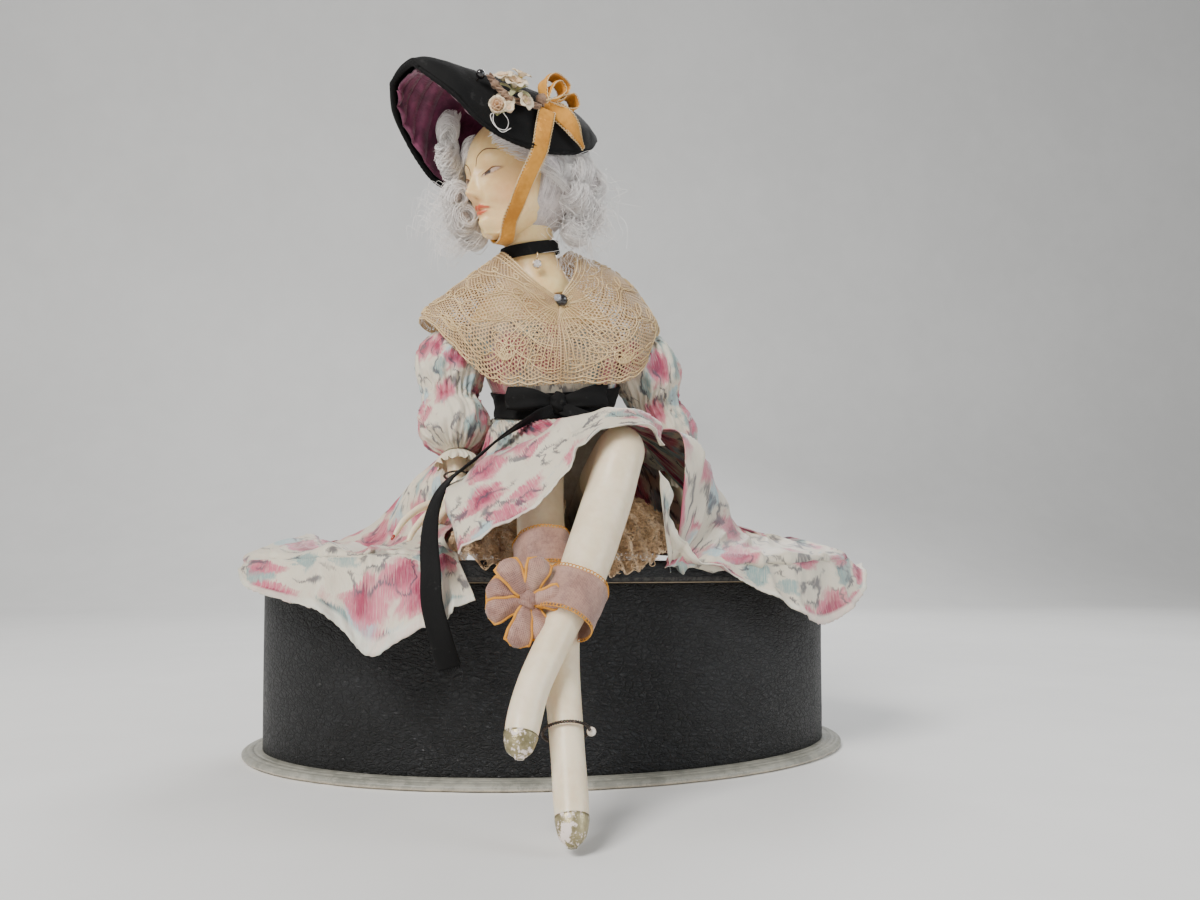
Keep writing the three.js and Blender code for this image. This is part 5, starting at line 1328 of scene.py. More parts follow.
def make_legs():
    """Two wax legs, and on each a painted pointed shoe."""
    throat_turn = -1.2
    for side, hip, knee, shin in (
        ("right", RIGHT_HIP, RIGHT_KNEE, RIGHT_SHIN), ("left", LEFT_HIP, LEFT_KNEE, LEFT_SHIN),
    ):
        t = np.concatenate([np.linspace(0, 0.985, 120), [0.993, 0.998, 1.0]])
        path = leg_path(hip, knee, shin, t)
        size = curve(LEG_RADII, t)
        close = np.sqrt(np.clip(1 - smooth(0.93, 1.0, t) ** 2 * 0.86, 0.02, 1))
        start = np.sqrt(smooth(-0.02, 0.02, t))
        wide, high = size[:, 0] * close * start, size[:, 1] * close * start

        def calf(u, a):
            back = np.maximum(np.sin(a), 0)
            return 1 + 0.05 * bell(u, 0.42, 0.12) * back - 0.03 * bell(u, 0.2, 0.05)

        rows = rings(path, wide, high, (1, 0, 0), 48, calf)
        middle = path[:, None]
        rows = middle + (rows - middle) * (1 + 0.006 * ripple(rows, 12, 5)[..., None])
        rows[..., 2] = np.maximum(rows[..., 2], 0.35)
        piece(f"wax_{side}_leg", "doll", "pale_wax", closed(rows),
              [f"{side}_leg"])
        share = shares(36)[:, None] ** 0.8
        turn = whole_turn(48)
        face = np.maximum(np.cos(turn - throat_turn), 0)[None, :] ** 1.5
        top = 0.865 + 0.055 * face
        at = top + (1 - top) * share
        index = np.interp(at, t, np.arange(len(t)))
        low = np.minimum(index.astype(int), len(t) - 2)
        part = (index - low)[..., None]
        column = np.arange(48)[None, :]
        skin = rows[low, column] * (1 - part) + rows[low + 1, column] * part
        heart = path[np.minimum(np.round(index).astype(int), len(t) - 1)]
        skin = skin + unit(skin - heart) * 0.22
        skin[..., 2] = np.maximum(skin[..., 2], 0.12)
        piece(f"painted_{side}_shoe", "doll", "shoe_paint",
              closed(skin))


# The head, neck and shoulder plate

HEAD_CENTRE = vec(-15.5, -6.5, 213.8)
HEAD_AHEAD, HEAD_BESIDE = vec(-0.819, -0.574, 0), vec(0.574, -0.819, 0)
# rows of (height, how far ahead, size), in shares of the head's half height and length
HEAD_SECTIONS = np.array([
    [-0.93, 0.55, 0.22], [-0.8, 0.42, 0.5], [-0.55, 0.2, 0.78], [-0.25, 0.08, 0.93],
    [0.1, 0, 1], [0.42, -0.03, 0.95], [0.7, -0.05, 0.76], [0.9, -0.06, 0.45], [0.985, -0.06, 0.17],
])


def head_place(ahead, beside, up):
    """Places of the head, from how far ahead, beside and up they are from its middle."""
    ahead, beside, up = np.broadcast_arrays(ahead, beside, up)
    return (
        HEAD_CENTRE + ahead[..., None] * HEAD_AHEAD + beside[..., None] * HEAD_BESIDE
        + up[..., None] * UP
    )


def face_relief(b, u):
    """How far the face stands out or in at each place, and where its lips are. b is how
    far a place is beside the nose, and u how far up."""
    ridge_high = np.interp(
        u, [-13.4, -12.6, -11.8, -10.8, -8.6, -6.2, -4.0, -1.5, 1.0],
        [0, 0.6, 2.5, 3.7, 2.7, 1.6, 0.9, 0.4, 0.0],
    )
    ridge_wide = np.interp(u, [-12, -10.5, -7, -3], [2.0, 1.9, 1.35, 1.2])
    relief = ridge_high * np.exp(-((b / ridge_wide) ** 2))
    side = np.abs(b)
    relief += 1.0 * bell(side, 2.0, 1.15) * bell(u, -11.2, 1.15)
    relief -= 0.55 * bell(side, 3.6, 0.7) * bell(u, -11.2, 1.4)
    relief -= 1.5 * bell(side, 5.6, 3.6) * bell(u, -2.4, 2.8)
    relief += 1.15 * (bell(side, 7.0, 3.0) * bell(u, -3.0 + 0.12 * (side - 7), 1.9))
    lid = -1.75 - 0.11 * (side - 7) ** 2
    relief += 0.28 * bell(u, lid, 0.38) * bell(side, 7.2, 3.6)
    relief -= 0.30 * bell(u, lid + 0.95, 0.42) * bell(side, 7.2, 3.8)
    relief += 0.20 * bell(u, -4.7 + 0.07 * (side - 7) ** 2, 0.4) * bell(side, 7.2, 3.2)
    relief += 0.55 * bell(side, 6.5, 4.5) * bell(u, 2.4, 2.0)
    bow = -14.75 + 0.30 * bell(side, 1.15, 0.9) - 0.10 * bell(side, 0, 0.5)
    upper = bell(side, 0, 4.1) * bell(u, bow, 0.72)
    lower = bell(side, 0, 3.2) * bell(u, -16.45 + 0.05 * side**2, 0.8)
    relief += 0.95 * upper + 1.05 * lower
    relief -= 0.75 * bell(side, 0, 3.4) * bell(u, -15.55 + 0.03 * side**2, 0.33)
    relief -= 0.45 * bell(side, 3.9, 0.8) * bell(u, -15.3, 0.8)
    relief -= 0.30 * bell(side, 0, 0.55) * bell(u, -13.1, 0.7)
    relief -= 0.65 * bell(side, 0, 3.2) * bell(u, -17.9, 0.9)
    relief += 1.0 * bell(side, 0, 3.2) * bell(u, -19.9, 2.0)
    relief += 0.9 * bell(side, 9.5, 4.2) * bell(u, -9.4, 4.2)
    return relief, upper, lower


def layered(layers, shape):
    """Several paints laid over each other, as colours with how much they cover."""
    colour, cover = np.zeros(shape + (3,)), np.zeros(shape)
    for paint_colour, amount in layers:
        amount = np.clip(amount, 0, 1)
        total = amount + cover * (1 - amount)
        share = amount / np.maximum(total, 1e-6)
        colour = colour * (1 - share[..., None]) + np.array(paint_colour) * share[..., None]
        cover = total
    return np.concatenate([colour, cover[..., None]], -1)


def head_surface():
    """The modelled head as places with their paint, denser at the face."""
    rows, sides = 150, 260
    up = shares(rows)
    section = curve(HEAD_SECTIONS, up)
    u, ahead, size = section[:, 0] * 25, section[:, 1], section[:, 2]
    s = np.linspace(-np.pi, np.pi, sides, endpoint=False)
    angle = s - 0.55 * np.sin(s)
    a = (ahead[:, None] + size[:, None] * np.cos(angle)) * 20.46
    u = u[:, None] + 0 * angle
    narrow = np.interp(
        u, [-22, -18, -14, -10, -6, -2, 4, 10], [0.46, 0.48, 0.47, 0.42, 0.27, 0.14, 0.06, 0],
    )
    b = size[:, None] * np.sin(angle) * 18.5 * (1 - narrow * smooth(0.0, 0.9, np.cos(angle)))
    front = smooth(0.0, 0.45, np.cos(angle))[None, :]
    relief, upper, lower = face_relief(b, u)
    set_back = 2.3 * smooth(-10.5, -16.0, u) * bell(b, 0, 11) * smooth(-25.5, -20, u)
    a = a + (relief - set_back) * front
    side = np.abs(b)
    look = bpy.context.scene.wax_doll_finish
    lips, blush = tuple(look.lip_colour), tuple(look.blush_colour)
    centre_u = -3.0 + 0.36 * (side - 7.2)
    opening = ((side - 6.9) / 3.0) ** 2 + ((u - centre_u + 0.1) / 0.72) ** 2
    iris = ((side - 5.9) / 1.2) ** 2 + ((u - centre_u + 0.2) / 1.2) ** 2
    inside = smooth(1.12, 0.9, opening)
    fine = ripple(np.stack([a, b, u], -1), 3.0, 2)
    mouth_line = bell(side, 0, 3.0) * bell(u, -15.55 + 0.03 * side**2, 0.22)
    layers = [
        (blush, 0.42 * bell(side, 9.5, 4.6) * bell(u, -10.2, 4.4) * front),
        (blush, 0.30 * bell(side, 0, 5.0) * bell(u, -16.0, 3.6) * front),
        (blush, 0.22 * bell(side, 0, 3.0) * bell(u, -11.4, 2.4) * front),
        ((0.44, 0.22, 0.10), 0.48 * bell(side, 6.6, 4.6) * bell(u, -2.6, 3.0) * front),
        ((0.26, 0.11, 0.06), 0.62 * bell(opening, 1.25, 0.5) * front),
        ((0.58, 0.40, 0.30), inside * front),
        ((0.045, 0.028, 0.022), inside * smooth(1.15, 0.85, iris) * front),
        (lips, smooth(0.30, 0.52, np.maximum(upper, lower) + 0.04 * fine) * front),
        ((0.26, 0.04, 0.02), 0.7 * mouth_line * front),
        ((0.35, 0.12, 0.05), 0.6 * bell(side, 1.5, 0.5) * bell(u, -12.3, 0.35) * front),
    ]
    return head_place(a, b, u), layered(layers, a.shape), np.stack([a, b, u], -1), angle


def on_face(local, angle, b, u, lift):
    """Places a little in front of the face at each b beside and u up."""
    front = np.cos(angle) > 0.1
    flat = local[:, front].reshape(-1, 3)
    places = []
    for bb, uu in zip(b, u):
        near = np.argsort((flat[:, 1] - bb) ** 2 + (flat[:, 2] - uu) ** 2)[:3]
        places.append([flat[near, 0].mean() + lift, bb, uu])
    places = np.array(places)
    return head_place(places[:, 0], places[:, 1], places[:, 2])


def make_head():
    """Wax head with a modelled and painted face, neck and shoulder plate."""
    points, tint, local, angle = head_surface()
    head = grid(points, around=True, ends=True, tint=tint).outward()
    t = shares(50)
    path = curve(overs([-6, 1, 101], [-9, -1, 114], [-11, -3, 124], [-13, -4.6, 133]), t)
    radius = curve(np.array([[15.0], [10.2], [9.9], [11.0]]), t)[:, 0]
    neck = rings(path, radius, radius, (1, 0, 0), 72)
    crease = 0.25 * (bell(t, 0.42, 0.02) + bell(t, 0.60, 0.02))
    neck += (path[:, None] - neck) * (crease / 10)[:, None, None]
    plate = np.array([
        [80, -2, 1, 24.0, 17.6], [90, -4, 2, 28.6, 13.6], [97, -5, 2, 24.9, 13.2],
        [103, -6, 1, 19, 12.5], [107, -7, 0, 12.5, 10.8],
    ])
    section = curve(plate, shares(60))
    turn = whole_turn(96)
    chest = np.stack([
        section[:, 1:2] + section[:, 3:4] * np.cos(turn),
        section[:, 2:3] + section[:, 4:5] * np.sin(turn),
        SEAT_TOP + section[:, 0:1] + 0 * turn,
    ], -1)
    front = np.maximum(-np.sin(turn), 0)[None, :]
    x, height = chest[..., 0], chest[..., 2] - SEAT_TOP
    bone = 0.7 * bell(height, 102, 2.2) * bell(np.abs(x + 6), 9, 6) * front
    hollow = 0.8 * bell(height, 104, 2.0) * bell(x, -6.5, 3.0) * front
    bosom = 1.1 * bell(height, 91, 6) * bell(np.abs(x + 3), 8, 5) * front
    chest[..., 1] -= bone - hollow + bosom
    shells = [
        head, closed(neck),
        closed(chest),
    ]
    piece("wax_bust", "doll", "wax", shells, ["bust"])
    hairs, girths = [], []
    for sign in (1, -1):
        s = shares(18)
        brow = curve(np.array([[1.2, -0.6], [2.0, 2.8], [4.9, 4.9], [8.4, 4.6], [10.0, 4.2]]), s)
        drop = 0 if sign > 0 else 2.0
        hairs.append(on_face(local, angle, (brow[:, 0] + drop) * sign, brow[:, 1] - drop, 0.05))
        girths.append(0.9 * np.sin(np.pi * np.clip(s * 0.92 + 0.06, 0, 1)) ** 0.6)
        across = np.linspace(3.7, 10.2, 18)
        lid = np.stack([across, -2.15 + 0.34 * (across - 7.2) - 0.07 * (across - 7.2) ** 2], -1)
        hairs.append(on_face(local, angle, lid[:, 0] * sign, lid[:, 1], 0.05))
        girths.append(0.8 * np.sin(np.pi * np.clip(s * 0.9 + 0.08, 0, 1)) ** 0.5)
    threads("painted_brows", "doll", "brow_paint", hairs, 0.23, 6, girths, "wax")


# Wax forearms and hands

def fused(name, body, cover, shells, grain, replaced):
    """Shells melted into one skin, as one piece."""
    item = new_item(name, mesh_of(name, shells))
    melt = item.modifiers.new("Melt", "REMESH")
    melt.mode = "VOXEL"
    melt.voxel_size = grain * MM
    melt.use_smooth_shade = True
    ease = item.modifiers.new("Ease", "SMOOTH")
    ease.factor = 0.5
    ease.iterations = 4
    item = baked(item)
    item.data.materials.clear()
    item.data.materials.append(FINISHES[cover])
    return settled(item, body, replaced)


def finger(points, thick):
    """One finger with its knuckles and rounded tip."""
    t = shares(22)
    path = curve(np.asarray(points, float), t)
    knuckles = 1 + 0.08 * bell(t, 0.35, 0.07) + 0.07 * bell(t, 0.68, 0.06)
    size = thick * (1.05 - 0.45 * t) * knuckles
    size = size * np.sqrt(np.clip(1 - smooth(0.86, 1.0, t) ** 2 * 0.95, 0.04, 1))
    return tube(path, size, 12)


RIGHT_FINGERS = [
    [[-41.5, -18, 21.8], [-50, -23, 18.5], [-56, -27, 13.5], [-59.5, -30, 7.2]],
    [[-42, -20, 20], [-48.6, -24, 15.2], [-53, -27.8, 9.6], [-54.6, -29.6, 5.2]],
    [[-41.0, -20.5, 19], [-45, -24.6, 13.0], [-47.6, -27.2, 8.2], [-48.4, -28.4, 5.0]],
    [[-40.2, -18.2, 19], [-43.0, -21.4, 13.4], [-44.6, -23.4, 9.4], [-45.0, -24.4, 7.0]],
]
RIGHT_THUMB = [
    [-38.6, -16.4, 25.5], [-37.2, -20.2, 22.0], [-38.6, -23.0, 18.0], [-40.2, -24.4, 14.6],
]


def forearm(elbow, wrist, palm, sizes, side):
    """A forearm from under its sleeve to the palm."""
    t = shares(50)
    path = curve(np.array([elbow, elbow * 0.5 + wrist * 0.5, wrist, *palm]), t)
    size = curve(np.array([[4.4, 4.4], [4.4, 4.4], [3.1, 3.1], *sizes]), t)
    end = np.sqrt(np.clip(1 - smooth(0.9, 1.0, t) ** 2 * 0.8, 0.05, 1))
    return closed(rings(path, size[:, 0] * end, size[:, 1] * end, side, 32))


def make_arms():
    """Two wax forearms with modelled hands, and the painted nails."""
    melt_grain = 0.33
    shells = [forearm(
        over(-39, -4, 61), over(-37.5, -13, 29), overs((-38.5, -15, 24), (-43, -19, 20.5)),
        [[4.2, 2.6], [3.2, 1.8]], (0.3, -0.9, 0.3),
    )]
    for points, thick in zip([*RIGHT_FINGERS, RIGHT_THUMB], (1.55, 1.5, 1.45, 1.3, 1.5)):
        shells.append(finger(overs(*points), thick))
    fused("wax_right_forearm", "right_arm", "pale_wax", shells, melt_grain, ["right_forearm"])
    nails = []
    for points in RIGHT_FINGERS[:3]:
        tip, before = over(*points[-1]), over(*points[-2])
        ahead = unit(tip - before)
        out = unit(np.cross(np.cross(ahead, vec(-0.7, -0.5, 0.4)), ahead))
        side = np.cross(ahead, out)
        nails.append(ball(tip - ahead * 0.5 + out * 0.35, (0.72, 0.55, 1.25), 14,
                          axes=[side, out, ahead]))
    piece("painted_nails", "right_arm", "nail_paint", nails)
    shells = [forearm(
        over(41, 6, 62), over(61, 20, 18), overs((61.5, 23, 11), (61, 27, 7)),
        [[4.2, 2.4], [3.4, 1.8]], (1, 0, 0),
    )]
    for x, reach, height in (
        (-2.5, 35.6, 2.4), (-0.9, 37.8, 2.4), (0.8, 37.4, 2.4), (2.3, 35.4, 2.6),
    ):
        shells.append(finger(overs(
            (61 + x, 26, 7.6), (60.6 + x * 1.05, 31, 5.6), (60.2 + x * 1.1, reach, height),
        ), 1.25))
    shells.append(finger(overs((58.5, 23, 10.5), (56.6, 26.5, 7.4), (56.2, 30, 4.4)), 1.3))
    fused("wax_left_forearm", "left_arm", "pale_wax", shells, melt_grain, ["left_forearm"])


# The dress

def waist_place(angle, out, shift=0.0):
    """A place round the tilted waist, a distance out from the bodice."""
    angle = np.asarray(angle, float)
    height = 61.6 + 2.2 * np.cos(angle) + 4.5 * np.sin(angle) + shift
    wide = np.interp(height, BODY_SECTIONS[:, 0], BODY_SECTIONS[:, 3])
    deep = np.interp(height, BODY_SECTIONS[:, 0], BODY_SECTIONS[:, 4])
    return np.stack([
        (wide + 3.6 + out) * np.cos(angle), (deep + 3.6 + out) * np.sin(angle), SEAT_TOP + height
    ], -1)


def creased(x, y, seed, count, reach, fine, lean):
    """Sharp small creases scattered over a cloth, from places on it in mm. reach is their
    length, fine their width, and lean how far they turn from straight down."""
    rng = np.random.default_rng(seed)
    total = np.zeros(np.broadcast(x, y).shape)
    for _ in range(count):
        cx, cy = rng.uniform(x.min(), x.max()), rng.uniform(y.min(), y.max())
        turn = rng.normal(0, lean)
        dx, dy = x - cx, y - cy
        run = dx * math.sin(turn) + dy * math.cos(turn)
        off = dx * math.cos(turn) - dy * math.sin(turn) + 0.018 * run**2 * rng.uniform(-1, 1)
        height, wide = rng.uniform(0.3, 1.0), fine * rng.uniform(0.7, 1.8)
        total += height * np.exp(-np.abs(off) / wide) * bell(run, 0, reach * rng.uniform(0.4, 1.2))
    return total


def lid_edge(p, q, out, height):
    """Where the way from p to q crosses an oval round the lid, at a height."""
    s = shares(400)[:, None]
    way = p * (1 - s) + q * s
    inside = np.hypot(way[:, 0] / (LID_HALF[0] + out), way[:, 1] / (LID_HALF[1] + out)) < 1
    k = min(int(inside.sum()), 399)
    return vec(way[k, 0], way[k, 1], SEAT_TOP + height)


# for each panel: where it starts round the waist, and rows of places down the cloth
SKIRT = {
    "front": dict(
        angles=(-60, -178), folds=3, bends=False,
        lap=[(20, -46, 47), (13, -49, 44), (5, -50, 43), (-5, -49, 42), (-15, -46, 39),
             (-24, -41, 36), (-31, -33, 33)],
        crest=[(24, -70, 43), (14, -80, 44.5), (2, -82, 44), (-10, -79, 38), (-23, -76, 32),
               (-34, -71, 25), (-41, -64, 18)],
        hem=[(21, -82, 34), (14, -88, 38), (1, -91, 36), (-6, -92, 25), (-16, -89, 15),
             (-28, -87, 7), (-38, -85, 1)],
    ),
    "side": dict(
        angles=(-182, -215), folds=4, bends=True,
        lap=[(-38, 3, 36), (-42, 5, 34), (-46, 8, 32), (-50, 12, 30), (-53, 15, 29),
             (-55, 18, 28), (-55, 20, 27), (-53, 23, 26)],
        valley=[(-37, -8, 16), (-41, -8, 14), (-46, -8, 11), (-51, -7, 8), (-58, -5, 5.5),
                (-66, 0, 5), (-74, 4, 6), (-80, 10, 7)],
        crest=[(-42, -58, 7), (-47, -52, 5), (-53, -46, 3.5), (-62, -40, 2.6), (-72, -32, 2.4),
               (-82, -22, 3), (-91, -8, 5.5), (-95, 8, 7)],
        hem=[(-33, -86, -12), (-40, -84, -18), (-50, -80, -22), (-63, -75, -29), (-75, -68, -19),
             (-88, -58, -14), (-103, -38, -10), (-110, -14, -2)],
    ),
    "right": dict(
        angles=(-6, -58), folds=4, bends=True,
        lap=[(61, -8, 17), (60, -10, 18), (58, -12, 21), (54, -16, 26), (49, -21, 32),
             (42, -29, 38), (34, -38, 43), (27, -45, 45)],
        crest=[(104, -4, 6.5), (95, -6, 7), (84, -8, 8), (74, -10, 8.5), (66, -18, 13),
               (56, -32, 23), (45, -48, 33), (34, -63, 38.5)],
        hem=[(121, -14, -2), (107, -37, -14), (85, -54, -22), (66, -63, -14), (50, -70, -7),
             (34, -75, -1), (25, -78, 12), (21, -82, 27)],
    ),
    "back": dict(
        angles=(142, 8), folds=5, bends=False,
        lap=[(-50, 22, 29), (-32, 30, 34), (-16, 33, 37), (0, 34, 38), (20, 33, 37), (42, 31, 36),
             (59, 20, 30)],
        crest=[(-75, 15, 9), (-52, 34, 7.5), (-24, 42, 8), (0, 44, 8), (26, 46, 8), (54, 47, 7),
               (80, 26, 7)],
        hem=[(-93, 11, 4), (-70, 38, 1.2), (-36, 54, 1.2), (0, 59, 1.2), (38, 56, 1.2),
             (68, 48, 1.2), (97, 18, 1.6)],
    ),
}


def skirt_surface(side, seed):
    """One panel of the skirt as places, with its gathers, folds and creases."""
    down, wide = 92, 172
    plan = SKIRT[side]
    start, end = (math.radians(a) for a in plan["angles"])
    count = len(plan["lap"])
    rows = [waist_place(np.linspace(start, end, count), 0.9, -5.65), overs(*plan["lap"])]
    if "valley" in plan:
        rows.append(overs(*plan["valley"]))
    crest, hem = overs(*plan["crest"]), overs(*plan["hem"])
    rows.append(crest)
    if plan["bends"]:
        rows.append(np.array([lid_edge(p, q, -1.35, 1.62) for p, q in zip(crest, hem)]))
        rows.append(np.array([lid_edge(p, q, 1.62, -1.35) for p, q in zip(crest, hem)]))
    else:
        rows.append((crest + hem) / 2 + vec(0, -1, 0))
    rows.append(hem)
    points = net(rows, down, wide)
    u, w = shares(down)[:, None], shares(wide)[None, :]
    normal = facing(points)
    dress = bpy.context.scene.wax_doll_dress
    depth = dress.fold_depth / MM
    gaps = np.linalg.norm(np.diff(points, axis=1), axis=-1)
    x = np.concatenate([np.zeros((down, 1)), np.cumsum(gaps, 1)], 1)
    y = lengths(points)
    sway = ripple(np.stack([x / 40, y / 60], -1), 1.0, seed + 3, 3)
    wave = 1.6 * u * (0.5 - 0.5 * np.cos(2 * np.pi * plan["folds"] * w))
    fold_count = x[-1, -1] / 21
    fold = np.abs(np.sin(np.pi * fold_count * w + 0.8 * sway + 1.2 * u))
    folds = 1.35 * depth * (1 - fold) ** 1.3 * smooth(0.10, 0.55, u) * (0.6 + 0.4 * sway)
    gather_count = 26 if side != "side" else 14
    gather = np.abs(np.sin(np.pi * gather_count * w + 0.9 * sway + 0.4 * np.sin(9 * w)))
    gathers = 1.1 * (1 - gather) ** 1.1 * smooth(0.42, 0.02, u) * smooth(0.0, 0.05, u)
    crumples = 0.5 * creased(x, y, seed, 80, 18, 1.2, 0.4)
    crumples = crumples + 0.14 * creased(x, y, seed + 50, 90, 7, 0.5, 1.4)
    crumples *= smooth(0.0, 0.12, u)
    fine = 0.16 * ripple(points, 6.0, seed + 9)
    rise = 0.45 + wave + folds + gathers + np.minimum(crumples, 2.4) + fine
    edge = np.minimum(smooth(0, 0.025, w), smooth(1, 0.975, w))
    rise = 0.45 + wave + (rise - 0.45 - wave) * (0.35 + 0.65 * edge)
    points = points + normal * rise[..., None]
    curl = smooth(0.955, 1.0, u) * (0.6 + 0.9 * np.abs(ripple(x[..., None], 22, seed + 5, 2)))
    points = points + normal * curl[..., None]
    down_way = slope(points)
    points[-1] += down_way[-1] * (0.18 * ripple(x[-1][:, None], 3.5, seed + 7))[:, None]
    return points, u, w


def gathered_sheet(name, finish, points, thick, stands_for, tint=None):
    """Gathered cloth over places, as a piece with its thickness."""
    item = piece(name, "doll", finish, grid(points, tint=tint), [stands_for], thick)


def make_skirt():
    """Four gathered panels of printed silk over the lap and the lid."""
    for k, side in enumerate(("front", "side", "right", "back")):
        points, u, w = skirt_surface(side, 20 + k)
        hem = smooth(0.968, 0.978, u) + 0 * w
        tint = np.zeros(points.shape[:2] + (4,))
        tint[..., :3] = (0.80, 0.76, 0.64)
        tint[..., 3] = 0.75 * hem
        gathered_sheet(
            f"silk_skirt_{side}", "printed_silk", points, 0.32, f"skirt_{side}", tint
        )


PETTICOATS = {
    "left": [
        [(24, -34, 22), (19, -46, 23), (8, -50, 22), (2, -52, 20)],
        [(32, -52, 12), (24, -62, 14), (13, -66, 14), (4, -66, 13)],
        [(33, -64, 6), (26, -71, 3), (16, -77, -3), (5, -79, -4)],
    ],
    "right": [
        [(-3, -52, 20), (-12, -50, 14), (-24, -46, 18), (-35, -38, 15)],
        [(-5, -66, 14), (-13, -58, 8), (-26, -60, 10), (-40, -52, 7.5)],
        [(-7, -78, 10), (-14, -63, 3), (-26, -75, -2), (-41.5, -64, 1.8)],
    ],
}


def make_petticoats():
    """Two lengths of coarse curly lace under the hem, with curls of loose thread scattered over
    them.
    """
    for k, side in enumerate(("left", "right")):
        points = net([overs(*row) for row in PETTICOATS[side]], 60, 120)
        u, w = shares(60)[:, None], shares(120)[None, :]
        normal = facing(points)
        wave = 1.9 * u * np.sin(2 * np.pi * 7 * w + 2 * u) + 0.9 * u * ripple(points, 6, 31 + k)
        points = points + normal * wave[..., None]
        gathered_sheet(
            f"lace_petticoat_{side}", "coarse_lace", points, 0.45, f"petticoat_{side}"
        )
        rng = np.random.default_rng(70 + k)
        curls, girths = [], []
        for _ in range(420):
            r, c = rng.integers(6, 60), rng.integers(1, 118)
            spot, out = points[r, c], normal[r, c]
            way = unit(rng.normal(size=3))
            way = unit(way - out * (way @ out))
            other = np.cross(out, way)
            size = rng.uniform(0.6, 1.7)
            a = np.linspace(0, rng.uniform(3.5, 8.5), 11)
            grow = size * (0.35 + 0.65 * a / a[-1])
            curls.append(
                spot + out * 0.35 + way * (np.cos(a) * grow)[:, None]
                + other * (np.sin(a) * grow)[:, None] + out * (0.10 * a)[:, None]
            )
            girths.append(np.ones(11))
        threads(f"lace_curls_{side}", "doll", "lace_thread", curls, 0.11, 4, girths, "coarse_lace")


def make_bodice():
    """The fitted silk bodice, gathered at the waist."""
    heights = np.linspace(52.2, 89.6, 60)
    rows = body_rings(heights, 3.3, 200)
    angle = whole_turn(200)
    sway = ripple(rows, 16, 41)
    gather = 0.22 * np.abs(np.sin(22 * angle[None, :] + sway)) * bell(heights, 58, 14)[:, None]
    rows += unit(rows - rows.mean(1, keepdims=True)) * (gather - 0.1)[..., None]
    shell = grid(rows, around=True)
    item = piece("silk_bodice", "doll", "printed_silk", shell, ["bodice"], 0.4)


SLEEVES = {
    "right": (
        [(-38, 1, 86), (-40, 0, 73), (-40, -3, 61), (-38.5, -7, 49), (-37.5, -10, 39.5)],
        [(-37.4, -10.2, 39), (-37.2, -11.4, 35)],
    ),
    "left": (
        [(33, 3, 88), (37, 2, 75), (40.5, 4, 62), (46, 7, 50), (53, 11, 40)],
        [(53.4, 11.3, 39.4), (56, 13.8, 35.5)],
    ),
}


def make_sleeves():
    """Two sleeves, each of two gathered puffs, with a crumpled frill at the wrist."""
    for k, side in enumerate(("right", "left")):
        route, cuff = SLEEVES[side]
        down, wide = 124, 160
        t = shares(down)
        path = curve(overs(*route), t)
        radius = curve(np.array([[6.6], [13.0], [13.0], [9.4], [13.0], [12.3], [5.8]]), t)[:, 0]
        angle = whole_turn(wide)
        rows = rings(path, radius, radius, (1, 0, 0), wide)
        x = angle[None, :] * 12 + 0 * t[:, None]
        y = lengths(path)[:, None] + 0 * x
        sway = ripple(rows, 15, 80 + k)
        pinch = np.maximum(np.maximum(bell(t, 0, 0.10), bell(t, 0.5, 0.11)), bell(t, 1, 0.12))
        gather = np.abs(np.sin(15 * angle[None, :] + 1.1 * sway + 2.0 * t[:, None]))
        big = np.abs(np.sin(5.5 * angle[None, :] + 0.9 * sway - 3 * t[:, None]))
        rise = 1.5 * (1 - gather) ** 1.2 * (0.25 + 0.75 * pinch)[:, None]
        rise += 1.3 * (1 - big) ** 1.3 * (1 - 0.6 * pinch)[:, None]
        rise += 0.6 * np.minimum(creased(x, y, 90 + k, 100, 9, 0.9, 0.6), 2.0)
        rise += 0.3 * np.minimum(creased(x, y, 190 + k, 120, 5, 0.5, 1.5), 2.0)
        rise = rise * smooth(0, 0.04, np.minimum(t, 1 - t))[:, None]
        out = unit(rows - path[:, None])
        rows = rows - out * 1.6 * (1 - 0.5 * pinch)[:, None, None] + out * rise[..., None]
        item = piece(f"silk_{side}_sleeve", f"{side}_arm", "printed_silk",
                     grid(rows, around=True, cut=(11.0, 7.0)), [f"{side}_sleeve"],
                     0.35)
        t = shares(34)
        wide = 220
        path = curve(overs(*[cuff[0], tuple((np.array(cuff[0]) + cuff[1]) / 2), cuff[1]]), t)
        angle = whole_turn(wide)
        radius = curve(np.array([[5.0], [6.9], [7.7]]), t)[:, 0]
        rows = rings(path, radius, radius, (1, 0, 0), wide)
        sway = ripple(rows, 9, 60 + k)
        frill = 0.9 * np.sin(11 * angle + sway) + 0.5 * np.sin(23 * angle + 1.4 * sway)
        frill = frill * t[:, None]
        out = unit(rows - path[:, None])
        tangent = slope(path)[:, None]
        rows += out * (frill * 0.8)[..., None]
        rows += tangent * (0.6 * np.cos(14 * angle + sway) * t[:, None])[..., None]
        tint = np.zeros(rows.shape[:2] + (4,))
        tint[..., :3], tint[..., 3] = (0.78, 0.70, 0.53), 0.85
        item = piece(f"frill_{side}_cuff", f"{side}_arm", "printed_silk",
                     grid(rows, around=True, cut=(8.0, 0.6), tint=tint), [f"{side}_cuff"],
                     0.3)


# The lace collar

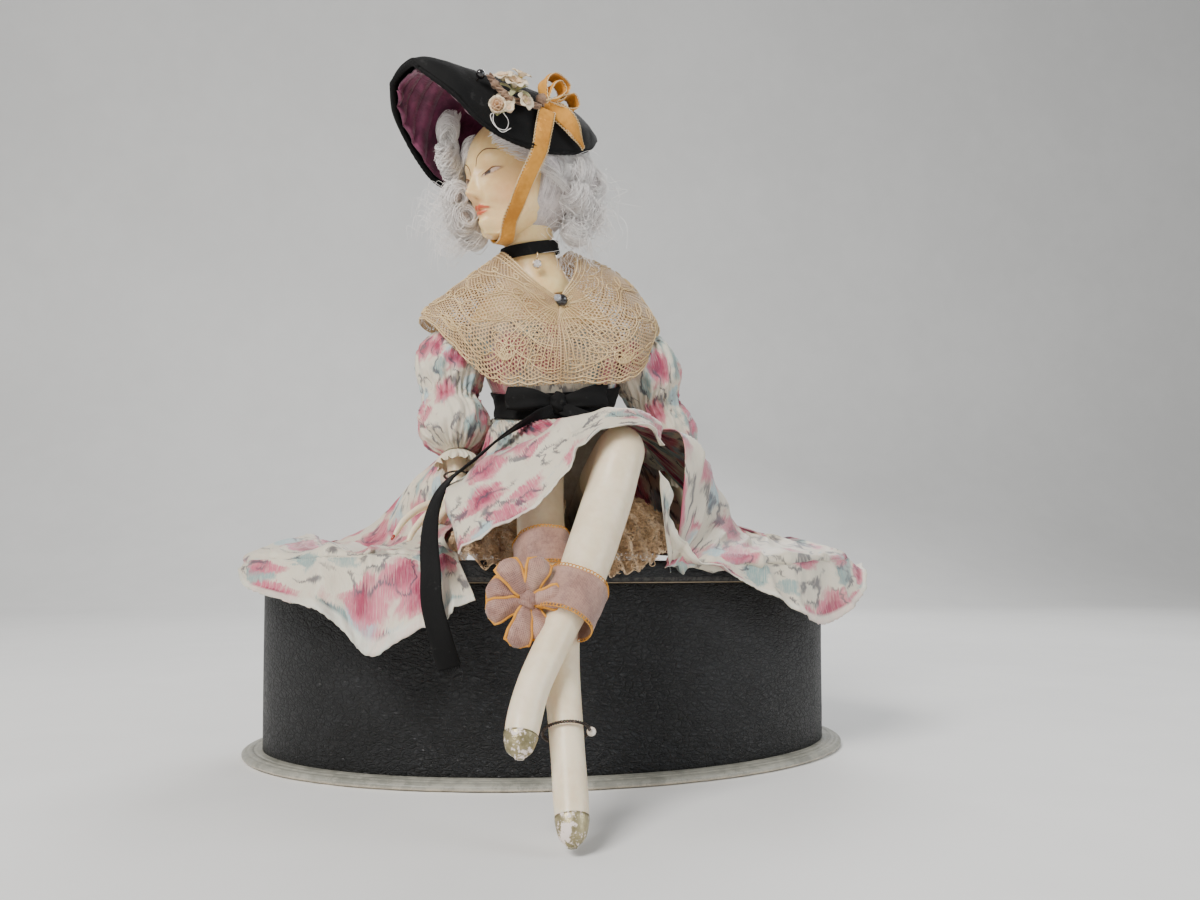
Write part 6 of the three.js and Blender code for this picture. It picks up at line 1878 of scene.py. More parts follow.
FICHU_ROWS = [
    [(0, -17, 97), (-9, -17, 103), (-20, -8, 116), (-20, 5, 116), (-8, 13, 119), (2, 10, 121),
     (6, 1, 121), (6, -10, 110), (-0.4, -18, 97)],
    [(0, -21, 88), (-20, -18, 99), (-33, -8, 106), (-33, 6, 105), (-7, 18, 107), (18, 15, 113),
     (25, 2, 114), (20, -14, 101), (-2, -22.2, 88)],
    [(0, -24, 76), (-26, -20, 84), (-44.5, -8, 94.8), (-44.5, 8, 94.8), (-5, 22, 90),
     (35, 17.5, 98), (39, 2, 99), (30, -17, 84), (-2, -25.2, 76)],
    [(0, -22, 64), (-25, -18, 65), (-47.7, -8, 87.8), (-47.7, 8, 88.2), (-5, 23, 76),
     (38, 18.5, 91), (42.2, 2, 92), (27, -17, 68), (-2, -23.2, 64)],
]


def on_surface(points, lift, u, w):
    """Places lifted a little off a surface, at each share down and across it."""
    down, wide = points.shape[:2]
    normal = facing(points)
    r, c = np.clip(u, 0, 1) * (down - 1), np.clip(w, 0, 1) * (wide - 1)
    i, j = np.minimum(r.astype(int), down - 2), np.minimum(c.astype(int), wide - 2)
    a, b = (r - i)[:, None], (c - j)[:, None]
    spot = (
        points[i, j] * (1 - a) * (1 - b) + points[i + 1, j] * a * (1 - b)
        + points[i, j + 1] * (1 - a) * b + points[i + 1, j + 1] * a * b
    )
    return spot + normal[i, j] * lift


def cord_paths(points):
    """The cords couched on the collar: corded edges, scrolls with small loops, leaves of
    loops within loops, and fans of cords at the front."""
    paths, girths = [], []

    def add(u, w, girth=1.0, lift=0.30):
        paths.append(on_surface(points, lift, u, w))
        girths.append(np.full(len(u), girth))

    w = np.linspace(0.004, 0.996, 420)
    for level, girth in ((0.015, 1.25), (0.045, 0.9), (0.075, 0.9)):
        add(level + 0 * w, w, girth)
    scallop = 0.965 + 0.022 * np.abs(np.sin(np.pi * 26 * w))
    add(scallop, w, 1.2)
    add(scallop - 0.035, w, 0.9)
    rng = np.random.default_rng(12)
    for lane, turns, high, loop in (
        (0.17, 21, 0.045, 0.035), (0.36, 25, 0.060, 0.045), (0.56, 29, 0.060, 0.045),
        (0.76, 31, 0.065, 0.045),
    ):
        s = np.linspace(0.008, 0.992, 1500)
        phase = rng.uniform(0, 6)
        turn = 2 * np.pi * turns * s + phase
        slow = 2 * np.pi * turns / 3.7 * s
        add(
            lane + high * np.sin(slow) + loop * np.cos(turn),
            s + 0.0135 * np.sin(turn) * 1.5, 0.85,
        )
        add(lane + 0.07 + high * np.sin(slow + 0.3), s, 0.8)
    for centre, tilt, size in (
        (0.30, 0.0, 1.0), (0.42, 0.3, 1.0), (0.58, 0.0, 1.0), (0.70, -0.3, 1.0), (0.20, 0.2, 0.9),
        (0.80, -0.2, 0.9), (0.10, 0.4, 0.9), (0.905, -0.4, 0.9),
    ):
        for leaf in (-1, 0, 1):
            for ring in (1.0, 0.68, 0.38):
                a = np.linspace(0, 2 * np.pi, 30)
                length, width = 0.125 * size * ring, 0.011 * size * ring
                along_leaf = length * (1 - np.cos(a)) / 2
                across_leaf = width * np.sin(a)
                turn = leaf * 0.85 + tilt
                add(
                    0.84 - along_leaf * math.cos(turn) - across_leaf * 6 * math.sin(turn) * 0.3,
                    centre + leaf * 0.004 + across_leaf + along_leaf * math.sin(turn) * 0.16, 0.85,
                    0.36,
                )
    for end, sign in ((0.004, 1), (0.996, -1)):
        for k in range(9):
            s = shares(26)
            spread = 0.010 + 0.013 * k
            add(0.02 + 0.86 * s ** (0.8 + 0.05 * k), end + sign * spread * s**1.3, 0.8)
    return paths, girths


def make_collar():
    """The wide net collar round the shoulders, and the cords worked on it."""
    points = net([overs(*row) for row in FICHU_ROWS], 90, 300)
    u = shares(90)[:, None]
    w = shares(300)[None, :]
    sag = 0.22 * ripple(points, 13, 55) * smooth(0.05, 0.4, u)
    ease = np.abs(np.sin(np.pi * 13 * w + 0.8 * ripple(points, 24, 56)))
    lift = 0.55 * (1 - ease) ** 1.3 * smooth(0.35, 1.0, u)
    normal = facing(points)
    middle = points.mean((0, 1))
    sign = np.sign(np.sum(normal[45, 150] * (points[45, 150] - middle)))
    points = points + normal * (sign * (sag + lift))[..., None]
    points = clear_of(points, tree_of("bust", "bodice"), 0.30, 3.0)
    item = piece("net_collar", "doll", "net_lace", grid(points), ["fichu"], 0.22)
    paths, girths = cord_paths(points if sign > 0 else points[:, ::-1])
    threads("collar_cords", "doll", "cord_silk", paths, 0.23, 5, girths, "net_lace")


# Velvet sash

def make_sash():
    """Velvet belt with its bow, short tail and long frayed tail."""
    angle = whole_turn(220)
    profile = rounded([(0.3, -4.75), (1.15, -4.75), (1.15, 4.75), (0.3, 4.75)], 0.35, 3)
    dense = close_set(profile, 0.8)
    rows = np.stack([waist_place(angle, out, shift) for out, shift in dense])
    lines = np.sin(rows[..., 2] * 1.6 + 1.4 * np.sin(3 * angle))
    crease = ripple(rows, 9, 14) * 0.14 + 0.16 * lines
    out = np.array([p[0] for p in dense])[:, None]
    rows += unit(np.stack([np.cos(angle), np.sin(angle), 0 * angle], -1)) * (
        np.minimum(crease, 0.25) * (out > 0.7)
    )[..., None]
    piece("velvet_belt", "doll", "black_velvet", grid(rows, around=True, looped=True).outward(),
          ["sash_belt"])

    knot = vec(-1.35, -21.2, 127.8)
    t = shares(60)

    def strip(points, widths, across, **more):
        return ribbon(curve(np.array(points, float), t), widths, across, **more)

    left = [knot + vec(*p) for p in (
        (-1, 0.8, 0), (-9, -1.4, 1), (-17, 1.5, 1.5), (-18, 3.2, 1.5), (-10, 1.4, 0.5),
        (-1, 1.4, -0.5),
    )]
    right = [knot + vec(*p) for p in (
        (1, 0.8, 0), (9, -1, 2), (17, 2.6, 4), (18, 5, 4.4), (10, 1.6, 2), (1, 1.4, 0),
    )]
    short = [knot + vec(*p) for p in ((1, -0.6, -2), (7, -3, -5), (12.5, -5, -7.5))]
    twist = lambda u, s: 0.35 * np.sin(9 * u + 3 * s) * (1 - s**2)
    shells = [
        strip(left, [4.6, 8.3, 8.3, 4.6], (0, 0, 1), curl=0.10, columns=11, edge=twist),
        strip(right, [4.6, 8, 7.5, 4.6], (0, 0, 1), curl=0.10, columns=11, edge=twist),
        strip(short, [4.6, 5.6, 6], [(0.5, 0, 1), (0.6, 0, 1)], columns=9, edge=twist),
        ball(knot, (3.0, 2.3, 4.1), 26, lambda d: 1 + 0.07 * np.sin(9 * d[..., 2] + 3 * d[..., 0])),
    ]
    piece("velvet_bow", "doll", "black_velvet", shells, ["sash_bow"])
    route = np.concatenate([[knot + vec(-2.5, -1.5, -3)], overs(
        (-12, -27, 50.5), (-23, -42, 42), (-33, -54, 32.5), (-42, -62, 24), (-46, -70, 15),
        (-47, -78, 6), (-46.5, -84, -3), (-46, -86.5, -12.4), (-43.5, -87.5, -22.3),
        (-41, -86.5, -30.6),
    )])
    path = curve(route, shares(150))
    tail = ribbon(path, [4, 5.4, 6.8], [(0.4, 0, 1), (0.9, -0.5, 0.3), (1, 0, 0)], 0.8, 11,
                  edge=lambda u, s: 0.25 * np.sin(14 * u + 2 * s))
    piece("velvet_tail", "doll", "black_velvet", tail, ["sash_tail"])
    rng = np.random.default_rng(5)
    frays, girths = [], []
    end, way = path[-1], unit(path[-1] - path[-4])
    side = unit(np.cross(path[-1] - path[-4], vec(0, 1, 0)))
    for _ in range(60):
        start = end + side * rng.uniform(-3.2, 3.2) - way * 0.6
        bend = rng.normal(0, 0.35, 3)
        s = shares(6)[:, None]
        frays.append(start + way * s * rng.uniform(1.0, 2.8) + bend * s**2)
        girths.append(1.1 - 0.8 * s[:, 0])
    threads("tail_fray", "doll", "black_velvet", frays, 0.10, 3, girths, "black_velvet")


# Ribbons on the legs, and the jewels

def band(centre, axis, radius, width, thick, sides, swell):
    """A closed band round an axis, with its outer face swelling here and there."""
    axis, first, second = frame_of(axis, vec(0.3, 0.9, 0.2))
    angle = whole_turn(sides)
    profile = rounded([
        (0, -width / 2), (thick, -width / 2), (thick, width / 2), (0, width / 2),
    ], thick * 0.45, 3)
    dense = close_set(profile, width / 12)
    round_way = first[None] * np.cos(angle)[:, None] + second[None] * np.sin(angle)[:, None]
    points = np.stack([
        centre + round_way * (radius + out) + axis * shift for out, shift in dense
    ])
    out = np.array([p[0] for p in dense])[:, None]
    points += round_way[None] * (swell(points) * (out > thick * 0.4))[..., None]
    return grid(points, around=True, looped=True).outward()


RIGHT_GARTER, LEFT_GARTER = vec(-13.5, -83.8, 70), vec(-9.2, -105.9, 58.8)
ROSETTE = vec(-21.2, -109.4, 59.8)


def garter_rows(centre, axis, low, high, seed):
    """An organza band round a leg, gathered a little, as places."""
    width, down, wide = 12.0, 26, 120
    axis = unit(axis)
    path = centre + axis * np.linspace(-width / 2, width / 2, down)[:, None]
    radius = np.linspace(low, high, down) + 0.45
    rows = rings(path, radius, radius, (1, 0, 0), wide)
    sway = ripple(rows, 7, seed)
    out = unit(rows - path[:, None])
    return rows + out * (0.22 * sway + 0.25)[..., None]


def make_garters():
    """Organza garters with gold loops at their edges, and a rosette of seven cupped
    petals on the left one."""
    for name, centre, axis, low, high, seed in (
        ("right", RIGHT_GARTER, RIGHT_SHIN[1] - RIGHT_SHIN[0], 8.15, 8.15, 1),
        ("left", LEFT_GARTER, LEFT_SHIN[2] - LEFT_SHIN[1], 8.1, 7.5, 2),
    ):
        rows = garter_rows(centre, axis, low, high, seed)
        item = piece(f"organza_{name}_garter", "doll", "organza", grid(rows, around=True),
                     [f"{name}_garter"], 0.22)
        edges = [np.concatenate([rows[k], rows[k][:1]]) for k in (0, -1)]
        ways = [-unit(axis), unit(axis)]
        outs = [np.broadcast_to(way, edge.shape).copy() for way, edge in zip(ways, edges)]
        edges = [edge + way * 0.3 for edge, way in zip(edges, ways)]
        picots(f"{name}_garter_loops", "doll", "gold_velvet", edges, outs, 0.55, 0.17, 1.0)
    shells, edges = [], []
    face = vec(0.1, -1.0, 0.05)
    for direction, length, lift in (
        ((-5, 3, 8), 12.5, 2.2), ((3, 1, 9), 12, 0.9), ((8, -1, 1), 9.5, 1.9),
        ((4, -2, -9), 11.5, 0.7), ((-3, -2, -10), 13, 2.1), ((-9, 2, -3), 11.5, 0.9),
        ((-9, 4, 3), 12, 0.5),
    ):
        way = unit(direction)
        across = unit(np.cross(way, face))
        out = np.cross(across, way)
        out = out if out[1] < 0 else -out
        path = curve(np.array([ROSETTE] + [
            ROSETTE + way * length * share + out * (lift + more)
            for share, more in ((0.35, 0), (0.72, 1.2), (0.94, 0.5), (1.0, -1.0))
        ]), shares(40))
        widths = [1.5, 4.6, 6.6, 6.6, 2.6]
        shells.append(ribbon(path, widths, across, 0.22, 11, curl=0.38,
                             edge=lambda u, s: 0.10 * np.sin(15 * u + 5 * s)))
        (left, _), (right, _) = rims_of(path, widths, across, 0.38)
        edges.append(np.concatenate([left[4:], right[:3:-1]]))
    shells.append(ball(ROSETTE + vec(0, -0.6, 0), (2.3, 1.8, 2.5), 18,
                       lambda d: 1 + 0.10 * np.sin(8 * d[..., 2] + 4 * d[..., 0])))
    piece("organza_rosette", "doll", "organza", shells, ["garter_bow"])
    threads("rosette_edging", "doll", "gold_velvet", edges, 0.42, 6, slot="organza")


def twisted_ring(centre, axis, radius, girth, turns):
    """Two wires twisted together into a ring."""
    axis, first, second = frame_of(axis, vec(0.3, 0.9, 0.2))
    angle = whole_turn(260)
    out = first * np.cos(angle)[:, None] + second * np.sin(angle)[:, None]
    shells = []
    for start in (0, np.pi):
        turn = turns * angle + start
        away, ahead = radius + girth * np.cos(turn), girth * np.sin(turn)
        path = centre + out * away[:, None] + axis * ahead[:, None]
        shells.append(tube(path, girth * 0.95, 7, loop=True))
    return shells


def faceted(centre, radii, sides, levels):
    """A cut stone or bead with flat faces."""
    rise = np.linspace(-1, 1, levels + 2)[1:-1] * np.pi / 2 * 0.86
    rows = []
    for k, a in enumerate(rise):
        turn = whole_turn(sides) + (k % 2) * np.pi / sides
        rows.append(np.stack([
            np.cos(a) * np.cos(turn), np.cos(a) * np.sin(turn), np.full(sides, math.sin(a)),
        ], -1))
    points = np.stack(rows) * np.asarray(radii, float) + np.asarray(centre, float)
    return closed(points)


def flat_faced(item):
    """Leaves the faces of a cut stone flat."""
    item.data.polygons.foreach_set("use_smooth", np.zeros(len(item.data.polygons), bool))


def make_jewels():
    """Choker, pendant, brooch, bracelet and anklet."""
    piece("velvet_choker", "doll", "black_velvet",
          band(over(-10, -2, 119), (-2, -2, 10), 10.4, 4.6, 0.9, 140,
               lambda p: 0.10 * ripple(p, 6, 8)), ["choker"])
    low, high = (np.array(corner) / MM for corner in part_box("pendant"))
    middle = (low + high) / 2
    stone_at = vec(middle[0], middle[1], low[2] + 1.7)
    stone = faceted(stone_at, (1.7, 1.05, 1.7), 10, 5)
    ring_at = vec(middle[0], middle[1], high[2] - 1.6)
    a = whole_turn(40)
    circle = lambda c, r, way: c + np.outer(np.cos(a), way) * r + np.outer(np.sin(a), UP) * r
    flat_faced(piece("pendant_stone", "pendant", "rhinestone", stone, ["pendant"]))
    setting = [
        tube(circle(stone_at, 1.62, vec(1, 0, 0)), 0.22, 8, loop=True),
        tube(circle(ring_at, 1.15, vec(0, 1, 0)), 0.26, 8, loop=True),
    ]
    for k in range(6):
        turn = k * np.pi / 3 + 0.2
        spot = stone_at + vec(math.cos(turn), 0, math.sin(turn)) * 1.5
        setting.append(ball(spot + vec(0, -0.55, 0), (0.26, 0.30, 0.26), 8))
    piece("pendant_setting", "pendant", "gilt", setting)
    bead = faceted(over(-0.2, -20.4, 95.5), (2.3, 1.84, 2.3), 12, 7)
    flat_faced(piece("brooch_bead", "doll", "black_glass", bead, ["brooch"]))
    stone = faceted(over(-1.8, -21.7, 95.9), (1.45, 1.1, 1.45), 9, 5)
    flat_faced(piece("brooch_stone", "doll", "rhinestone", stone))
    piece("wire_bracelet", "bracelet", "dark_wire",
          twisted_ring(vec(-37.59, -12.46, 101.22), over(-37.5, -13, 29) - over(-39, -4, 61),
                       4.55, 0.25, 22), ["bracelet"])
    centre = vec(-11.94, -117.2, 26.31)
    piece("wire_anklet", "anklet", "dark_wire",
          twisted_ring(centre, (-0.0094, -0.6102, -0.7922), 6.07, 0.25, 26), ["anklet"])
    piece("anklet_bead", "anklet", "pearl_bead",
          ball(centre + vec(6.6, 0, 0), (1.25, 1.25, 1.25), 16))


# The hat

HAT_AHEAD, HAT_BESIDE = vec(-0.883, -0.469, 0), vec(0.469, -0.883, 0)
# rows of (place from front to back, half width, height of the edge, height of the crown)
HAT_SECTIONS = np.array([
    [50, 8.9, 169, 171.5], [46, 15, 163, 173.5], [40, 19.1, 157.5, 174.5], [33, 21.4, 151, 175],
    [23, 24.5, 146, 175.5], [8, 25.5, 145.5, 176], [-9, 21.9, 151, 175.5], [-20, 15.3, 158, 173.5],
    [-28, 7.9, 165, 170.5], [-31, 3.1, 168, 169],
])


def hat_places(sections, angle):
    """Places of the hat for sections of (ahead, half width, rim, ridge) and angles."""
    ahead, half, rim, ridge = (sections[..., k, None] for k in range(4))
    a = np.asarray(angle, float)
    return (
        over(-13, -5, 0) + ahead[..., None] * HAT_AHEAD
        + (half * np.sin(a))[..., None] * HAT_BESIDE
        + (rim + (ridge - rim) * np.cos(a))[..., None] * UP
    )


def hat_surface(down, wide):
    """The hat's inner face as places, from its front tip to its back."""
    angles = np.radians([-90, -62, -32, 0, 32, 62, 90])
    rows = hat_places(HAT_SECTIONS, angles)
    points = net(rows, down, wide)
    normal = facing(points)
    if normal[down // 2, wide // 2, 2] < 0:
        normal = -normal
    return points, normal


def on_hat(share, degrees, lift):
    """A place on the hat's outside, for the trimming."""
    a = math.radians(degrees)
    section = along(HAT_SECTIONS, share)
    spot = hat_places(section, np.array([a]))[0]
    return spot + (UP * math.cos(a) + HAT_BESIDE * math.sin(a)) * (1.6 + lift)


def make_hat():
    """Velvet hat with a rolled velvet rim and a gathered silk lining."""
    points, normal = hat_surface(120, 110)
    s, w = shares(120)[:, None], np.linspace(-1, 1, 110)[None, :]
    dent = 0.28 * ripple(points, 17, 61) + 0.10 * ripple(points, 5, 62)
    pleat = np.abs(np.sin(np.pi * 9 * s + 0.9 * ripple(points, 30, 63)))
    dent += 0.45 * (1 - pleat) ** 1.6 * smooth(0.35, 0.95, np.abs(w))
    shell = points + normal * (0.8 + 0.35 * np.clip(dent, -0.4, 1.2))[..., None]
    piece("velvet_hat", "doll", "black_velvet", grid(shell), ["hat_shell"], 1.3)
    rim = np.concatenate([
        points[:, 0], points[-1, 1:-1], points[::-1, -1], points[0, -2:0:-1],
    ])
    keep = [rim[0]]
    for p in rim[1:]:
        if np.linalg.norm(p - keep[-1]) > 0.8:
            keep.append(p)
    rim = np.array(keep)
    for _ in range(3):
        rim = 0.5 * rim + 0.25 * (np.roll(rim, 1, 0) + np.roll(rim, -1, 0))
    closed = np.concatenate([rim, rim[:1]])
    rim = curve(closed, shares(360))[:-1]
    piping = tube(rim, 1.0, 10, loop=True)
    tight = 1 + 0.10 * np.sin(np.arange(len(rim)) * 2.2)
    count = len(rim)
    rows = piping.points.reshape(count, 10, 3)
    piping.points = (rim[:, None] + (rows - rim[:, None]) * tight[:, None, None]).reshape(-1, 3)
    piece("rolled_rim", "doll", "black_velvet", piping)
    puffs = np.abs(np.sin(np.pi * 11 * s))
    gather = np.abs(np.sin(np.pi * 26 * w + 1.2 * ripple(points, 14, 64)))
    reach = smooth(0.42, 0.30, s)
    depth = 0.45 + 2.3 * puffs**0.7 * reach + 0.7 * (1 - gather) * reach
    depth += 0.5 * reach * np.minimum(creased(w * 24, s * 90, 66, 130, 6, 0.5, 1.3), 1.5)
    edge = smooth(1.0, 0.93, np.abs(w)) * smooth(0, 0.02, s)
    lining = points - normal * (0.35 + depth * edge * 0.9)[..., None]
    item = piece("silk_lining", "doll", "plum_silk", grid(lining[2:-2, 2:-2]), ["hat_lining"],
                 0.3)


def petals(centre, out, count, length, width, open_by, start=0.0, cup=0.35):
    """A ring of cloth petals round a centre."""
    out, first, second = frame_of(out, vec(0.2, 0.3, 0.9))
    shells = []
    for k in range(count):
        a = start + 2 * np.pi * k / count
        way = first * math.cos(a) + second * math.sin(a)
        across = np.cross(out, way)
        points = [
            centre, centre + way * length * 0.35 * open_by + out * length * 0.32,
            centre + way * length * 0.8 * open_by + out * length * (0.72 - 0.35 * open_by),
            centre + way * length * (0.95 * open_by + 0.1) + out * length * (1.0 - 0.75 * open_by),
        ]
        shells.append(ribbon(
            curve(np.array(points), shares(12)),
            [width * 0.35, width * 0.95, width, width * 0.35], across, 0.22, 7, curl=cup,
        ))
    return shells


def tinted(shells, colour, amount):
    """Shells painted one colour over their finish."""
    for shell in shells:
        shell.tint = np.tile(np.array([*colour, amount]), (len(shell.points), 1))
    return shells


def make_trimming():
    """Rosebud, blossoms, sprig, bead-headed pin, and the gold velvet bow on the hat."""
    head, point = on_hat(0.357, 56, 2.6), on_hat(0.36, 50, -9)
    piece("pin_head", "doll", "black_glass", ball(head, (1.6, 1.6, 1.6), 18), ["hat_pin"])
    pin = np.array([head * (1 - s) + point * s for s in shares(12)])
    piece("pin_stem", "doll", "dark_wire", tube(pin, np.linspace(0.36, 0.18, 12), 8))
    cream, peach = (0.86, 0.74, 0.54), (0.78, 0.50, 0.30)
    green, gold = (0.24, 0.27, 0.09), (0.56, 0.46, 0.14)
    spot, out = on_hat(0.392, 79, 2.0), unit(on_hat(0.392, 79, 3) - on_hat(0.392, 79, 2))
    out = unit(out + HAT_AHEAD * 0.8 + vec(0, -0.2, -0.2))
    bud = tinted(petals(spot - out * 1.2, out, 5, 5.8, 5.4, 0.46, cup=0.55), cream, 0.8)
    bud += tinted(petals(spot - out * 1.0, out, 4, 5.3, 4.4, 0.28, 0.5, 0.7), peach, 0.55)
    bud += tinted(petals(spot - out * 0.8, out, 3, 4.8, 3.3, 0.12, 0.9, 0.9), peach, 0.75)
    bud += tinted(petals(spot - out * 2.0, out, 5, 3.6, 1.6, 0.62, 0.3, 0.2), green, 0.9)
    lesser = on_hat(0.435, 74, 1.5)
    bud += tinted(petals(lesser, out, 5, 3.4, 2.8, 0.5, 0.2, 0.4), cream, 0.7)
    bud += tinted([ball(lesser + out * 0.4, (1.3, 1.2, 1.4), 12)], peach, 0.6)
    piece("cloth_rosebud", "doll", "cloth_flower", bud, ["rosebud"])
    centre = on_hat(0.475, 60, 2.0)
    face = unit(vec(0.15, -0.8, 0.6))
    flowers = []
    for offset, size in (
        ((0, -0.6, 1.6), 5.4), ((-3, 0.4, -4.5), 4.6), ((-3.6, -0.6, 3.5), 4.6),
        ((3.2, -0.3, -3.4), 4.0), ((2.2, 0.4, 5.5), 4.2),
    ):
        c = centre + vec(*offset)
        way = unit(face + vec(*offset) * 0.12)
        flowers += tinted(petals(c, way, 6, size, size * 0.72, 0.80, offset[0], 0.3), cream, 0.8)
        inner = petals(c + way * 0.4, way, 5, size * 0.7, size * 0.5, 0.55, 0.4, 0.4)
        flowers += tinted(inner, peach, 0.35)
        flowers += tinted([ball(c + way * 0.9, (0.9, 0.8, 0.9), 9)], gold, 0.9)
    leaves = petals(centre + vec(0, 0.6, 0), face, 5, 6.2, 1.8, 0.95, 0.2, 0.1)
    flowers += tinted(leaves, green, 0.8)
    piece("cloth_blossoms", "doll", "cloth_flower", flowers, ["blossoms"])
    route = np.array([on_hat(*place) for place in (
        (0.378, 56, 3.6), (0.395, 60, 2.4), (0.42, 64, 1.9), (0.46, 66, 1.8), (0.53, 64, 1.8),
    )])
    path = curve(route, shares(90))
    tangent = slope(path)
    side = unit(np.cross(tangent, UP))
    rise = np.cross(side, tangent)
    stems = []
    for k in range(4):
        turn = np.linspace(0, 16, 90) + k * np.pi / 2
        stems.append(tube(
            path + side * (0.75 * np.cos(turn))[:, None] + rise * (0.75 * np.sin(turn))[:, None],
            np.full(90, 0.42), 6,
        ))
    for share, size in ((0.25, 1.5), (0.5, 1.35), (0.75, 1.3)):
        stems.append(ball(path[int(share * 89)], (size, size, size * 0.9), 14,
                          lambda d: 1 + 0.14 * np.sin(12 * d[..., 2] + 6 * d[..., 0])))
    stems.append(ball(on_hat(0.535, 60, 2.8), (2.3, 1.9, 2.1), 20,
                      lambda d: 1 + 0.12 * np.sin(14 * d[..., 2] + 7 * d[..., 0])))
    piece("dried_sprig", "doll", "dried_stem", stems, ["sprig"])
    stray = [curve(np.array([on_hat(*place) for place in places]), shares(30)) for places in (
        ((0.385, 82, 1.6), (0.372, 87, 1.6), (0.385, 92, 1.6), (0.41, 90, 1.7),
         (0.418, 84, 2.2), (0.40, 80, 2.4)),
        ((0.38, 84, 1.8), (0.38, 90, 1.7), (0.40, 93, 1.8), (0.43, 87, 1.9)),
    )]
    threads("stray_fibres", "doll", "mohair", stray, 0.13, 4, slot="mohair")
    knot = on_hat(0.555, 60, 2.2)

    def from_knot(*offsets):
        return [knot + HAT_AHEAD * a + HAT_BESIDE * b + UP * c for a, b, c in offsets]

    t = shares(60)
    shells, edges, outs = [], [], []
    for points, widths, across in (
        (from_knot((0, 0.4, 0), (1.2, 1, 6.5), (-3, 1, 10), (-8.5, 1, 7.5), (-6, 1, 2),
                   (0, 0.4, 0)),
         [3.4, 5.5, 5.5, 5.5, 4.6, 3.4], HAT_BESIDE),
        (from_knot((0, 0.4, 0), (-1, 2.5, 5), (-4, 2.5, 7), (-6, 2.5, 4.5), (-3.6, 2, 1.5),
                   (0, 1, 0)),
         [3.0, 4.6, 4.8, 4.8, 4.0, 3.0], HAT_BESIDE),
        (from_knot((0, 0.4, 0), (-6, 1.5, 3), (-11, 1, 5), (-12.5, 1, 1), (-7, 1, -1), (0, 0.2, 0)),
         [3.4, 5.5, 5.5, 5.5, 4.6, 3.4], HAT_BESIDE),
        (from_knot((-1, 0.5, -1), (-6, 2.6, -3.5), (-11, 3.2, -7.5), (-17, 0.5, -11.5)),
         [4.4, 5.8, 5.2, 1.0], HAT_BESIDE * 0.3 + UP),
    ):
        path = curve(np.array(points), t)
        shells.append(ribbon(path, widths, across, 0.7, 9,
                             edge=lambda u, s: 0.2 * np.sin(11 * u + 3 * s)))
        for edge, out in rims_of(path, widths, across):
            edges.append(edge)
            outs.append(out)
    shells.append(ball(knot, (2.3, 2.1, 2.1), 20, lambda d: 1 + 0.10 * np.sin(9 * d[..., 2])))
    piece("gold_bow", "doll", "gold_velvet", shells, ["hat_bow"])
    picots("bow_edging", "doll", "cord_silk", edges, outs, 0.50, 0.19, 1.15)


def make_strap():
    """The gold velvet strap, from the bow over the hat's edge, down the near cheek, under
    the chin and up the far side."""
    knot = on_hat(0.555, 60, 2.2)
    start = knot + HAT_AHEAD * -0.5 + HAT_BESIDE * 1.2 + UP * -3
    route = np.concatenate([[start], overs(
        (-8.8, -34.8, 151), (-10.0, -33.4, 144.3), (-12.9, -30.4, 138.0), (-15.3, -27.2, 132.8),
        (-17.2, -24.2, 128.0), (-19.3, -21.2, 123.2), (-19.8, -16.0, 119.2), (-20.6, -10, 119.0),
        (-22, -4.5, 120.4), (-23.5, 2.5, 126), (-25.5, 6, 134), (-28, 8, 144),
    )])
    path = curve(route, shares(170))
    across = [(1, 0.3, 0), (1, 0.4, 0.2), (0.6, 0.8, 0)]
    side = square_to(slope(path), turned(across, len(path)))
    strap = ribbon(path, [5.5, 5.5], across, 0.75, 11,
                   edge=lambda u, s: 0.12 * np.sin(23 * u) + 0.05 * s)
    piece("gold_strap", "doll", "gold_velvet", strap, ["chin_strap"])
    edges = [path + side * sign * 2.72 for sign in (-1, 1)]
    outs = [side * sign for sign in (-1, 1)]
    picots("strap_edging", "doll", "cord_silk", edges, outs, 0.50, 0.19, 1.15)


# The mohair wig

STRAND_PLACES = 20
NEAR_CURLS = [
    ((-2, -19, 144), (6, 6, 6)), ((5, -15, 145), (8, 7.5, 7)), ((11, -8, 143), (7.5, 8, 7.5)),
    ((5, -16, 136), (7, 6.5, 5.5)), ((11, -9, 133), (7, 7, 7)), ((7, -9, 126), (6, 6, 6.5)),
]
FAR_TUFTS = [
    ((-41.5, -6, 162), (4, 5, 7)), ((-40.5, -6, 149), (3.8, 4.5, 8)),
    ((-39, -6, 137), (4.5, 5, 6)), ((-36.5, -4, 129), (6, 6, 6)), ((-32, 2, 126), (6, 6, 6)),
    ((-33, 7, 138), (6, 7, 11)),
]


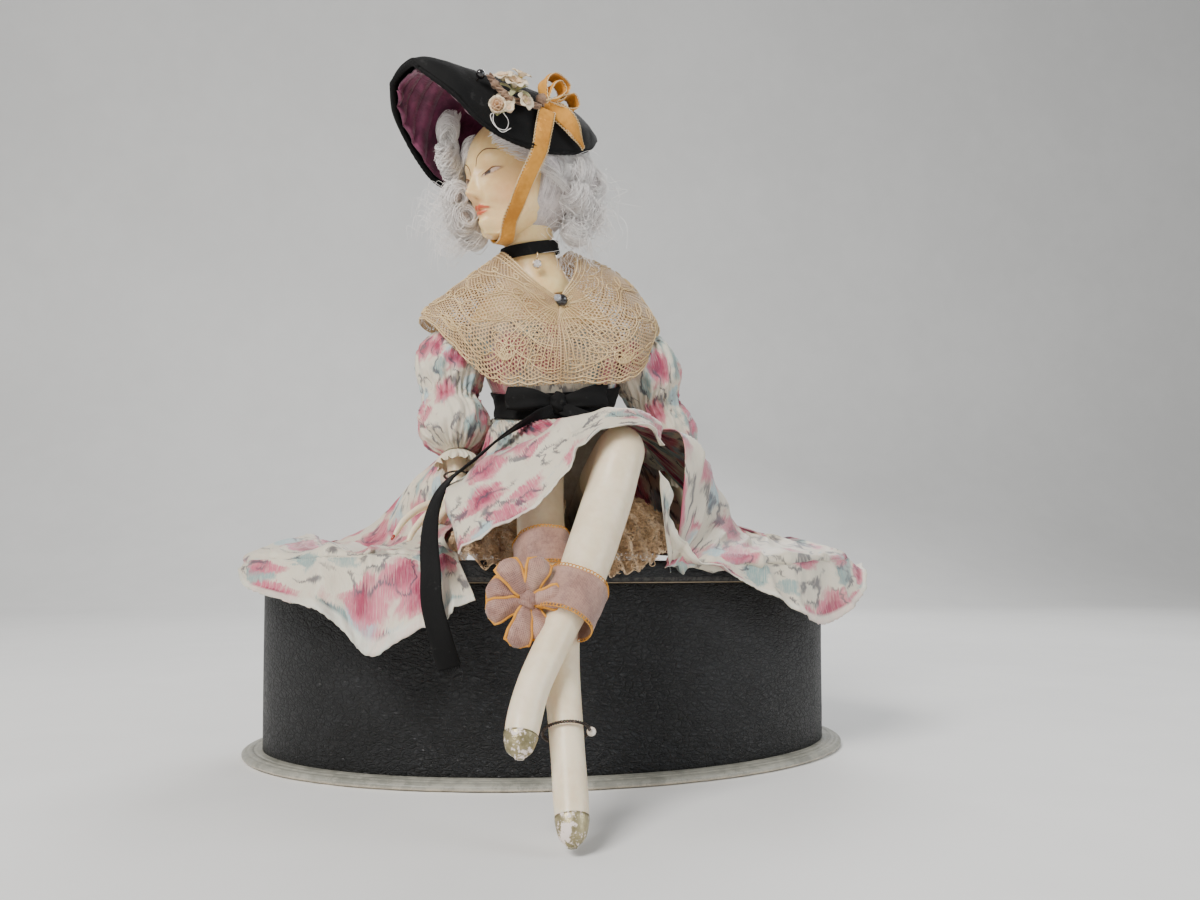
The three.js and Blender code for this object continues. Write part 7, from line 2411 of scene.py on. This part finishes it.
class Strands:
    """Fine hairs, each with its thickness along it."""

    def __init__(self):
        self.paths, self.girths = [], []

    def add(self, path, girth):
        self.paths.append(path)
        self.girths.append(girth)

    def curl(self, rng, centre, radii, axis, count, length, turns, loose):
        """Strands rolled into one curl round an axis."""
        axis, first, second = frame_of(axis, vec(0.1, 0.2, 0.97))
        scale = np.linalg.norm(np.stack([first, second]) * np.asarray(radii, float), axis=1)
        s = shares(STRAND_PLACES)
        for _ in range(count):
            start = rng.uniform(0, 2 * np.pi)
            turn = start + 2 * np.pi * turns * s * rng.uniform(0.7, 1.2)
            shelf = rng.uniform(-1, 1)
            full = np.sqrt(max(0.05, 1 - (shelf * 0.9) ** 2))
            shrink = (1 - 0.38 * s * rng.uniform(0.3, 1.3)) * full * rng.uniform(0.86, 1.04)
            waver = loose * np.sin(s * rng.uniform(3, 9) + rng.uniform(0, 6))
            crimp = 1 + 0.07 * np.sin(s * rng.uniform(14, 26) + rng.uniform(0, 6))
            self.add(
                centre + first * (np.cos(turn) * shrink * crimp * scale[0])[:, None]
                + second * (np.sin(turn) * shrink * crimp * scale[1])[:, None]
                + axis * (shelf * length + waver * length)[:, None],
                np.sin(np.pi * np.clip(s * 0.9 + 0.08, 0, 1)) ** 0.4 * rng.uniform(0.7, 1.15),
            )

    def lock(self, rng, route, radius, count, twist, spread):
        """Strands that run together along a route as one lock."""
        s = shares(STRAND_PLACES)
        for _ in range(count):
            path = curve(route, rng.uniform(0, 0.16) + (rng.uniform(0.82, 1) - 0.16) * s)
            tangent = slope(path)
            side = unit(np.cross(tangent, vec(0.2, 0.1, 0.97)))
            up = np.cross(side, tangent)
            turn = rng.uniform(0, 2 * np.pi) + 2 * np.pi * twist * s
            bulge = 0.45 + 0.55 * np.sin(np.pi * np.clip(s + 0.1, 0, 1))
            far = radius * rng.uniform(0.45, 1.0) * bulge
            far = far * (1 + spread * s * rng.uniform(-0.4, 0.8))
            waver = 0.25 * np.sin(s * rng.uniform(5, 14) + rng.uniform(0, 6))
            self.add(
                path + side * (np.cos(turn) * far + waver)[:, None]
                + up * (np.sin(turn) * far)[:, None],
                (1 - 0.55 * s) * rng.uniform(0.7, 1.1),
            )

    def loose_end(self, route):
        """One hair that thins out along a route."""
        self.add(curve(route, shares(STRAND_PLACES)), np.linspace(0.9, 0.4, STRAND_PLACES))


def curl_body(centre, radii, axis, seed):
    """The solid heart of a curl, ribbed like rolled hair."""
    axis = unit(axis)
    return ball(centre, np.asarray(radii, float) * 0.80, 26, lambda d: (
        1 + 0.035 * np.sin(16 * (d @ axis) + seed * 1.7)
        + 0.02 * np.sin(37 * (d @ axis) + 3 * d[..., 0])
    ))


def on_sides(route, sign):
    """A route over the head on one side, from rows of (ahead, beside, up)."""
    route = np.array(route, float)
    return head_place(route[:, 0], route[:, 1] * sign, route[:, 2])


def make_crown(rng, radius, share):
    """The hair close to the head, with a roll at each temple, and its strands."""
    crown = ball((0, 0, 0), (23.3, 22.3, 25.3), 44)
    local = crown.points
    hairline = 6.4 - 0.02 * (local[:, 2] - 4) ** 2 * (local[:, 2] > 4)
    local[:, 0] = np.minimum(local[:, 0], hairline)
    comb = np.sin(26 * np.arctan2(local[:, 1], local[:, 2] + 4))
    groove = 1 + 0.010 * comb * (local[:, 0] < 6)
    axes = np.stack([HEAD_AHEAD, HEAD_BESIDE, UP])
    middle = head_place(np.float64(-3), np.float64(0), np.float64(5))
    crown.points = (local * groove[:, None]) @ axes + middle
    bodies = [crown]
    t = shares(40)
    for sign in (1, -1):
        roll = curve(on_sides([
            [16.5, 6.0, 10.5], [15.0, 10.5, 8.8], [10.5, 16.0, 6.0], [4.0, 20.0, 2.0],
            [-3.5, 21.5, -3.0],
        ], sign), t)
        bodies.append(tube(roll, np.interp(t, [0, 0.2, 0.8, 1], [1.0, 2.9, 3.2, 1.2]), 16))
    # the crown and temple rolls take the darker mohair, painted shade under the strands
    piece("hair_crown", "doll", "painted_shade_hair", bodies, ["wig_crown"])
    hairs = Strands()
    s = shares(STRAND_PLACES)
    for _ in range(int(620 * share)):
        side = rng.choice([-1, 1])
        ahead = rng.uniform(-16, 9)
        start = rng.uniform(0.55, 0.9)
        fall = start + (rng.uniform(1.5, 2.25) - start) * s
        back = np.sqrt(np.clip(1 - (ahead / 26) ** 2, 0.1, 1))
        lift = 1 + 0.03 * np.sin(4 * s + rng.uniform(0, 6)) * rng.uniform(0, 1)
        a = ahead - 5 * s * rng.uniform(0.2, 1.4)
        across, up = 22.6 * np.sin(fall), 25.6 * np.cos(fall) + 5
        hairs.add(head_place(a - 3, side * across * back * lift, (up - 5) * back * lift + 5),
                  (1 - 0.5 * s) * rng.uniform(0.7, 1.1))
    for sign in (1, -1):
        layers = ((0.0, 1.0, 3.6), (-2.6, 1.05, 3.3), (3.0, 0.96, 2.8))
        for k, (rise, out, thick) in enumerate(layers):
            route = on_sides([
                [17.0 - k, 5.0, 11.0 + rise], [15.4, 10.0, 9.2 + rise], [11.0, 15.8, 6.0 + rise],
                [5.0, 19.3 * out, 2.0 + rise], [-2.5, 21.5 * out, -3.5 + rise],
                [-9.0, 20.5 * out, -8.0 + rise],
            ], sign)
            hairs.lock(rng, route, thick, int(85 * share), 0.8, 0.2)
    threads("crown_strands", "doll", "mohair", hairs.paths, radius, 3, hairs.girths, "mohair")


def make_near_curls(rng, radius, share):
    """Curls beside the near cheek and behind it, and the loose hairs under them."""
    bodies, hairs = [], Strands()
    for k, (centre, radii) in enumerate(NEAR_CURLS):
        axis = unit(vec(0.35 + 0.5 * math.sin(2.3 * k), 0.75, 0.25 - 0.12 * k))
        bodies.append(curl_body(over(*centre), radii, axis, k))
        hairs.curl(rng, over(*centre), np.array(radii) * 1.05, axis, int(150 * share),
                   radii[1] * 0.85, 1.4, 0.18)
    for k in range(int(260 * share)):
        centre, radii = NEAR_CURLS[rng.integers(1, 6)]
        start = over(*centre) + rng.normal(0, 1, 3) * np.array(radii) * 0.6
        drop = rng.uniform(6, 17)
        sway = rng.normal(0, 2.4, (2, 3)) * vec(1, 1, 0.3)
        route = np.array([
            start, start + vec(1, 0.5, -drop * 0.35) + sway[0],
            start + vec(1.5, 0.5, -drop * 0.75) + sway[1],
            start + vec(0.5, 0, -drop) + sway[0] * 1.2,
        ])
        if k % 3 == 0:
            away = np.array([[0, 0, 0], [2, 0, 6], [4.5, 0, 9], [7, 0, 11]])
            route += away * rng.uniform(0.3, 1.0)
        hairs.loose_end(route)
    # the curl bodies take the darker mohair, painted shade under the strands
    piece("hair_near_curls", "doll", "painted_shade_hair", bodies, ["wig_left"])
    threads("near_strands", "doll", "mohair", hairs.paths, radius, 3, hairs.girths, "mohair")


def make_far_tufts(rng, radius, share):
    """Tufts beside the far cheek, the lock in front of them, and their loose hairs."""
    bodies, hairs = [], Strands()
    for k, (centre, radii) in enumerate(FAR_TUFTS):
        axis = unit(vec(0.5 * math.sin(1.9 * k), 0.6, 0.7 * math.cos(2.6 * k)))
        bodies.append(curl_body(over(*centre), np.array(radii) * 0.78, axis, k + 9))
        hairs.curl(rng, over(*centre), np.array(radii) * 1.05, axis, int(165 * share),
                   max(radii) * 0.75, 1.1, 0.42)
    route = overs((-38, -9, 168), (-41, -7, 161), (-40, -6, 152), (-39, -6, 142), (-38.5, -6, 130))
    hairs.lock(rng, route, 3.2, int(150 * share), 1.6, 0.25)
    for k in range(int(220 * share)):
        centre, radii = FAR_TUFTS[rng.integers(2, 6)]
        start = over(*centre) + rng.normal(0, 1, 3) * np.array(radii) * 0.6
        reach = rng.uniform(4, 12)
        hairs.loose_end(np.array([
            start, start + vec(-reach * 0.4, -1, -reach * 0.5),
            start + vec(-reach * 0.9, -1, -reach * 0.3),
            start + vec(-reach, -1, -reach * 0.9) + rng.normal(0, 1.2, 3),
        ]))
    # the tuft bodies take the darker mohair, painted shade under the strands
    piece("hair_far_tufts", "doll", "painted_shade_hair", bodies, ["wig_right"])
    threads("far_strands", "doll", "mohair", hairs.paths, radius, 3, hairs.girths, "mohair")


def make_wig():
    """The crown, near curls and far tufts, each a soft body under many fine strands, the body
    painted darker as the shade inside the hair.
    """
    hair = bpy.context.scene.wax_doll_hair
    rng = np.random.default_rng(int(hair.seed))
    for make in (make_crown, make_near_curls, make_far_tufts):
        make(rng, hair.strand_radius / MM, hair.fullness)


# What a user can set

class WaxDollFinish(bpy.types.PropertyGroup):
    """Colours of the doll, its dress and the box."""
    lip_colour: FloatVectorProperty(
        name="Lips", description="Painted lips of the wax face", subtype="COLOR", size=3,
        min=0, max=1, default=(0.62, 0.12, 0.05))
    blush_colour: FloatVectorProperty(
        name="Blush", description="Warm paint on the cheeks and round the mouth",
        subtype="COLOR", size=3, min=0, max=1, default=(0.80, 0.36, 0.16))
    ground_colour: FloatVectorProperty(
        name="Silk ground", description="Ivory silk between the printed flowers",
        subtype="COLOR", size=3, min=0, max=1, default=(0.70, 0.635, 0.51))
    petal_colour: FloatVectorProperty(
        name="Petals", description="Outer colour of the printed flowers",
        subtype="COLOR", size=3, min=0, max=1, default=(0.58, 0.13, 0.20))


class WaxDollDress(bpy.types.PropertyGroup):
    """Sizes of the dress."""
    fold_depth: FloatProperty(
        name="Fold depth", description="How far the skirt's folds stand out",
        unit="LENGTH", min=0, max=0.004, default=0.0019)


class WaxDollHair(bpy.types.PropertyGroup):
    """Sizes of the mohair wig."""
    strand_radius: FloatProperty(
        name="Strand radius", description="Half the thickness of one strand",
        unit="LENGTH", min=0.00002, max=0.0004, default=0.00012, precision=5)
    fullness: FloatProperty(
        name="Fullness", description="Share of the strands that are made",
        subtype="FACTOR", min=0.1, max=1.3, default=1.0)
    seed: IntProperty(name="Seed", description="Which scatter the strands take", min=0, default=7)


# One operator for each piece or group of like pieces

class WAXDOLL_OT_finishes(bpy.types.Operator):
    """Make every material, and the trees for threads and loops"""
    bl_idname = "wax_doll.finishes"
    bl_label = "Finishes"

    def execute(self, context):
        make_thread_tree()
        make_loop_tree()
        make_finishes()
        return {"FINISHED"}


class WAXDOLL_OT_stage(bpy.types.Operator):
    """Set the camera, the pale floor and the soft lights"""
    bl_idname = "wax_doll.stage"
    bl_label = "Stage"

    def execute(self, context):
        make_stage()
        return {"FINISHED"}


class WAXDOLL_OT_box(bpy.types.Operator):
    """Make the base board, the leather wall and the lid"""
    bl_idname = "wax_doll.box"
    bl_label = "Leather box"

    def execute(self, context):
        make_box()
        return {"FINISHED"}


class WAXDOLL_OT_body(bpy.types.Operator):
    """Make the stuffed torso, thighs and upper arms"""
    bl_idname = "wax_doll.body"
    bl_label = "Stuffed body"

    def execute(self, context):
        make_stuffed_body()
        return {"FINISHED"}


class WAXDOLL_OT_legs(bpy.types.Operator):
    """Make the wax legs and their painted shoes"""
    bl_idname = "wax_doll.legs"
    bl_label = "Wax legs"

    def execute(self, context):
        make_legs()
        return {"FINISHED"}


class WAXDOLL_OT_head(bpy.types.Operator):
    """Make the wax head, its painted face, the neck and the shoulder plate"""
    bl_idname = "wax_doll.head"
    bl_label = "Wax head"

    def execute(self, context):
        make_head()
        return {"FINISHED"}


class WAXDOLL_OT_arms(bpy.types.Operator):
    """Make the wax forearms and hands"""
    bl_idname = "wax_doll.arms"
    bl_label = "Wax forearms"

    def execute(self, context):
        make_arms()
        return {"FINISHED"}


class WAXDOLL_OT_bodice(bpy.types.Operator):
    """Make the silk bodice"""
    bl_idname = "wax_doll.bodice"
    bl_label = "Bodice"

    def execute(self, context):
        make_bodice()
        return {"FINISHED"}


class WAXDOLL_OT_sleeves(bpy.types.Operator):
    """Make the puffed sleeves and their frills"""
    bl_idname = "wax_doll.sleeves"
    bl_label = "Sleeves"

    def execute(self, context):
        make_sleeves()
        return {"FINISHED"}


class WAXDOLL_OT_skirt(bpy.types.Operator):
    """Make the four panels of the printed skirt"""
    bl_idname = "wax_doll.skirt"
    bl_label = "Skirt"

    def execute(self, context):
        make_skirt()
        return {"FINISHED"}


class WAXDOLL_OT_petticoats(bpy.types.Operator):
    """Make the coarse lace under the skirt"""
    bl_idname = "wax_doll.petticoats"
    bl_label = "Lace petticoats"

    def execute(self, context):
        make_petticoats()
        return {"FINISHED"}


class WAXDOLL_OT_collar(bpy.types.Operator):
    """Make the net collar and the cords worked on it"""
    bl_idname = "wax_doll.collar"
    bl_label = "Net collar"

    def execute(self, context):
        make_collar()
        return {"FINISHED"}


class WAXDOLL_OT_sash(bpy.types.Operator):
    """Make the velvet belt, bow and tails"""
    bl_idname = "wax_doll.sash"
    bl_label = "Velvet sash"

    def execute(self, context):
        make_sash()
        return {"FINISHED"}


class WAXDOLL_OT_garters(bpy.types.Operator):
    """Make the organza garters and the rosette"""
    bl_idname = "wax_doll.garters"
    bl_label = "Garters"

    def execute(self, context):
        make_garters()
        return {"FINISHED"}


class WAXDOLL_OT_jewels(bpy.types.Operator):
    """Make the choker, pendant, brooch, bracelet and anklet"""
    bl_idname = "wax_doll.jewels"
    bl_label = "Jewels"

    def execute(self, context):
        make_jewels()
        return {"FINISHED"}


class WAXDOLL_OT_hat(bpy.types.Operator):
    """Make the velvet hat, its rolled rim and its silk lining"""
    bl_idname = "wax_doll.hat"
    bl_label = "Hat"

    def execute(self, context):
        make_hat()
        return {"FINISHED"}


class WAXDOLL_OT_trimming(bpy.types.Operator):
    """Make the flowers, sprig, pin and bow on the hat, and the chin strap"""
    bl_idname = "wax_doll.trimming"
    bl_label = "Hat trimming"

    def execute(self, context):
        make_trimming()
        make_strap()
        return {"FINISHED"}


class WAXDOLL_OT_wig(bpy.types.Operator):
    """Make the mohair wig"""
    bl_idname = "wax_doll.wig"
    bl_label = "Mohair wig"

    def execute(self, context):
        make_wig()
        return {"FINISHED"}


OPERATORS = (
    WAXDOLL_OT_finishes, WAXDOLL_OT_stage, WAXDOLL_OT_box, WAXDOLL_OT_body, WAXDOLL_OT_legs,
    WAXDOLL_OT_head, WAXDOLL_OT_arms, WAXDOLL_OT_bodice, WAXDOLL_OT_sleeves, WAXDOLL_OT_skirt,
    WAXDOLL_OT_petticoats, WAXDOLL_OT_collar, WAXDOLL_OT_sash, WAXDOLL_OT_garters,
    WAXDOLL_OT_jewels, WAXDOLL_OT_hat, WAXDOLL_OT_trimming, WAXDOLL_OT_wig,
)


class WAXDOLL_PT_parts(bpy.types.Panel):
    """Lists the doll's pieces and what can be set"""
    bl_label = "Wax doll"
    bl_idname = "WAXDOLL_PT_parts"
    bl_space_type = "VIEW_3D"
    bl_region_type = "UI"
    bl_category = "Wax doll"

    def draw(self, context):
        scene = context.scene
        for settings in (scene.wax_doll_finish, scene.wax_doll_dress, scene.wax_doll_hair):
            box = self.layout.box()
            for key in settings.__annotations__:
                box.prop(settings, key)
        for operator in OPERATORS:
            self.layout.operator(operator.bl_idname)


CLASSES = (WaxDollFinish, WaxDollDress, WaxDollHair) + OPERATORS + (WAXDOLL_PT_parts,)


def register():
    """Adds the settings, operators and panel."""
    for item in CLASSES:
        bpy.utils.register_class(item)
    bpy.types.Scene.wax_doll_finish = PointerProperty(type=WaxDollFinish)
    bpy.types.Scene.wax_doll_dress = PointerProperty(type=WaxDollDress)
    bpy.types.Scene.wax_doll_hair = PointerProperty(type=WaxDollHair)


def unregister():
    """Takes the settings, operators and panel away again."""
    del bpy.types.Scene.wax_doll_hair
    del bpy.types.Scene.wax_doll_dress
    del bpy.types.Scene.wax_doll_finish
    for item in reversed(CLASSES):
        bpy.utils.unregister_class(item)


def main():
    """Clears the default scene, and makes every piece."""
    for name in ("Cube", "Light", "Camera"):
        item = bpy.data.objects.get(name)
        if item is not None:
            bpy.data.objects.remove(item)
    register()
    for operator in OPERATORS:
        group, name = operator.bl_idname.split(".")
        if "FINISHED" not in getattr(getattr(bpy.ops, group), name)():
            raise RuntimeError(f"{operator.bl_label} was not made")


if __name__ == "__main__":
    main()
